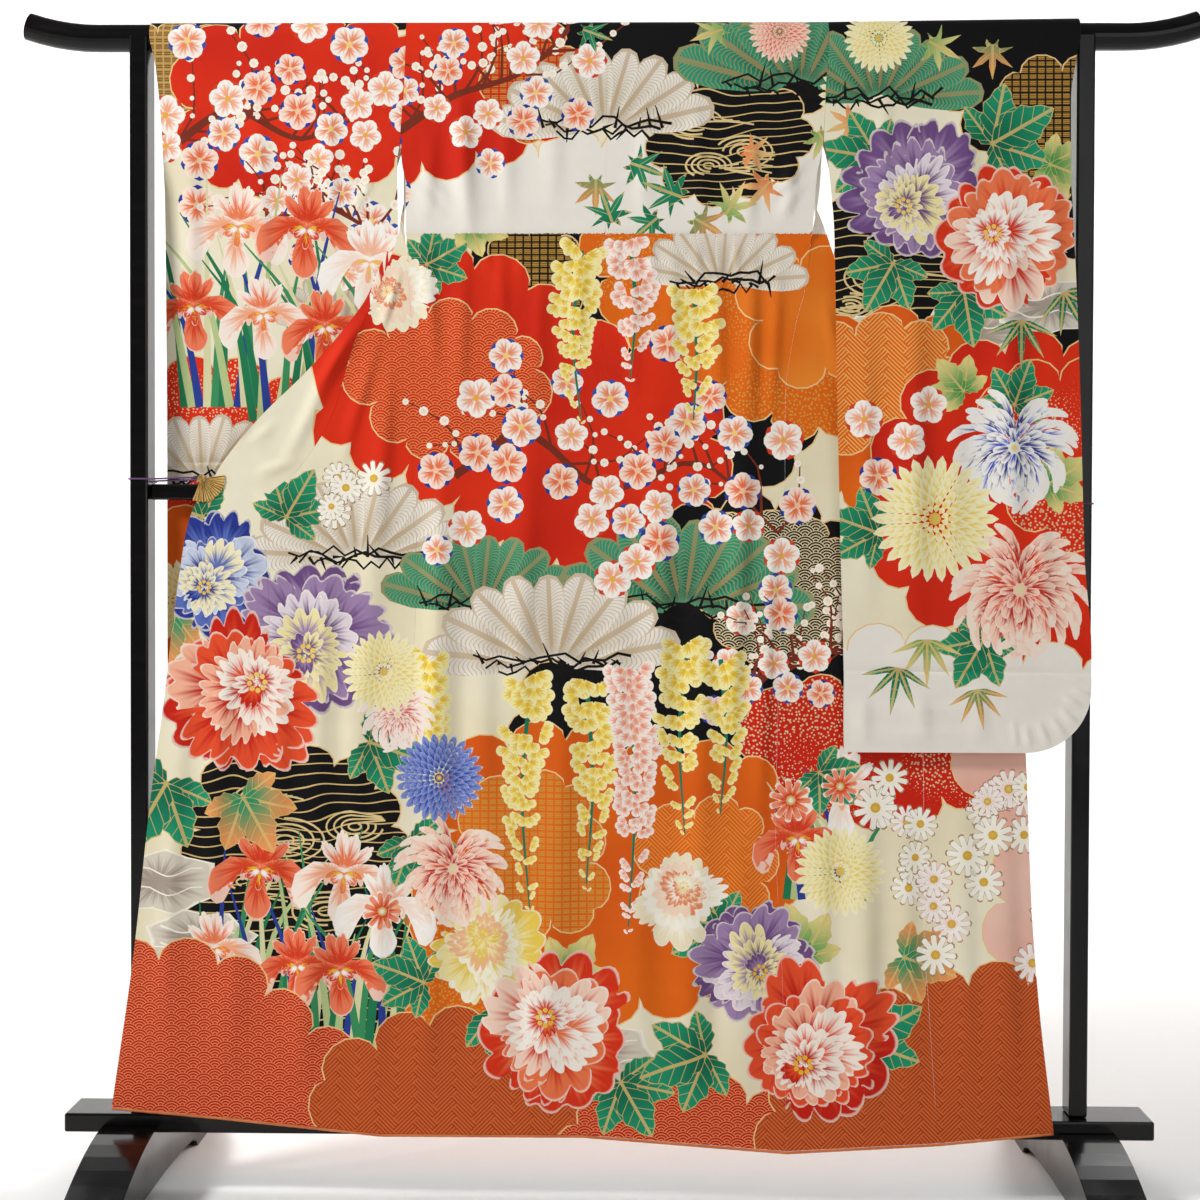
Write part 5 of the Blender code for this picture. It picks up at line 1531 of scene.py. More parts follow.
    def wisteria(self, at: Bloom) -> None:
        """A hanging wisteria cluster, broad at the top, with small pale buds at its tip.

        Args:
            at: Its place, size, turn and inks.
        """
        x, d, r, turn, inks = at
        florets = ((-1.0, 0.95, 0.42, 0), (1.0, 0.95, 0.42, 0), (0.0, 0.85, 0.30, 2))
        sway = math.sin(turn) * r * 0.35
        stem = self.curve([(x, d), (x + sway, d + r * 0.5), (x, d + r)], 9)
        self.band(stem, 0.7, 0.2, "1C7A58")
        levels = max(8, int(r / 1.75))
        for k in range(levels):
            part = k / (levels - 1)
            wide = 3.4 * (1 - part) ** 0.9 * (0.55 + 1.6 * min(part, 0.28)) + 0.4
            fx = x + sway * math.sin(part * math.pi)
            size = 1.85 * (1 - part) ** 0.6 + 0.45
            for side in (-1.0, 1.0, -0.3, 0.4) if part < 0.6 else (-1.0, 1.0):
                cx = fx + side * wide * self.chance.uniform(0.45, 0.85)
                cd = d + r * part + self.chance.uniform(-0.8, 0.8)
                lean = math.pi / 2 - side * 0.8 + self.chance.uniform(-0.5, 0.5)
                if self.chance.uniform() < 0.14:
                    continue
                for off, long, broad, ink in florets:
                    self.petal(cx, cd, lean + off, 0.0, size * long, size * broad, (inks[ink], inks[1]))

    def pine(self, at: Bloom) -> None:
        """A spreading pine bough: a fan of feathered lobes over its dark twigs.

        Args:
            at: Its place, size, turn and inks.
        """
        x, d, r, turn, inks = at
        lobe = np.array([(0, 0.05), (0.3, 0.12), (0.6, 0.165), (0.85, 0.155), (0.97, 0.09), (1.0, 0.0)])
        lobe = np.concatenate([lobe, lobe[-2::-1] * (1, -1)])
        count = 9
        for k in sorted(range(count), key=lambda k: -abs(k - count // 2)):
            lean = (k / (count - 1) - 0.5) * 2
            angle = turn - math.pi / 2 + lean * 1.42
            long = r * (0.80 + 0.24 * abs(lean))
            root = (x + lean * r * 0.20, d + abs(lean) * r * 0.04)
            shape = turned(lobe * long * (1, 1.12), angle) + root
            base = (root[0] + math.cos(angle) * long * 0.10, root[1] + math.sin(angle) * long * 0.10)
            self.lay(shape, Drawing.NEEDLES, inks[0], inks[1], base, angle)
        for row in range(3):
            reach = r * (0.75 - 0.12 * row)
            rows = self.chance.uniform(-0.9, 0.9, 13) + d + r * 0.07 * (row - 0.3)
            self.band(list(zip(x + reach * np.linspace(-1, 1, 13), rows)), 0.30, 0.42, inks[2])
        for k in range(11):
            sx = x + (k - 5) * r * 0.13
            foot = d + r * 0.05
            tip = (sx + self.chance.uniform(-1.6, 1.6), foot + self.chance.uniform(-3.4, 2.6))
            self.band([(sx, foot), tip], 0.5, 0.12, inks[2])

    def maple(self, at: Bloom) -> None:
        """A maple leaf of seven points.

        Args:
            at: Its place, size, turn and inks.
        """
        x, d, r, turn, inks = at
        reach = []
        for tip in (1.0, 0.92, 0.74, 0.50, 0.50, 0.74, 0.92):
            reach += [tip, tip * 0.55, 0.26, tip * 0.55]
        self.lay(ring(28, reach, turn) * r + (x, d), Drawing.LEAF, inks[0], inks[1], (x, d), turn)

    def leaf(self, at: Bloom) -> None:
        """One broad pointed leaf with a notched rim and its foot at (x, d).

        Args:
            at: Its place, size, turn and inks.
        """
        x, d, long, turn, inks = at
        shape = turned(np.concatenate([NOTCHED, NOTCHED[-2::-1] * (1, -1)]) * long, turn) + (x, d)
        middle = (x + math.cos(turn) * long * 0.45, d + math.sin(turn) * long * 0.45)
        self.lay(shape, Drawing.LEAF, inks[0], inks[1], middle, turn)

    def leaves(self, at: Bloom) -> None:
        """A spray of five broad leaves.

        Args:
            at: Its place, size, turn and inks.
        """
        x, d, r, turn, inks = at
        for lean, long in ((-1.7, 0.66), (1.7, 0.66), (-0.85, 0.88), (0.85, 0.88), (0.0, 1.0)):
            self.leaf(Bloom(x, d, r * long, turn + lean, inks))

    def bamboo(self, at: Bloom) -> None:
        """A spray of bamboo leaves: narrow blades from one point.

        Args:
            at: Its place, size, turn and inks.
        """
        x, d, r, turn, inks = at
        blade = np.array([(0, 0), (0.25, 0.085), (0.6, 0.065), (1, 0), (0.6, -0.065), (0.25, -0.085)])
        for lean in (-1.15, -0.55, 0.0, 0.6, 1.2):
            long = r * (1 - 0.18 * abs(lean))
            middle = (x + math.cos(turn + lean) * long * 0.4, d + math.sin(turn + lean) * long * 0.4)
            shape = turned(blade * long, turn + lean) + (x, d)
            self.lay(shape, Drawing.LEAF, inks[0], inks[1], middle, turn + lean)

    def swirl(self, at: Bloom) -> None:
        """A coil of flowing water with a tail.

        Args:
            at: Its place, size, turn and inks.
        """
        x, d, r, turn, inks = at
        for k in range(4):
            reach = r * (0.18 + 0.21 * k)
            turns = np.linspace(turn + 0.4 * k, turn + 5.6, 22)
            path = [(x + math.cos(a) * reach, d + math.sin(a) * reach * 0.55) for a in turns]
            path.append((path[-1][0] + r * 0.9, path[-1][1] + 0.4 * (k - 1)))
            self.band(path, 0.30, 0.24, inks[0])

    def rock(self, at: Bloom) -> None:
        """A low rock with washed shading, a pale edge and two crooked lines.

        Args:
            at: Its place, size, turn and inks.
        """
        x, d, r, turn, inks = at
        rim = ring(14, (1.0, 0.84, 0.95, 0.74, 0.92, 0.80), turn) * (r, r * 0.55)
        self.lay(rim * 1.05 + (x, d), Drawing.PLAIN, "F6F1E2")
        self.lay(rim + (x, d), Drawing.PETAL, inks[0], inks[1], (x, d))
        for lift in (-0.16, 0.14):
            along = np.linspace(-0.7, 0.7, 9)
            path = [(x + r * t, d + r * lift + r * 0.07 * math.sin(7 * t + turn)) for t in along]
            self.band(self.curve(path, 16), 0.28, 0.14, "F6F1E2")

    def blossom_branch(
        self, path: Sequence[tuple[float, float]], blossoms: int, size: float, spread: float = 1.5
    ) -> None:
        """A plum branch with twigs and buds, and blossoms crowded along it.

        Args:
            path: A few points that it runs through.
            blossoms: How many blossoms it bears.
            size: A blossom's radius.
            spread: How far they stray from it, in radii.
        """
        line = self.curve(path, 22)
        self.band(line, 1.3, 0.4, BARK)
        for k in range(1, 22):
            x, d = line[k]
            lean = self.chance.uniform(-1.5, 1.5) - math.pi / 2
            long = self.chance.uniform(6, 13)
            bend = (x + math.cos(lean + 0.3) * long * 0.5, d + math.sin(lean + 0.3) * long * 0.5)
            tip = (x + math.cos(lean) * long, d + math.sin(lean) * long)
            twig = self.curve([(x, d), bend, tip], 6)
            self.band(twig, 0.45, 0.16, BARK)
            for spot in twig[2:]:
                aside = spot[0] + self.chance.uniform(-0.6, 0.6)
                self.disc(aside, spot[1], self.chance.uniform(0.35, 0.75), ("F3DDC0", "FDF6E8"), n=8)
        set_down: list[tuple[float, float]] = []
        tries = 0
        while len(set_down) < blossoms and tries < blossoms * 40:
            tries += 1
            x, d = line[self.chance.integers(0, 22)]
            x += self.chance.normal(0, size * spread)
            d += self.chance.normal(0, size * spread)
            if all(math.hypot(x - a, d - b) > size * 1.62 for a, b in set_down):
                set_down.append((x, d))
                r = size * self.chance.uniform(0.85, 1.12)
                inks = (PLUM_ORANGE, PLUM_WHITE, PLUM_BLUE)[len(set_down) % 3]
                self.plum(Bloom(x, d, r, self.chance.uniform(0, 6.28), inks))


# The dyes: plain colours, then each plant's inks in the order that its drawing takes them
VERMILION = "E2300E"
DEEP_RED = "CF230B"
ORANGE = "E4690F"
INK_BLACK = "0B090B"
CREAM = "F1E9CE"
CREAM_SHADE = "EDE2C0"
WHITE = "F1EBE0"
PALE_PINK = "F0C6B4"
THREAD_GOLD = "D9A548"
THREAD_CREAM = "E9D9AE"
PLUM_ORANGE = ("EE6F38", "FBE3D2", "2A3C96", "F7C9A0")
PLUM_WHITE = ("F6A57C", "FDF7EF", "D8401E", "F0B04A")
PLUM_BLUE = ("F08A5A", "FAF0E6", "3450A8", "F6D07A")
PEONY_RED = ("C81F0C", "E9502A", "F7B597", "FDF0E2")
PEONY_VERMILION = ("DB3414", "F07A4C", "FBD9C4", "FDF6EA")
PEONY_VIOLET = ("6E4C80", "A084AC", "E9DCE2", "F4E6A8")
PEONY_BLUE = ("26358C", "5A6FB8", "C9D2E6", "F3E9C0")
PEONY_YELLOW = ("EBCB52", "F6E9A8", "FBF6DC", "F2B98C")
PEONY_CREAM = ("F2E6C4", "FBF6E6", "F8D9C0", "E98A5C")
MUM_BLUE = ("2A48C4", "F6F4F0", "1E2F8C", "EFD98C")
MUM_RED = ("E2481C", "FBD2BC", "C4220C", "EFE3A6")
MUM_YELLOW = ("F0D468", "F9F0BE", "E9BE48", "D9C46A")
MUM_COBALT = ("2B3FA2", "7E90CC", "22307E", "F2D46A")
MUM_PINK = ("E8876A", "FBE9DF", "D85C40", "F0D890")
DAISY_CREAM = ("FBF3DC", "FCF8EC", "A98A62", "E9C34A")
DAISY_PINK = ("F8DFD2", "FDF6F0", "C48A72", "F0D06A")
DAISY_RED = ("DB3A1C", "F4936C", "FBEDE0", "FBF3DC")
IRIS_SALMON = ("EE7A4A", "FCEBDD", "F4A982")
IRIS_RED = ("D93A1A", "F2805A", "DB4420")
IRIS_WHITE = ("F6B898", "FDF8F0", "FBE4D4")
WISTERIA_GOLD = ("E9BC22", "FBEFA4", "F5D548")
WISTERIA_PINK = ("EE9270", "FDEEE4", "F6BCA2")
PINE_GREEN = ("0B6B50", "2F9C76", "120E0C")
PINE_WHITE = ("CFC3AE", "F3EDE2", "120E0C")
PINE_GREY = ("A9A295", "E2DBCD", "120E0C")
LEAF_GREEN = ("0A6B4C", "1F9A6E")
LEAF_LIME = ("4E9A4E", "E9DC8E")
LEAF_AUTUMN = ("2C9464", "F29A58")
LEAF_RUST = ("E0662A", "F7C88A")
BLADES = ("1F7A50", "B9C98C", "2A3F94", "DCD9A8", "3A8F5C")
STONE = ("A8998C", "D8CFBE")
WATER_INK = "DDBE7C"
WATER_COIL = ("E2C98E",)

Rows = Sequence[tuple[float, float, float, float, tuple[str, ...]]]


def plant(design: Print, flower: Flower, rows: Rows) -> None:
    """Grows one kind of plant in many places. A row is its place, size, turn and palette."""
    for x, down, size, turn, palette in rows:
        getattr(design, flower.value)(Bloom(x, down, size, math.radians(turn), palette))


def irises(design: Print, rows: Sequence[tuple[float, float, float, tuple[str, ...]]]) -> None:
    """Iris clumps: a tuft of blades under two blossoms.

    Args:
        design: The print.
        rows: Each clump's place across, its foot, its height and inks.
    """
    for x, down, tall, palette in rows:
        design.blades(Bloom(x, down, tall, 0.0, BLADES))
    for x, down, tall, palette in rows:
        other = IRIS_SALMON if palette is IRIS_RED else IRIS_RED
        design.iris(Bloom(x + 2.5, down - tall * 0.86, 6.0, 0.1, palette))
        design.iris(Bloom(x - 4.0, down - tall * 0.48, 5.4, -0.15, other))


def scatter(
    design: Print,
    count: int,
    low: tuple[float, float],
    high: tuple[float, float],
    sizes: tuple[float, float],
    palettes: Sequence[tuple[str, ...]],
) -> None:
    """Strews small daisies over an oblong place.

    Args:
        design: The print.
        count: How many daisies.
        low: The least place across and down, in centimetres.
        high: The greatest.
        sizes: The least and the greatest radius.
        palettes: The inks, taken in turn.
    """
    for k in range(count):
        x, d = design.chance.uniform(low[0], high[0]), design.chance.uniform(low[1], high[1])
        design.daisy(Bloom(x, d, design.chance.uniform(*sizes), 0.7 * k, palettes[k % len(palettes)]))


def paint_body() -> Print:
    """The print across the back, the fronts and the okumi.

    Returns:
        The print.
    """
    p = Print(chance=np.random.default_rng(11), window=(0.0, TUCK))
    # Above the waist tuck: the ground's banks
    p.bank(
        [(-36, 15), (-16, 22), (2, 19), (18, 27), (36, 17), (36, 31.5), (-36, 31.5)],
        Drawing.PLAIN, WHITE, WHITE, 5.0,
    )
    p.bank(
        [(-34, -4), (34, -4), (33, 9), (26, 14), (20, 6), (4, 8), (-6, 5), (-33, 4)],
        Drawing.PLAIN, INK_BLACK, INK_BLACK, 3.6,
    )
    p.bank(
        [(-36, 1), (-20, -1), (-7, 4), (-5, 12), (-14, 19), (-36, 23)],
        Drawing.PLAIN, VERMILION, DEEP_RED, 4.2,
    )
    p.bank([(-17, 8), (-8, 5), (-4, 10), (-6, 16), (-15, 17)], Drawing.BROCADE, DEEP_RED, THREAD_GOLD, 2.8)
    p.bank(
        [(7, 12), (20, 10), (27, 15), (26, 23), (12, 26), (6, 20)],
        Drawing.WATER, INK_BLACK, WATER_INK, 3.0,
    )
    plant(p, Flower.SWIRL, (
        (12, 16, 5, 23, WATER_COIL), (19, 20, 5, 137, WATER_COIL), (14, 22, 4, 60, WATER_COIL),
    ))
    # Below it
    p.window = (TUCK, BELOW_ALL)
    p.bank(
        [(-17, 31.5), (10, 31.5), (20, 44), (27, 50), (26, 64), (6, 70), (-12, 62)],
        Drawing.PLAIN, INK_BLACK, INK_BLACK, 4.4,
    )
    p.bank([(-16, 32), (-6, 32), (-4, 42), (-12, 44)], Drawing.BROCADE, INK_BLACK, THREAD_GOLD, 2.6)
    p.bank(
        [(-2, 30), (36, 30), (37, 54), (28, 60), (16, 52), (2, 44)],
        Drawing.SPOTS, ORANGE, THREAD_GOLD, 4.4,
    )
    p.bank([(20, 37), (36, 36), (36, 50), (24, 51)], Drawing.PLAIN, ORANGE, "EE8A2A", 3.6)
    p.bank(
        [(-42, 46), (-30, 36), (-14, 37), (-6, 46), (10, 52), (15, 62), (12, 76), (-12, 78), (-24, 66),
         (-40, 60)],
        Drawing.PLAIN, VERMILION, DEEP_RED, 4.8,
    )
    p.bank([(-37, 50), (-24, 42), (-10, 48), (-12, 60), (-28, 62)], Drawing.WAVES, DEEP_RED, "E98B4E", 3.8)
    p.bank(
        [(8, 74), (28, 70), (37, 82), (37, 104), (20, 112), (-4, 114), (-14, 104), (-6, 92)],
        Drawing.PLAIN, INK_BLACK, INK_BLACK, 4.4,
    )
    p.bank([(14, 74), (30, 73), (36, 84), (28, 92), (16, 89)], Drawing.WAVES, INK_BLACK, THREAD_CREAM, 3.4)
    p.bank(
        [(20, 100), (38, 95), (56, 98), (56, 108), (40, 114), (24, 110)],
        Drawing.SPOTS, DEEP_RED, THREAD_CREAM, 4.0,
    )
    p.bank(
        [(-22, 108), (-8, 103), (8, 108), (22, 106), (26, 122), (18, 138), (-4, 141), (-20, 132)],
        Drawing.PLAIN, ORANGE, "DC5A10", 4.8,
    )
    p.bank([(-19, 112), (-4, 110), (-2, 128), (-16, 130)], Drawing.BROCADE, ORANGE, THREAD_GOLD, 3.6)
    p.bank([(6, 116), (21, 113), (22, 128), (8, 130)], Drawing.WICKER, ORANGE, "F0A050", 3.4)
    p.bank(
        [(-33, 126), (-20, 122), (-15, 138), (-18, 152), (-34, 156)],
        Drawing.SPOTS, ORANGE, THREAD_GOLD, 4.4,
    )
    p.bank(
        [(50, 104), (66, 104), (70, 112), (72, 142), (58, 144), (56, 128), (60, 116)],
        Drawing.PLAIN, PALE_PINK, "EDB7A4", 4.8,
    )
    p.bank(
        [(-58, 110), (-42, 106), (-31, 112), (-30, 150), (-48, 148), (-58, 128)],
        Drawing.WATER, INK_BLACK, WATER_INK, 3.6,
    )
    plant(p, Flower.SWIRL, (
        (-46, 118, 7, 200, WATER_COIL), (-40, 128, 6, 40, WATER_COIL), (-52, 124, 5, 100, WATER_COIL),
        (-36, 116, 5, 300, WATER_COIL), (-38, 138, 5, 20, WATER_COIL), (-50, 112, 4, 20, WATER_COIL),
    ))
    plant(p, Flower.ROCK, (
        (-64, 124, 9, 20, STONE), (-58, 132, 8, 200, STONE), (-66, 137, 8, 90, STONE),
        (-2, 148, 9, 10, STONE), (10, 152, 8, 120, STONE), (60, 141, 6, 60, STONE),
    ))
    # Above the tuck: the plants
    p.window = (0.0, TUCK)
    plant(p, Flower.PINE, ((-1, 16, 13, -4, PINE_WHITE), (27, 10, 15, 6, PINE_GREEN)))
    p.blossom_branch([(-30, 17), (-22, 12), (-13, 9), (-6, 3)], 17, 2.4, 1.9)
    plant(p, Flower.MAPLE, (
        (4, 22, 4.4, 20, LEAF_GREEN), (-2, 25, 4.2, 90, LEAF_AUTUMN), (9, 26, 4.8, 200, LEAF_GREEN),
        (17, 28, 4.4, 300, LEAF_LIME), (22, 25, 4.2, 130, LEAF_RUST), (13, 30, 4.2, 30, LEAF_AUTUMN),
        (30, 18, 3.8, 60, LEAF_LIME), (15, 3, 4.0, 160, LEAF_LIME), (20, 1, 3.8, 240, LEAF_AUTUMN),
        (-3, 3, 3.6, 20, LEAF_GREEN), (34, 6, 4.2, 100, LEAF_RUST), (20, 20, 3.6, 10, LEAF_RUST),
        (0, 29, 4.4, 250, LEAF_GREEN), (6, 30, 4.0, 140, LEAF_GREEN),
    ))
    plant(p, Flower.RAYED, ((24, 3, 4.5, 0, MUM_RED), (35, 12, 5.5, 0, MUM_YELLOW)))
    # Below it, with the hem's banks laid over the irises
    p.window = (TUCK, BELOW_ALL)
    plant(p, Flower.PINE, (
        (16, 38, 10, 4, PINE_WHITE),
        (-36, 77, 13, -6, PINE_WHITE), (-18, 84, 12, 6, PINE_GREEN), (11, 84, 15, 8, PINE_GREEN),
        (-8, 92, 15, -3, PINE_WHITE), (46, 92, 9, 0, PINE_GREEN), (42, 60, 8, 8, PINE_GREY),
    ))
    p.blossom_branch([(-22, 66), (-12, 60), (0, 68), (12, 64), (24, 74)], 36, 2.6, 2.2)
    p.blossom_branch([(18, 98), (26, 92), (35, 90)], 9, 2.3)
    plant(p, Flower.WISTERIA, (
        (-4, 34, 24, -8, WISTERIA_GOLD), (3, 33, 19, 6, WISTERIA_PINK), (12, 40, 18, 4, WISTERIA_GOLD),
        (-11, 95, 33, -6, WISTERIA_GOLD), (-3, 96, 28, 5, WISTERIA_GOLD), (3, 94, 36, 4, WISTERIA_PINK),
        (11, 90, 27, -5, WISTERIA_GOLD), (16, 92, 22, 6, WISTERIA_GOLD), (-26, 92, 24, 4, WISTERIA_GOLD),
    ))
    irises(p, ((-52, 148, 30, IRIS_RED), (-40, 152, 34, IRIS_SALMON), (-34, 148, 24, IRIS_WHITE)))
    p.bank(
        [(-80, 138), (-66, 135), (-54, 136), (-42, 146), (-30, 156), (-24, 168), (-80, 168)],
        Drawing.WAVES, "B81C0C", "F08A58", 4.6,
    )
    p.bank(
        [(-40, 152), (-26, 144), (-12, 147), (0, 158), (6, 170), (-34, 170)],
        Drawing.WICKER, "D2642E", "8A1B0B", 4.6,
    )
    p.bank(
        [(-4, 158), (10, 153), (24, 156), (34, 162), (30, 172), (-4, 172)],
        Drawing.WAVES, "B81C0C", "F08A58", 4.4,
    )
    p.bank(
        [(24, 156), (36, 143), (50, 138), (66, 138), (74, 142), (74, 172), (26, 172)],
        Drawing.WICKER, "D2642E", "8A1B0B", 4.8,
    )
    irises(p, ((31, 126, 18, IRIS_WHITE),))
    plant(p, Flower.LEAVES, (
        (-58, 72, 9, 200, LEAF_GREEN), (-46, 72, 8, 300, LEAF_GREEN), (-62, 86, 9, 150, LEAF_AUTUMN),
        (-34, 104, 9, 20, LEAF_GREEN), (-63, 110, 11, 120, LEAF_GREEN), (-52, 112, 9, 60, LEAF_AUTUMN),
        (-28, 118, 8, 60, LEAF_GREEN), (-16, 142, 10, 30, LEAF_GREEN), (-6, 138, 8, 300, LEAF_LIME),
        (-26, 138, 8, 200, LEAF_GREEN), (2, 152, 9, 60, LEAF_GREEN), (16, 130, 9, 200, LEAF_GREEN),
        (14, 148, 10, 160, LEAF_GREEN), (36, 146, 10, 330, LEAF_GREEN), (42, 134, 8, 20, LEAF_AUTUMN),
        (28, 134, 8, 250, LEAF_LIME), (-36, 34, 7, 200, LEAF_LIME), (-26, 36, 7, 330, LEAF_GREEN),
        (-20, 30, 6, 20, LEAF_LIME), (30, 108, 7, 40, LEAF_GREEN), (50, 80, 8, 60, LEAF_GREEN),
    ))
    plant(p, Flower.PEONY, (
        (-56, 80, 9.0, 0, PEONY_BLUE), (-42, 88, 12.0, 20, PEONY_VIOLET), (-53, 98, 12.5, 40, PEONY_RED),
        (-17, 134, 8.5, 10, PEONY_YELLOW), (-7, 146, 12.0, 0, PEONY_VERMILION),
        (20, 134, 9.5, 30, PEONY_VIOLET), (29, 146, 12.0, 15, PEONY_RED), (10, 126, 6.5, 40, PEONY_CREAM),
        (-30, 40, 5.5, 0, PEONY_CREAM), (48, 72, 7.0, 0, PEONY_VERMILION), (55, 92, 6.5, 20, PEONY_CREAM),
    ))
    plant(p, Flower.CHRYSANTHEMUM, ((-22, 122, 8.0, 0, MUM_RED), (-30, 100, 5.5, 0, MUM_PINK)))
    plant(p, Flower.RAYED, (
        (-24, 109, 6.5, 0, MUM_COBALT), (-32, 94, 6.0, 0, MUM_YELLOW), (33, 122, 6.5, 0, MUM_YELLOW),
    ))
    plant(p, Flower.DAISY, (
        (26, 112, 3.0, 0, DAISY_RED), (33, 110, 2.6, 20, DAISY_RED), (38, 113, 3.2, 0, DAISY_CREAM),
        (-32, 128, 2.8, 0, DAISY_RED),
    ))
    scatter(p, 26, (40, 108), (64, 138), (2.3, 3.1), (DAISY_CREAM, DAISY_PINK, DAISY_CREAM))
    scatter(p, 7, (-40, 66), (-28, 74), (1.8, 2.6), (DAISY_CREAM,))
    return p


def paint_left_sleeve() -> Print:
    """The print of the left sleeve.

    Returns:
        The print.
    """
    p = Print(chance=np.random.default_rng(12))
    p.bank([(-72, -4), (-28, -4), (-28, 2), (-50, 4), (-72, 8)], Drawing.PLAIN, INK_BLACK, INK_BLACK, 3.6)
    p.bank([(-70, 4), (-56, 2), (-54, 10), (-59, 18), (-70, 17)], Drawing.BROCADE, "C8A05A", "5A3410", 3.0)
    p.bank(
        [(-60, 6), (-46, 2), (-28, 4), (-26, 20), (-42, 22), (-58, 24)],
        Drawing.PLAIN, VERMILION, DEEP_RED, 4.2,
    )
    p.bank(
        [(-72, 54), (-56, 51), (-44, 55), (-40, 68), (-56, 73), (-72, 70)],
        Drawing.SPOTS, VERMILION, THREAD_CREAM, 4.2,
    )
    p.bank([(-74, 76), (-52, 72), (-26, 77), (-24, 110), (-74, 110)], Drawing.PLAIN, ORANGE, "DA5A12", 4.6)
    plant(p, Flower.PINE, (
        (-59, 66, 11, -3, PINE_WHITE), (-38, 44, 9, 5, PINE_GREY), (-40, 84, 11, 0, PINE_GREEN),
    ))
    p.blossom_branch([(-64, 20), (-54, 14), (-44, 18), (-34, 12)], 26, 2.6, 2.2)
    p.blossom_branch([(-50, 30), (-42, 27), (-34, 31)], 8, 2.4)
    irises(p, ((-56, 56, 30, IRIS_SALMON), (-46, 58, 32, IRIS_RED), (-37, 56, 24, IRIS_WHITE)))
    plant(p, Flower.LEAVES, (
        (-52, 88, 10, 200, LEAF_GREEN), (-36, 96, 10, 20, LEAF_AUTUMN), (-60, 98, 8, 60, LEAF_GREEN),
    ))
    plant(p, Flower.PEONY, ((-52, 92, 10, 0, PEONY_RED), (-38, 100, 8, 20, PEONY_CREAM)))
    plant(p, Flower.RAYED, ((-62, 84, 6.0, 0, MUM_YELLOW),))
    return p


def paint_collar() -> Print:
    """The print of the collar, laid out along it from its left end.

    Returns:
        The print.
    """
    p = Print(chance=np.random.default_rng(14))
    p.bank([(-2, -2), (8, -2), (8, 12), (-2, 14)], Drawing.PLAIN, VERMILION, DEEP_RED, 3.4)
    p.bank([(-2, 26), (8, 24), (8, 40), (-2, 42)], Drawing.PLAIN, INK_BLACK, INK_BLACK, 3.4)
    p.bank([(-2, 52), (8, 52), (8, 62), (-2, 66)], Drawing.WAVES, DEEP_RED, "E98B4E", 3.4)
    p.bank([(-2, 78), (8, 76), (8, 100), (-2, 100)], Drawing.PLAIN, VERMILION, DEEP_RED, 3.4)
    for k in range(26):
        inks = (PLUM_ORANGE, PLUM_WHITE, PLUM_BLUE)[k % 3]
        p.plum(Bloom(p.chance.uniform(0, 6), 3.4 * k + 2, p.chance.uniform(1.5, 2.3), k, inks))
    return p


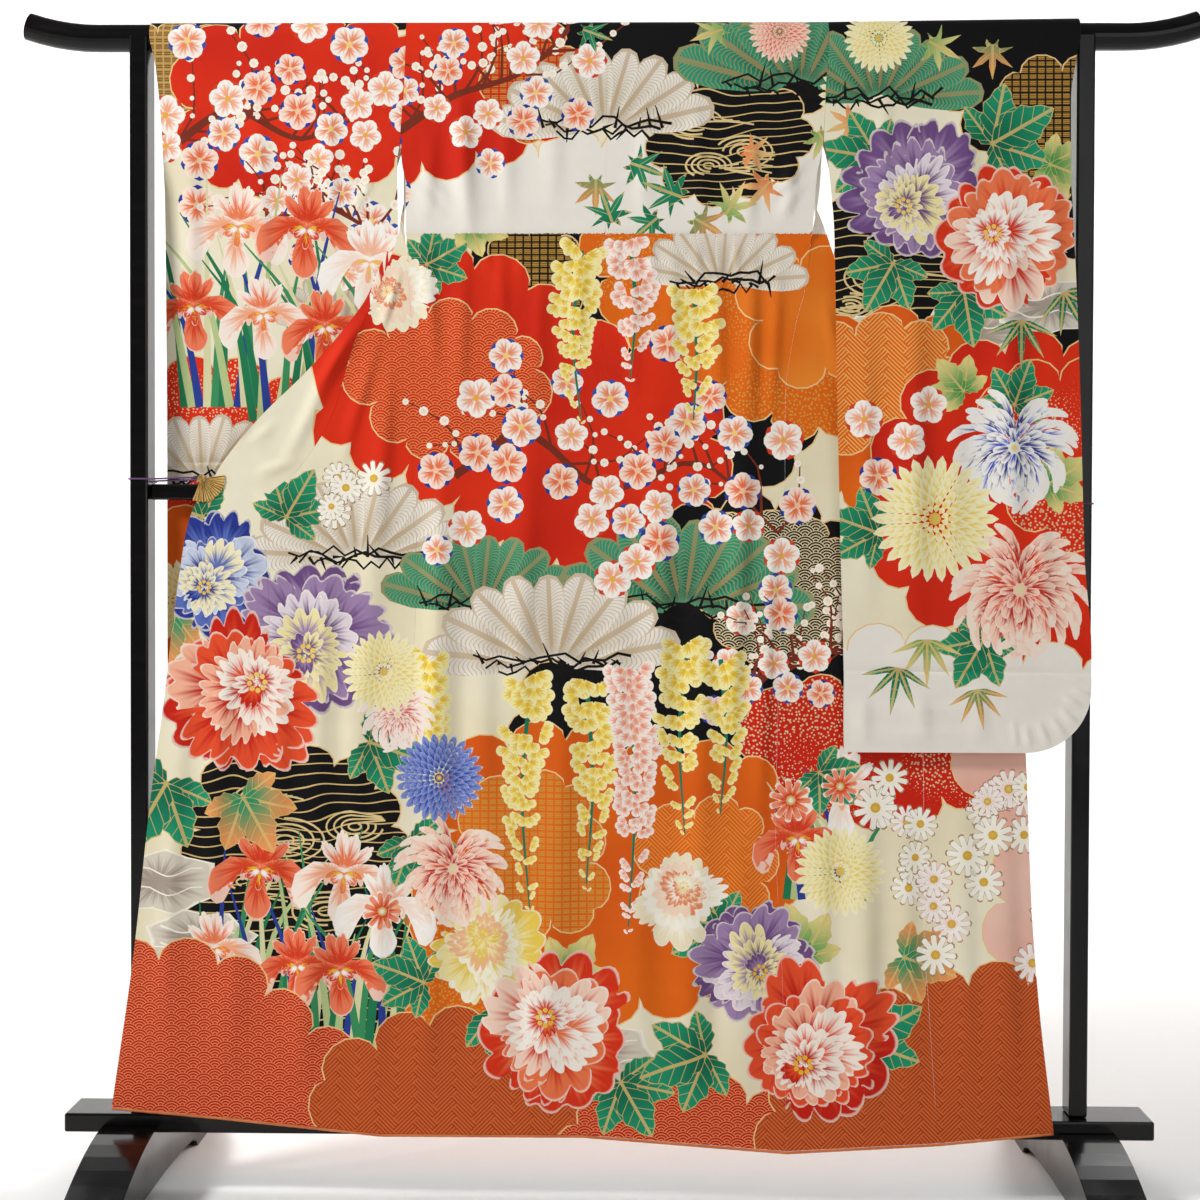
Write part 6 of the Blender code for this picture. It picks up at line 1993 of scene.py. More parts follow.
def paint_right_sleeve() -> Print:
    """The print of the right sleeve.

    Returns:
        The print.
    """
    p = Print(chance=np.random.default_rng(13))
    p.bank(
        [(28, -4), (72, -4), (72, 34), (60, 31), (54, 18), (46, 8), (28, 6)],
        Drawing.PLAIN, INK_BLACK, INK_BLACK, 4.0,
    )
    p.bank([(58, 9), (70, 9), (72, 24), (62, 27), (56, 18)], Drawing.BROCADE, INK_BLACK, THREAD_GOLD, 3.0)
    p.bank([(30, 30), (44, 28), (50, 38), (44, 46), (30, 46)], Drawing.WATER, INK_BLACK, WATER_INK, 3.6)
    plant(p, Flower.SWIRL, (
        (38, 38, 6, 20, WATER_COIL), (34, 42, 4, 200, WATER_COIL), (45, 33, 4, 120, WATER_COIL),
    ))
    p.bank([(62, 44), (74, 42), (74, 56), (64, 55)], Drawing.PLAIN, INK_BLACK, INK_BLACK, 3.6)
    plant(p, Flower.ROCK, ((52, 46, 9, 20, STONE), (62, 42, 8, 200, STONE), (38, 47, 7, 90, STONE)))
    p.bank([(28, 48), (42, 44), (52, 49), (50, 60), (44, 68), (28, 68)], Drawing.PLAIN, ORANGE, "DC5A10", 4.4)
    p.bank([(28, 48), (41, 45), (50, 51), (44, 60), (28, 60)], Drawing.WICKER, ORANGE, "F2C878", 3.6)
    p.bank(
        [(42, 58), (50, 50), (60, 48), (74, 52), (75, 90), (60, 94), (50, 86), (40, 80), (38, 70)],
        Drawing.PLAIN, VERMILION, DEEP_RED, 4.8,
    )
    p.bank([(56, 53), (74, 52), (74, 74), (62, 74), (54, 62)], Drawing.SPOTS, VERMILION, THREAD_CREAM, 4.0)
    p.bank([(26, 94), (38, 89), (52, 92), (74, 94), (76, 112), (26, 112)], Drawing.PLAIN, WHITE, WHITE, 4.8)
    plant(p, Flower.PINE, ((38, 12, 12, 5, PINE_GREEN),))
    plant(p, Flower.MAPLE, (
        (46, 5, 4.2, 30, LEAF_LIME), (54, 6, 4.0, 90, LEAF_AUTUMN), (34, 16, 3.8, 160, LEAF_RUST),
    ))
    plant(p, Flower.LEAVES, (
        (38, 21, 9, 190, LEAF_GREEN), (54, 19, 10, 330, LEAF_GREEN), (62, 22, 7, 20, LEAF_LIME),
        (40, 36, 8, 120, LEAF_GREEN), (50, 40, 8, 80, LEAF_GREEN), (57, 56, 7, 290, LEAF_GREEN),
        (50, 54, 6, 230, LEAF_LIME), (38, 74, 8, 200, LEAF_GREEN), (62, 67, 7, 330, LEAF_LIME),
        (53, 89, 8, 120, LEAF_GREEN),
    ))
    plant(p, Flower.PEONY, ((44, 26, 10.5, 0, PEONY_VIOLET), (57, 33, 11.0, 10, PEONY_VERMILION)))
    p.rayed(Bloom(38, 4, 5.0, 0.4, MUM_YELLOW))
    for x, d in ((36, 58), (42, 61), (38, 66), (45, 56)):
        p.plum(Bloom(x, d, 2.7, x, PLUM_WHITE if d < 62 else PLUM_ORANGE))
    plant(p, Flower.CHRYSANTHEMUM, ((57, 62, 9.0, 0, MUM_BLUE), (58, 82, 10.0, 0, MUM_RED)))
    plant(p, Flower.RAYED, ((46, 72, 9.0, 0, MUM_YELLOW),))
    plant(p, Flower.BAMBOO, (
        (45, 89, 7, 90, LEAF_LIME), (41, 93, 7, 100, LEAF_GREEN), (52, 96, 6, 80, LEAF_AUTUMN),
        (58, 44, 7, 90, LEAF_GREEN), (64, 40, 7, 60, LEAF_GREEN),
    ))
    return p


# Settings that many nodes share: a mix of colours, and a smooth ramp. Its sockets 6 and 7 take the colours
MIX = {"output": 2, "data_type": "RGBA"}
SMOOTH = {"interpolation_type": "SMOOTHSTEP"}
Inked = tuple[Any, Any]


class NodeBench:
    """A material's nodes, with the places that its drawing starts from.

    Attributes:
        material: The material.
        tree: Its node tree.
        place: The point in the object's own frame.
        inks: The shape's two inks, as the sockets of a mix take them.
        x: The point across the shape's own frame.
        y: The point down it.
        far: How far the point is from the shape's middle, as a share of the way to its outline.
    """

    def __init__(self, name: str) -> None:
        """Starts a material of this name.

        Args:
            name: The material's name.
        """
        self.material = bpy.data.materials.new(name)
        self.material.use_nodes = True
        self.tree = self.material.node_tree
        self.tree.nodes.clear()
        self.place = self.add("TexCoord", output="Object")
        self.inks: dict[int, Any] = {}
        self.x = self.y = self.far = None

    def add(
        self,
        kind: str,
        *values: Any,
        inputs: dict[int | str, Any] | None = None,
        output: int | str = 0,
        **settings: Any,
    ) -> bpy.types.NodeSocket | None:
        """Adds a node with its settings and links.

        Args:
            kind: The node's type, with its operation after a dot where it has one.
            values: What goes into its first sockets: another node's output, a value to set, or None.
            inputs: What goes into its other sockets.
            output: Which of its outputs is wanted.
            settings: The node's own settings.

        Returns:
            The wanted output, or None where the node has none.
        """
        kind, _, operation = kind.partition(".")
        node = self.tree.nodes.new(f"ShaderNode{kind}")
        if operation:
            node.operation = operation
        for name, value in settings.items():
            setattr(node, name, value)
        for socket, source in {**dict(enumerate(values)), **(inputs or {})}.items():
            if isinstance(source, bpy.types.NodeSocket):
                self.tree.links.new(source, node.inputs[socket])
            elif source is not None:
                node.inputs[socket].default_value = source
        return node.outputs[output] if node.outputs else None

    def finish(self, **sockets: Any) -> bpy.types.Material:
        """Joins the shader up. Each socket is named with underscores for spaces.

        Args:
            sockets: What goes into the shader's sockets.

        Returns:
            The material.
        """
        inputs = {name.replace("_", " "): value for name, value in sockets.items()}
        self.add("OutputMaterial", self.add("BsdfPrincipled", inputs=inputs))
        return self.material


PALE_GOLD = (*linear("E8C77E"), 1.0)
PALE = (*linear("F8F0E0"), 1.0)
NEEDLE_GOLD = (*linear("C9A46A"), 1.0)
SHADE = (*linear("A89C90"), 1.0)


@dataclass(frozen=True)
class DyedCrepe:
    """Heavy silk crepe, paste resist dyed and touched with gold leaf.

    The eye sees a matt cloth with a fine pebbled grain, a soft sheen at grazing angles, flat clean colours
    with a pale resist line round each shape, and gold that is a little smoother and brighter than the dye.

    Attributes:
        drawing: The lines inside the shapes.
        roughness: The dyed cloth's roughness.
        grain: How many crepe pebbles there are to the metre. The real ones are 0.6 mm and are drawn at 1.6
            mm, the finest that shows.
        wave: The radius of a wave scale. The print's scales are 31 mm wide.
        strip: The width of a wicker strip, 13 mm.
        dot: The spacing of the strewn dots, 5.5 mm.
    """

    drawing: Drawing
    roughness: float = 0.68
    grain: float = 620.0
    wave: float = 0.0155
    strip: float = 0.013
    dot: float = 0.0055

    def make(self) -> bpy.types.Material:
        """Makes the material.

        Returns:
            The material.
        """
        bench = NodeBench(f"silk crepe, {self.drawing.value}")
        add = bench.add
        kind = {"attribute_type": "GEOMETRY"}
        for socket, ink in ((6, INK), (7, SECOND_INK)):
            bench.inks[socket] = add("Attribute", output="Color", attribute_name=ink, **kind)
        spot = add("Attribute", output="Vector", attribute_name=SPOT, **kind)
        bench.x, bench.y, bench.far = (add("SeparateXYZ", spot, output=k) for k in (0, 1, 2))
        colour, gold = getattr(self, f"draw_{self.drawing.name.lower()}")(bench)
        patchy = add("MapRange", add("TexNoise", bench.place, None, 38.0, 3.0), 0.30, 0.72, **SMOOTH)
        shaded = {6: colour, 7: SHADE}
        colour = add("Mix", add("Math.MULTIPLY", patchy, 0.04), inputs=shaded, blend_type="MULTIPLY", **MIX)
        pebbles = add("TexNoise", bench.place, None, self.grain, 1.5)
        matt = add("Math.MULTIPLY_ADD", gold, -0.26, self.roughness)
        height = add("Math.MULTIPLY_ADD", gold, 0.35, pebbles)
        return bench.finish(
            Base_Color=colour,
            Roughness=add("Math.MULTIPLY_ADD", pebbles, 0.08, matt),
            Metallic=add("Math.MULTIPLY", gold, 0.3),
            Normal=add("Bump", inputs={"Height": height, "Strength": 0.35, "Distance": 0.0005}),
            IOR=1.54,
            Specular_IOR_Level=0.14,
            Sheen_Weight=0.03,
            Sheen_Roughness=0.45,
        )

    def draw_plain(self, bench: NodeBench) -> Inked:
        """A ground brushed from one colour into the other."""
        clouds = bench.add("TexNoise", bench.place, None, 5.0, 1.0)
        cloudy = bench.add("MapRange", clouds, 0.38, 0.66, **SMOOTH)
        return bench.add("Mix", cloudy, inputs=bench.inks, **MIX), 0.0

    def draw_petal(self, bench: NodeBench) -> Inked:
        """A petal shaded outward, with faint veins and a pale resist line at its rim.

        Args:
            bench: The material's nodes.

        Returns:
            The colour, and how much gold leaf lies there.
        """
        add, far = bench.add, bench.far
        way = add("Math.ARCTAN2", bench.y, bench.x)
        strokes = add("Math.MULTIPLY", add("Math.SINE", add("Math.MULTIPLY", way, 13.0)), 0.13)
        hairs = add("Math.MULTIPLY", add("Math.SINE", add("Math.MULTIPLY", way, 37.0)), 0.09)
        brushed = add("Math.ADD", far, add("Math.ADD", strokes, hairs))
        colour = add("Mix", add("MapRange", brushed, 0.22, 0.86, **SMOOTH), inputs=bench.inks, **MIX)
        rim = add("Math.MULTIPLY", add("MapRange", far, 0.935, 0.975, **SMOOTH), 0.60)
        return add("Mix", rim, inputs={6: colour, 7: PALE}, **MIX), 0.0

    def draw_leaf(self, bench: NodeBench) -> Inked:
        """A leaf shaded along its length, with a gold midrib, side veins and rim.

        Args:
            bench: The material's nodes.

        Returns:
            The colour, and how much gold leaf lies there.
        """
        add = bench.add
        colour = add("Mix", add("MapRange", bench.x, -0.7, 0.9, **SMOOTH), inputs=bench.inks, **MIX)
        away = add("Math.ABSOLUTE", bench.y)
        rib = add("Math.LESS_THAN", away, 0.045)
        slant = add("Math.SUBTRACT", bench.x, add("Math.MULTIPLY", away, 0.8))
        vein = add("Math.LESS_THAN", add("Math.FRACT", add("Math.MULTIPLY", slant, 3.0)), 0.07)
        rim = add("Math.GREATER_THAN", bench.far, 0.94)
        gold = add("Math.MAXIMUM", rib, add("Math.MAXIMUM", vein, rim))
        return add("Mix", add("Math.MULTIPLY", gold, 0.75), inputs={6: colour, 7: PALE_GOLD}, **MIX), gold

    def draw_needles(self, bench: NodeBench) -> Inked:
        """A feathered pine lobe: a rib, and fine needles that slant from it to the rim.

        Args:
            bench: The material's nodes.

        Returns:
            The colour, and how much gold leaf lies there.
        """
        add, far = bench.add, bench.far
        colour = add("Mix", add("MapRange", far, 0.0, 1.0, **SMOOTH), inputs=bench.inks, **MIX)
        away = add("Math.ABSOLUTE", bench.y)
        slant = add("Math.MULTIPLY", add("Math.SUBTRACT", bench.x, add("Math.MULTIPLY", away, 1.1)), 24.0)
        line = add("Math.LESS_THAN", add("Math.FRACT", slant), 0.26)
        rim = add("Math.GREATER_THAN", far, 0.95)
        gold = add("Math.MAXIMUM", add("Math.MAXIMUM", line, add("Math.LESS_THAN", away, 0.03)), rim)
        return add("Mix", add("Math.MULTIPLY", gold, 0.55), inputs={6: colour, 7: NEEDLE_GOLD}, **MIX), gold

    def draw_waves(self, bench: NodeBench) -> Inked:
        """Overlapping scales of four arcs each. A row lies half a radius lower and over the one before.

        Args:
            bench: The material's nodes.

        Returns:
            The colour, and how much gold leaf lies there.
        """
        add, r = bench.add, self.wave
        row = add("Math.FLOOR", add("Math.DIVIDE", bench.y, r / 2))
        found: Any = None
        for step in (0, 1, 2):
            at = add("Math.ADD", row, float(step))
            shift = add("Math.MULTIPLY", add("Math.PINGPONG", at, 1.0), 0.5)
            across = add("Math.ADD", add("Math.DIVIDE", bench.x, 2 * r), shift)
            off = add("Math.SUBTRACT", add("Math.FRACT", add("Math.ADD", across, 0.5)), 0.5)
            dx = add("Math.MULTIPLY", off, 2.0)
            dy = add("Math.SUBTRACT", add("Math.MULTIPLY", at, 0.5), add("Math.DIVIDE", bench.y, r))
            square = add("Math.ADD", add("Math.MULTIPLY", dx, dx), add("Math.MULTIPLY", dy, dy))
            far = add("Math.SQRT", square)
            if found is None:
                found = far
            else:
                covers = add("Math.LESS_THAN", far, 1.0)
                found = add("Mix", covers, None, found, far, data_type="FLOAT")
        arc = add("Math.ADD", add("Math.MULTIPLY", found, 4.0), 0.30)
        line = add("Math.LESS_THAN", add("Math.FRACT", arc), 0.42)
        return add("Mix", add("Math.MULTIPLY", line, 0.9), inputs=bench.inks, **MIX), 0.0

    def draw_wicker(self, bench: NodeBench) -> Inked:
        """A slanted wicker of strips that pass over three and under three, with three lines to each.

        Args:
            bench: The material's nodes.

        Returns:
            The colour, and how much gold leaf lies there.
        """
        add = bench.add
        w = self.strip * 1.414
        u = add("Math.DIVIDE", add("Math.ADD", bench.x, bench.y), w)
        v = add("Math.DIVIDE", add("Math.SUBTRACT", bench.x, bench.y), w)
        cell = add("Math.ADD", add("Math.FLOOR", u), add("Math.FLOOR", v))
        over = add("Math.LESS_THAN", add("Math.FLOORED_MODULO", cell, 6.0), 3.0)
        along = add("Mix", over, None, u, v, data_type="FLOAT")
        line = add("Math.LESS_THAN", add("Math.FRACT", add("Math.MULTIPLY", along, 3.0)), 0.30)
        return add("Mix", add("Math.MULTIPLY", line, 0.85), inputs=bench.inks, **MIX), 0.0

    def draw_brocade(self, bench: NodeBench) -> Inked:
        """Blocks of gold foil in staggered rows on the ground.

        Args:
            bench: The material's nodes.

        Returns:
            The colour, and how much gold leaf lies there.
        """
        add = bench.add
        inputs = {
            "Vector": add("CombineXYZ", bench.x, bench.y), "Scale": 1.0, "Brick Width": self.strip * 0.9,
            "Row Height": self.strip * 0.7, "Mortar Size": self.strip * 0.09, "Mortar Smooth": 0.0,
        }
        brick = add("TexBrick", inputs=inputs, output="Fac", offset=0.5, offset_frequency=1)
        line = add("Math.LESS_THAN", add("Math.FRACT", add("Math.DIVIDE", bench.y, self.strip / 5)), 0.72)
        gold = add("Math.MULTIPLY", add("Math.SUBTRACT", 1.0, brick), line)
        return add("Mix", add("Math.MULTIPLY", gold, 0.8), inputs=bench.inks, **MIX), gold

    def draw_spots(self, bench: NodeBench) -> Inked:
        """Fine dots strewn over the ground, thick in some places and thin in others.

        Args:
            bench: The material's nodes.

        Returns:
            The colour, and how much gold leaf lies there.
        """
        add = bench.add
        inputs = {"Vector": add("CombineXYZ", bench.x, bench.y), "Scale": 1 / self.dot, "Randomness": 0.9}
        near = add("TexVoronoi", inputs=inputs, output="Distance", voronoi_dimensions="2D")
        crowd = add("MapRange", add("TexNoise", bench.place, None, 9.0, 1.0), 0.35, 0.6, **SMOOTH)
        dots = add("Math.LESS_THAN", near, add("Math.MULTIPLY", crowd, 0.26))
        return add("Mix", add("Math.MULTIPLY", dots, 0.8), inputs=bench.inks, **MIX), 0.0

    def draw_water(self, bench: NodeBench) -> Inked:
        """Flowing water: long lines about 13 mm apart that swirl and rejoin.

        Args:
            bench: The material's nodes.

        Returns:
            The colour, and how much gold leaf lies there.
        """
        spot = bench.add("CombineXYZ", bench.x, bench.y)
        inputs = {"Vector": spot, "Scale": 23.0, "Distortion": 13.0, "Detail": 1.0, "Detail Scale": 0.35}
        wave = bench.add("TexWave", inputs=inputs, output="Fac", wave_type="RINGS")
        return bench.add("Mix", bench.add("Math.GREATER_THAN", wave, 0.962), inputs=bench.inks, **MIX), 0.0

    def draw_lining(self, bench: NodeBench) -> Inked:
        """Plain habotai lining, with a coloured facing that is brushed in towards the foot."""
        facing = bench.add("MapRange", bench.y, 0.86, 1.06, **SMOOTH)
        return bench.add("Mix", facing, inputs=bench.inks, **MIX), 0.0


@dataclass(frozen=True)
class BlackLacquer:
    """Hardwood under polished black lacquer, sprayed and rubbed down.

    The eye sees a deep warm black with a clear even gloss, slightly orange peeled, with faint rubbing marks
    and a brown cast along the grain where the coat is thin.
    """

    name: str = "black lacquer on hardwood"
    body: str = "070606"
    cast: str = "100B0A"
    roughness: float = 0.17

    def make(self) -> bpy.types.Material:
        """Makes the material.

        Returns:
            The material.
        """
        bench = NodeBench(self.name)
        add = bench.add
        stretched = add("Mapping", bench.place, inputs={"Scale": (0.12, 1.0, 1.0)})
        grain = add("MapRange", add("TexNoise", stretched, None, 90.0, 4.0), 0.45, 0.75, **SMOOTH)
        colours = {6: (*linear(self.body), 1), 7: (*linear(self.cast), 1)}
        rubbed = add("MapRange", add("TexNoise", bench.place, None, 14.0, 3.0), 0.3, 0.8, **SMOOTH)
        peel = add("TexNoise", bench.place, None, 260.0, 1.0)
        return bench.finish(
            Base_Color=add("Mix", grain, inputs=colours, **MIX),
            Roughness=add("Math.MULTIPLY_ADD", rubbed, 0.14, self.roughness - 0.05),
            Normal=add("Bump", inputs={"Height": peel, "Strength": 0.06, "Distance": 0.0004}),
            IOR=1.53,
            Specular_IOR_Level=0.22,
            Coat_Weight=0.10,
            Coat_Roughness=0.06,
        )


@dataclass(frozen=True)
class OldBrass:
    """Stamped brass plate in fine pleats like a folding fan's, with a painted highlight on each pleat's back
    and painted shade between pleats, over random tarnish stains.

    Attributes:
        hub_x: Where the fan's hub is, across.
        hub_z: How high it is.
        pleats: How many pleats there are to a full turn.
        bright: The colour of the painted highlight on a pleat's back.
        dark: The colour of the painted shade between pleats.
    """

    hub_x: float
    hub_z: float = 1.029
    pleats: float = 48.0
    bright: str = "F8DA8E"
    dark: str = "B27F32"

    def make(self) -> bpy.types.Material:
        """Makes the material.

        Returns:
            The material.
        """
        bench = NodeBench("aged brass plate")
        add = bench.add
        spot = add("NewGeometry", output="Position")
        x, z = (add("SeparateXYZ", spot, output=k) for k in (0, 2))
        across = add("Math.SUBTRACT", x, self.hub_x)
        turn = add("Math.ARCTAN2", add("Math.SUBTRACT", z, self.hub_z), across)
        # The pleat wave paints a highlight on each pleat's back and shade between pleats; the stain noise
        # adds random tarnish.
        wave = add("Math.SINE", add("Math.MULTIPLY", turn, self.pleats))
        stain = add("TexNoise", bench.place, None, 160.0, 3.0)
        pleat_light_and_stain = add("MapRange", add("Math.ADD", add("Math.MULTIPLY", wave, 0.45), stain), 0.15, 0.85, **SMOOTH)
        colours = {6: (*linear(self.dark), 1), 7: (*linear(self.bright), 1)}
        return bench.finish(
            Base_Color=add("Mix", pleat_light_and_stain, inputs=colours, **MIX),
            Metallic=0.62,
            Roughness=add("Math.MULTIPLY_ADD", pleat_light_and_stain, -0.14, 0.44),
            Normal=add("Bump", inputs={"Height": wave, "Strength": 0.7, "Distance": 0.0006}),
        )


@dataclass(frozen=True)
class TwistedCord:
    """Twisted rayon cord of three strands, 2.5 mm thick: a glossy cord with slanting ridges, with a painted
    highlight on each ridge and painted shade between them.
    """

    name: str = "twisted rayon cord"
    lit: str = "7A4A86"
    deep: str = "3E2148"

    def make(self) -> bpy.types.Material:
        """Makes the material.

        Returns:
            The material.
        """
        bench = NodeBench(self.name)
        inputs = {"Vector": bench.place, "Scale": 210.0, "Distortion": 0.4}
        strands = bench.add("TexWave", inputs=inputs, output="Fac", bands_direction="DIAGONAL")
        # The strand wave paints a highlight in the lit colour on each ridge and shade in the deep colour
        # between ridges.
        colours = {6: (*linear(self.deep), 1), 7: (*linear(self.lit), 1)}
        return bench.finish(
            Base_Color=bench.add("Mix", strands, inputs=colours, **MIX),
            Roughness=bench.add("Math.MULTIPLY_ADD", strands, -0.15, 0.55),
            Normal=bench.add("Bump", inputs={"Height": strands, "Strength": 0.6, "Distance": 0.0006}),
            Sheen_Weight=0.25,
            Sheen_Roughness=0.4,
        )


@dataclass(frozen=True)
class PlainSilk:
    """Plain dyed silk crepe of one colour, with a fine pebbled grain and a soft sheen."""

    name: str
    colour: str
    shade: str
    roughness: float = 0.62
    grain: float = 620.0

    def make(self) -> bpy.types.Material:
        """Makes the material.

        Returns:
            The material.
        """
        bench = NodeBench(self.name)
        patches = bench.add("TexNoise", bench.place, None, 24.0, 3.0)
        patchy = bench.add("MapRange", patches, 0.3, 0.7, **SMOOTH)
        pebbles = bench.add("TexNoise", bench.place, None, self.grain, 1.5)
        colours = {6: (*linear(self.colour), 1), 7: (*linear(self.shade), 1)}
        return bench.finish(
            Base_Color=bench.add("Mix", patchy, inputs=colours, **MIX),
            Roughness=bench.add("Math.MULTIPLY_ADD", pebbles, 0.1, self.roughness),
            Normal=bench.add("Bump", inputs={"Height": pebbles, "Strength": 0.35, "Distance": 0.0005}),
            IOR=1.54,
            Sheen_Weight=0.22,
            Sheen_Roughness=0.45,
        )


def even_rows(upper: Sequence[float], lower: Sequence[tuple[float, float]]) -> list[tuple[float, float]]:
    """Rows that are level above and follow the seams below."""
    return [(d, d) for d in upper] + list(lower)


@dataclass
class Kimono:
    """The furisode: its backs, fronts, okumi, sleeves of two layers each, collar and hem roll."""

    shoulder: tuple[float, ...] = (0.0, QUARTER, 0.072, 0.113, 0.148, 0.183, 0.225, 0.273, 0.312, 0.319)
    sleeve_foot: float = 1.050
    white: str = "F4EFE6"
    facing: str = "D9793A"
    finishes: dict[Drawing, bpy.types.Material] = field(default_factory=dict)

    def dye(self) -> None:
        """Makes the silk's materials."""
        self.finishes = {drawing: DyedCrepe(drawing).make() for drawing in Drawing}

    def ground(self) -> Shape:
        """The undyed silk that everything is laid on."""
        return Shape(np.zeros((0, 2)), Drawing.PLAIN, linear(CREAM), linear(CREAM_SHADE))

    def body_sheets(self) -> list[Sheet]:
        """The backs, fronts and okumi.

        Returns:
            The backs, the fronts and the overlap pieces.
        """
        lining = (self.white, self.facing)
        left_rows = even_rows(self.shoulder, [(r.side, r.centre) for r in LEFT_LOWER])
        right_rows = even_rows(self.shoulder, [(r.centre, r.side) for r in RIGHT_LOWER])
        left_side = Edge(LEFT_FRONT_FAR_SIDE + tuple(s for s in LEFT_SIDE if s.down > 0.400))
        right_side = Edge(RIGHT_FRONT_FAR_SIDE + tuple(s for s in RIGHT_SIDE if s.down > 0.380))
        far = [(0.0, 0.0)] + [(r.side, r.edge) for r in FRONT_UPPER]
        left_front = far + [(r.side, r.okumi) for r in LEFT_LOWER]
        right_front = far + [(r.side, r.okumi) for r in RIGHT_LOWER]
        left_okumi = [(r.outer, r.okumi) for r in LEFT_LOWER[1:]]
        right_okumi = [(r.okumi, r.outer) for r in RIGHT_LOWER[1:]]
        folds = BODY_FOLDS + DOOR_FOLDS
        centre = Edge(CENTRE_SEAM)
        left_edge, right_edge = Edge(LEFT_FRONT_EDGE), Edge(RIGHT_FRONT_EDGE)
        rows = (
            ("left_back", Edge(LEFT_SIDE), centre, left_rows, 0.285, TUCK_ROWS),
            ("right_back", centre, Edge(RIGHT_SIDE), right_rows, 0.290, TUCK_ROWS),
            ("left_front", left_side, left_edge, left_front, 0.200, TUCK_ROWS),
            ("right_front", right_side, right_edge, right_front, 0.200, TUCK_ROWS),
            ("left_okumi", Edge(LEFT_OUTER), left_edge, left_okumi, 0.145, ()),
            ("right_okumi", right_edge, Edge(RIGHT_OUTER), right_okumi, 0.145, ()),
        )
        facts = {"folds": folds, "creases": BACK_CREASES, "lining": lining, "holds": CLIP_HOLDS}
        return [
            Sheet.between(*row[:4], width=row[4], pressed=row[5], turns="front" in row[0], **facts)
            for row in rows
        ]

    def sleeve_sheets(self) -> list[Sheet]:
        """The four layers of the two sleeves, left near, left far, right near, right far.

        Returns:
            The four layers.
        """
        rows = [(0.0, 0.0), (QUARTER, QUARTER), (self.sleeve_foot, self.sleeve_foot)]
        top = CUFF_OPENS_TO - 0.001
        near_left = Edge(LEFT_SLEEVE_NEAR_OUTER)
        near_right = Edge(RIGHT_SLEEVE_NEAR_OUTER)
        ends = (
            ("left_sleeve_back", near_left, Edge(LEFT_SIDE, Edge(LEFT_SLEEVE_NEAR_FREE), SEWN_TO)),
            (
                "left_sleeve_front", Edge(LEFT_SLEEVE_FAR_OUTER, near_left, top, LAYER_SPACING),
                Edge(LEFT_FRONT_FAR_SIDE, Edge(LEFT_SLEEVE_FAR_FREE), SEWN_TO),
            ),
            ("right_sleeve_back", Edge(RIGHT_SIDE, Edge(RIGHT_SLEEVE_NEAR_FREE), SEWN_TO), near_right),
            (
                "right_sleeve_front", Edge(RIGHT_FRONT_FAR_SIDE, Edge(RIGHT_SLEEVE_FAR_FREE), SEWN_TO),
                Edge(RIGHT_SLEEVE_FAR_OUTER, near_right, top, LAYER_SPACING),
            ),
        )
        made = []
        for name, left, right in ends:
            side = name.split("_")[0]
            facts = {
                "width": 0.340,
                "folds": SLEEVE_FOLDS if name == "right_sleeve_back" else (),
                "creases": LEFT_SLEEVE_CREASES if side == "left" else RIGHT_SLEEVE_CREASES,
                "lining": (self.white, self.white),
                "mirrored": "front" in name,
                "pressed": PRESSED_ROWS,
                "holds": RAIL_HOLDS,
            }
            made.append(Sheet.between(name, left, right, rows, corner=side, **facts))
        return made

    def collar(self) -> Sheet:
        """The collar, from the left side opening over the rail behind the neck to the right one.

        Returns:
            The collar's sheet.
        """
        columns = ([row.edge for row in FRONT_UPPER], [row.collar for row in FRONT_UPPER], COLLAR_EASE)
        halves = []
        for edge, free, gap in (
            (Edge(LEFT_FRONT_EDGE), Edge(COLLAR_LEFT_FREE), SEAM / 2),
            (Edge(RIGHT_FRONT_EDGE), Edge(COLLAR_RIGHT_FREE), -SEAM / 2),
        ):
            rows = []
            known = np.arange(len(FRONT_UPPER))
            for place_ in np.linspace(0.0, known[-1], 8 * known[-1] + 1):
                down, low, ease = (float(np.interp(place_, known, values)) for values in columns)
                x, y = (float(v) for v in edge.at(np.float64(down)))
                free_x, free_y = (float(v) for v in free.at(np.float64(low)))
                start, end = np.array([x + gap, down, y]), np.array([free_x, low, free_y])
                rows.append((start + (end - start) * ease / np.linalg.norm(end - start), end))
            free_x, free_y = (float(v) for v in free.at(np.float64(0.0)))
            for k in range(3, -1, -1):
                part = 1 - k / 4
                down = max(QUARTER * k / 4, SEAM / 2)
                x = float(edge.at(np.float64(down))[0])
                low = free.upper[0].down + (FRONT_TURN - free.upper[0].down) * part
                end = np.array([free_x * (1 - 0.15 * part), low, free_y + (WRAP - free_y) * part])
                rows.insert(0, (np.array([x + gap, down, WRAP]), end))
            halves.append(rows)
        neck = [
            (np.array([x, SEAM / 2, WRAP]), np.array([x * 0.55, FRONT_TURN, WRAP])) for x in COLLAR_NECK_X
        ]
        rows = halves[0][::-1] + neck + halves[1]
        left, right = (np.array([row[k] for row in rows]) for k in (0, 1))
        facts = {"mirrored": True, "turns": True, "creases": BACK_CREASES, "holds": CLIP_HOLDS}
        return Sheet.along("collar", left, right, lining=(CREAM, CREAM), **facts)

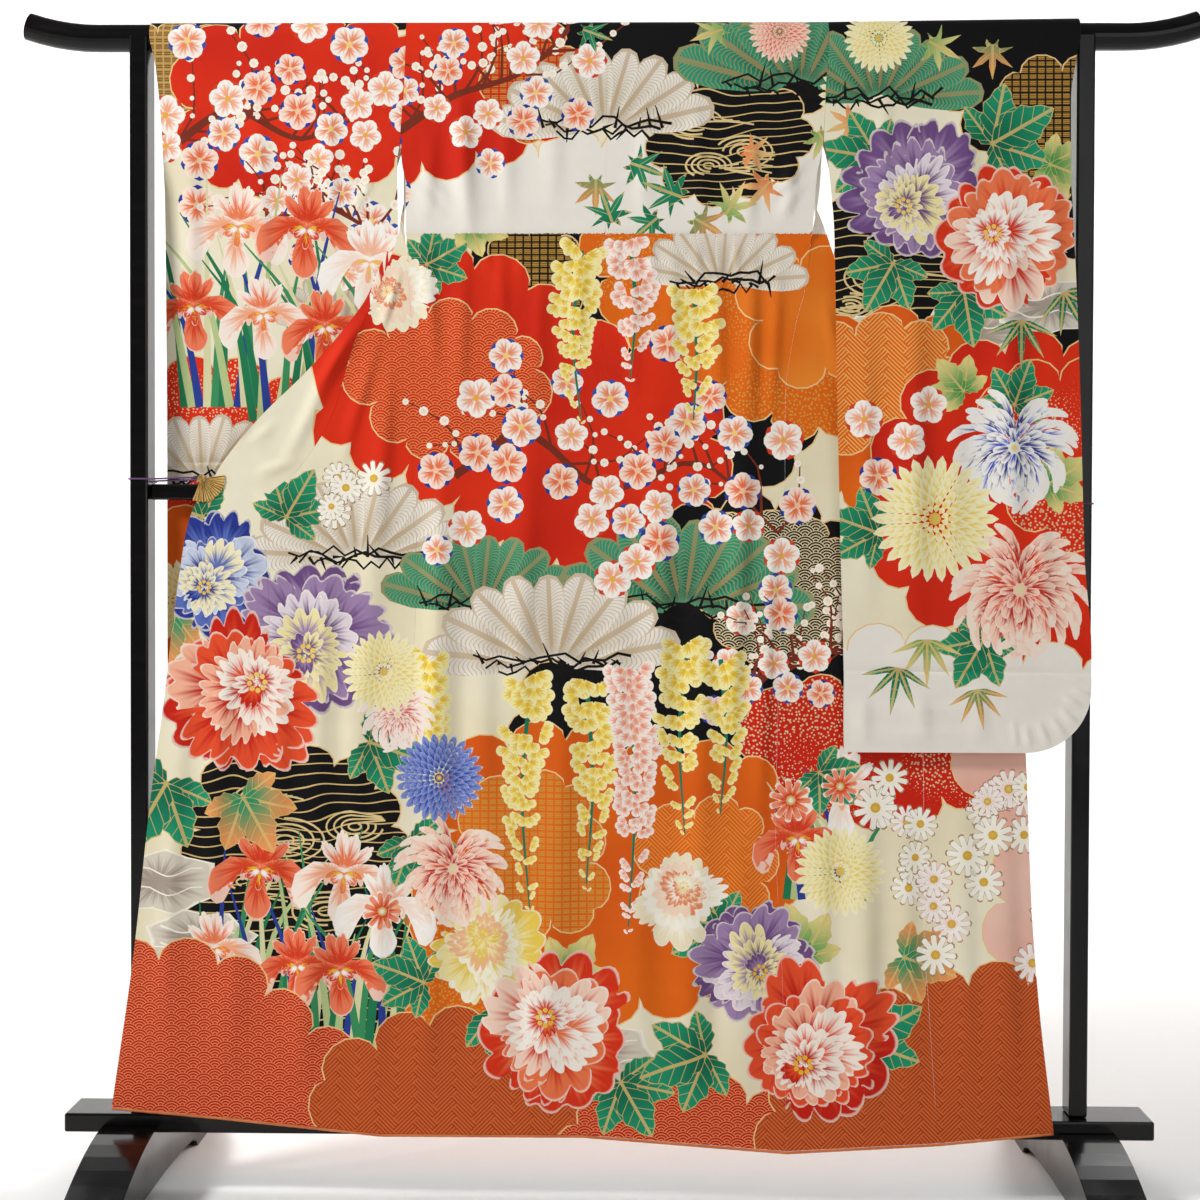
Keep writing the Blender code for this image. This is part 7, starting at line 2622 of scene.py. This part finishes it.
    def collar_end(self, side: str, edge: Edge, sign: int) -> Sheet:
        """One end of the collar, turned in behind the slanted edge of the okumi.

        Args:
            side: Left or right.
            edge: The front's free edge.
            sign: 1 or -1, for the way that the end's borders run.

        Returns:
            The end's sheet.
        """
        downs = np.array(COLLAR_END_DOWN)
        x, y = edge.at(downs)
        before = np.maximum(np.arange(len(downs)) - 1, 0)
        after = np.minimum(np.arange(len(downs)) + 1, len(downs) - 1)
        slant = np.arctan2(np.abs(x[after] - x[before]), downs[after] - downs[before])
        borders = []
        for s in (0, 1):
            reach = 0.001 + np.array(COLLAR_END_WIDTH) * s
            across, down = x + sign * reach * np.cos(slant), downs + reach * np.sin(slant)
            borders.append(np.stack([across, down, y + COLLAR_END_BEHIND + 0.0012 * s], axis=-1))
        lining = (self.white, self.white)
        return Sheet.along(f"{side}_collar_end", *borders[::sign], mirrored=True, lining=lining)

    def roll_hem(self, sheets: Sequence[Sheet]) -> bpy.types.Object:
        """The padded roll of orange lining that shows below the hem, drawn in a little at each stitch.

        Args:
            sheets: The body's sheets.

        Returns:
            The roll.
        """
        across = np.linspace(0.0, 1.0, 60)
        line = np.concatenate([sheet.hung(across, np.full(60, sheet.downs[-1])) for sheet in sheets])
        line = line[np.argsort(line[:, 0])] - (0.0, 0.0, HEM_ROLL_RADIUS + HEM_ROLL_GAP)
        kept = [line[0]]
        for point in line[1:]:
            if point[0] - kept[-1][0] > 0.003:
                kept.append(point)
        path = np.array(kept)
        ahead = np.gradient(path, axis=0)
        side = np.cross(ahead, (0.0, 0.0, 1.0))
        side /= np.linalg.norm(side, axis=1, keepdims=True)
        sides = 14
        turn = np.arange(sides) * math.tau / sides
        drawn = HEM_ROLL_RADIUS * (1 - 0.10 * (np.arange(len(path)) % 4 == 0))[:, None, None]
        rings = side[:, None] * np.cos(turn)[:, None] + np.array([0.0, 0.0, 1.0]) * np.sin(turn)[:, None]
        verts = (path[:, None] + rings * drawn).reshape(-1, 3)
        faces: list[tuple[int, ...]] = []
        for i in range(len(path) - 1):
            for k in range(sides):
                a, b = i * sides + k, i * sides + (k + 1) % sides
                faces.append((a, a + sides, b + sides, b))
        faces += [tuple(range(sides)), tuple(len(verts) - 1 - k for k in range(sides))]
        mesh = bpy.data.meshes.new("padded_hem_roll")
        mesh.from_pydata(verts.tolist(), [], faces)
        mesh.shade_smooth()
        mesh.materials.append(PlainSilk("padded hem lining", "DC7C3C", "C8662C").make())
        made = bpy.data.objects.new("padded_hem_roll", mesh)
        bpy.context.scene.collection.objects.link(made)
        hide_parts("hem_roll")
        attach(made, "root")
        LOG.info("padded_hem_roll: %d faces", len(faces))
        return made

    def sew(self) -> list[bpy.types.Object]:
        """Makes every printed piece.

        Returns:
            The pieces.
        """
        body, left, right = paint_body(), paint_left_sleeve(), paint_right_sleeve()
        materials = [self.finishes[drawing] for drawing in Drawing]
        sleeves = (left, right, right, left)
        made = []
        panels = self.body_sheets()
        jobs = [(sheet, body, "printed_silk") for sheet in panels]
        jobs += [(sheet, design, "printed_silk") for sheet, design in zip(self.sleeve_sheets(), sleeves)]
        jobs.append((self.collar(), paint_collar(), "collar_silk"))
        jobs.append((self.collar_end("left", Edge(LEFT_OUTER), 1), Print(), "collar_silk"))
        jobs.append((self.collar_end("right", Edge(RIGHT_OUTER), -1), Print(), "collar_silk"))
        for sheet, design, slot in jobs:
            shell = DyedShell(sheet, design.shapes, self.ground())
            piece = shell.build(materials)
            self.declare(piece, sheet, slot)
            made.append(piece)
        made.append(self.roll_hem(panels))
        return made

    def declare(self, piece: bpy.types.Object, sheet: Sheet, slot: str) -> None:
        """Hides the solid that a printed piece stands for, and hangs the piece on the root body.

        Args:
            piece: The piece.
            sheet: Its sheet.
            slot: Not used.
        """
        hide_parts(sheet.name)
        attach(piece, "root")
        LOG.info("%s: %d faces", piece.name, len(piece.data.polygons))


class Lamp(NamedTuple):
    """One soft square light: its place, what it shines at, its side and its power in watts."""

    name: str
    place: tuple[float, float, float]
    towards: tuple[float, float, float]
    size: float
    power: float


@dataclass
class Studio:
    """A pale floor that sweeps up behind, soft lights and the camera at the photograph's angle.

    Attributes:
        wall: The backdrop's colour.
        fleck: The colour of its faint flecks.
        air: The colour of the room's light.
        glow: Its strength.
        lens: The camera's focal length in millimetres, on a sensor 36 mm wide.
        eye: Where the camera is.
        gaze: How it is turned.
        lamps: The lights.
    """

    wall: str = "F4F3F1"
    fleck: str = "F1F0EE"
    air: str = "EDEFF2"
    glow: float = 0.21
    lens: float = 57.0
    eye: tuple[float, float, float] = (0.03579, -2.73191, 0.91043)
    gaze: tuple[float, float, float] = (math.pi / 2 - 0.01947, -0.00321, 0.01776)
    lamps: tuple[Lamp, ...] = (
        Lamp("key", (-2.9, -1.8, 3.4), (0.0, 0.0, 0.85), 0.8, 128.0),
        Lamp("fill", (1.9, -3.6, 1.6), (0.0, 0.0, 0.8), 2.4, 21.0),
        Lamp("wall wash left", (-3.0, 2.0, 3.4), (-0.9, 4.2, 1.0), 1.8, 105.0),
        Lamp("wall wash right", (3.0, 2.0, 3.4), (0.9, 4.2, 1.0), 1.8, 105.0),
        Lamp("far side", (2.2, 2.6, 2.8), (0.0, 0.0, 1.0), 1.4, 14.0),
    )

    def sweep(self) -> bpy.types.Object:
        """The floor and the backdrop, one curved sheet.

        Returns:
            The sheet.
        """
        profile = [(-6.0, 0.0), (3.2, 0.0)]
        profile += [(3.2 + math.sin(a), 1.0 - math.cos(a)) for a in np.linspace(0, math.pi / 2, 14)[1:]]
        profile.append((4.2, 7.0))
        verts = [(x, y, z) for y, z in profile for x in (-7.0, 7.0)]
        faces = [(2 * k, 2 * k + 1, 2 * k + 3, 2 * k + 2) for k in range(len(profile) - 1)]
        mesh = bpy.data.meshes.new("backdrop")
        mesh.from_pydata(verts, [], faces)
        mesh.shade_smooth()
        bench = NodeBench("matt backdrop paper")
        flecks = bench.add("TexNoise", bench.place, None, 30.0, 2.0)
        colours = {6: (*linear(self.wall), 1), 7: (*linear(self.fleck), 1)}
        colour = bench.add("Mix", flecks, inputs=colours, **MIX)
        mesh.materials.append(bench.finish(Base_Color=colour, Roughness=0.9))
        made = bpy.data.objects.new("backdrop", mesh)
        bpy.context.scene.collection.objects.link(made)
        return made

    def light(self, lamp: Lamp) -> None:
        """One soft square light.

        Args:
            lamp: The light's facts.
        """
        data = bpy.data.lights.new(lamp.name, "AREA")
        data.size = lamp.size
        data.energy = lamp.power
        made = bpy.data.objects.new(lamp.name, data)
        made.location = lamp.place
        made.rotation_euler = (Vector(lamp.towards) - Vector(lamp.place)).to_track_quat("-Z", "Y").to_euler()
        bpy.context.scene.collection.objects.link(made)

    def build(self) -> None:
        """Builds the studio."""
        self.sweep()
        for lamp in self.lamps:
            self.light(lamp)
        world = bpy.data.worlds.new("studio air")
        world.use_nodes = True
        air = world.node_tree.nodes["Background"]
        air.inputs["Color"].default_value = (*linear(self.air), 1.0)
        air.inputs["Strength"].default_value = self.glow
        bpy.context.scene.world = world
        bpy.context.scene.view_settings.view_transform = "Standard"
        lens = bpy.data.cameras.new("camera")
        lens.lens = self.lens
        lens.sensor_width = 36.0
        camera = bpy.data.objects.new("camera", lens)
        camera.location = self.eye
        camera.rotation_euler = self.gaze
        bpy.context.scene.collection.objects.link(camera)
        bpy.context.scene.camera = camera


def repaint(nodes: Sequence[str], material: bpy.types.Material) -> None:
    """Gives carried-over nodes of the frame a better material.

    Args:
        nodes: The solids' names.
        material: What they are made of.
    """
    for name in nodes:
        for slot in bpy.data.objects[name].material_slots:
            slot.material = material


def main() -> None:
    """Builds the dressed stand."""
    logging.basicConfig(level=logging.INFO, format="%(message)s")
    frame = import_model()
    LOG.info("frame with %d nodes", len(frame["nodes"]))
    kimono = Kimono()
    kimono.dye()
    kimono.sew()
    stand = ("top_rail", "left_post", "right_post", "middle_rail", "base_plank", "left_foot", "right_foot")
    repaint(stand, BlackLacquer().make())
    for side, hub_x in (("left", -0.5810), ("right", 0.5660)):
        repaint((f"{side}_clip",), OldBrass(hub_x).make())
    repaint(("left_cord", "right_cord"), TwistedCord().make())
    Studio().build()


if __name__ == "__main__":
    main()
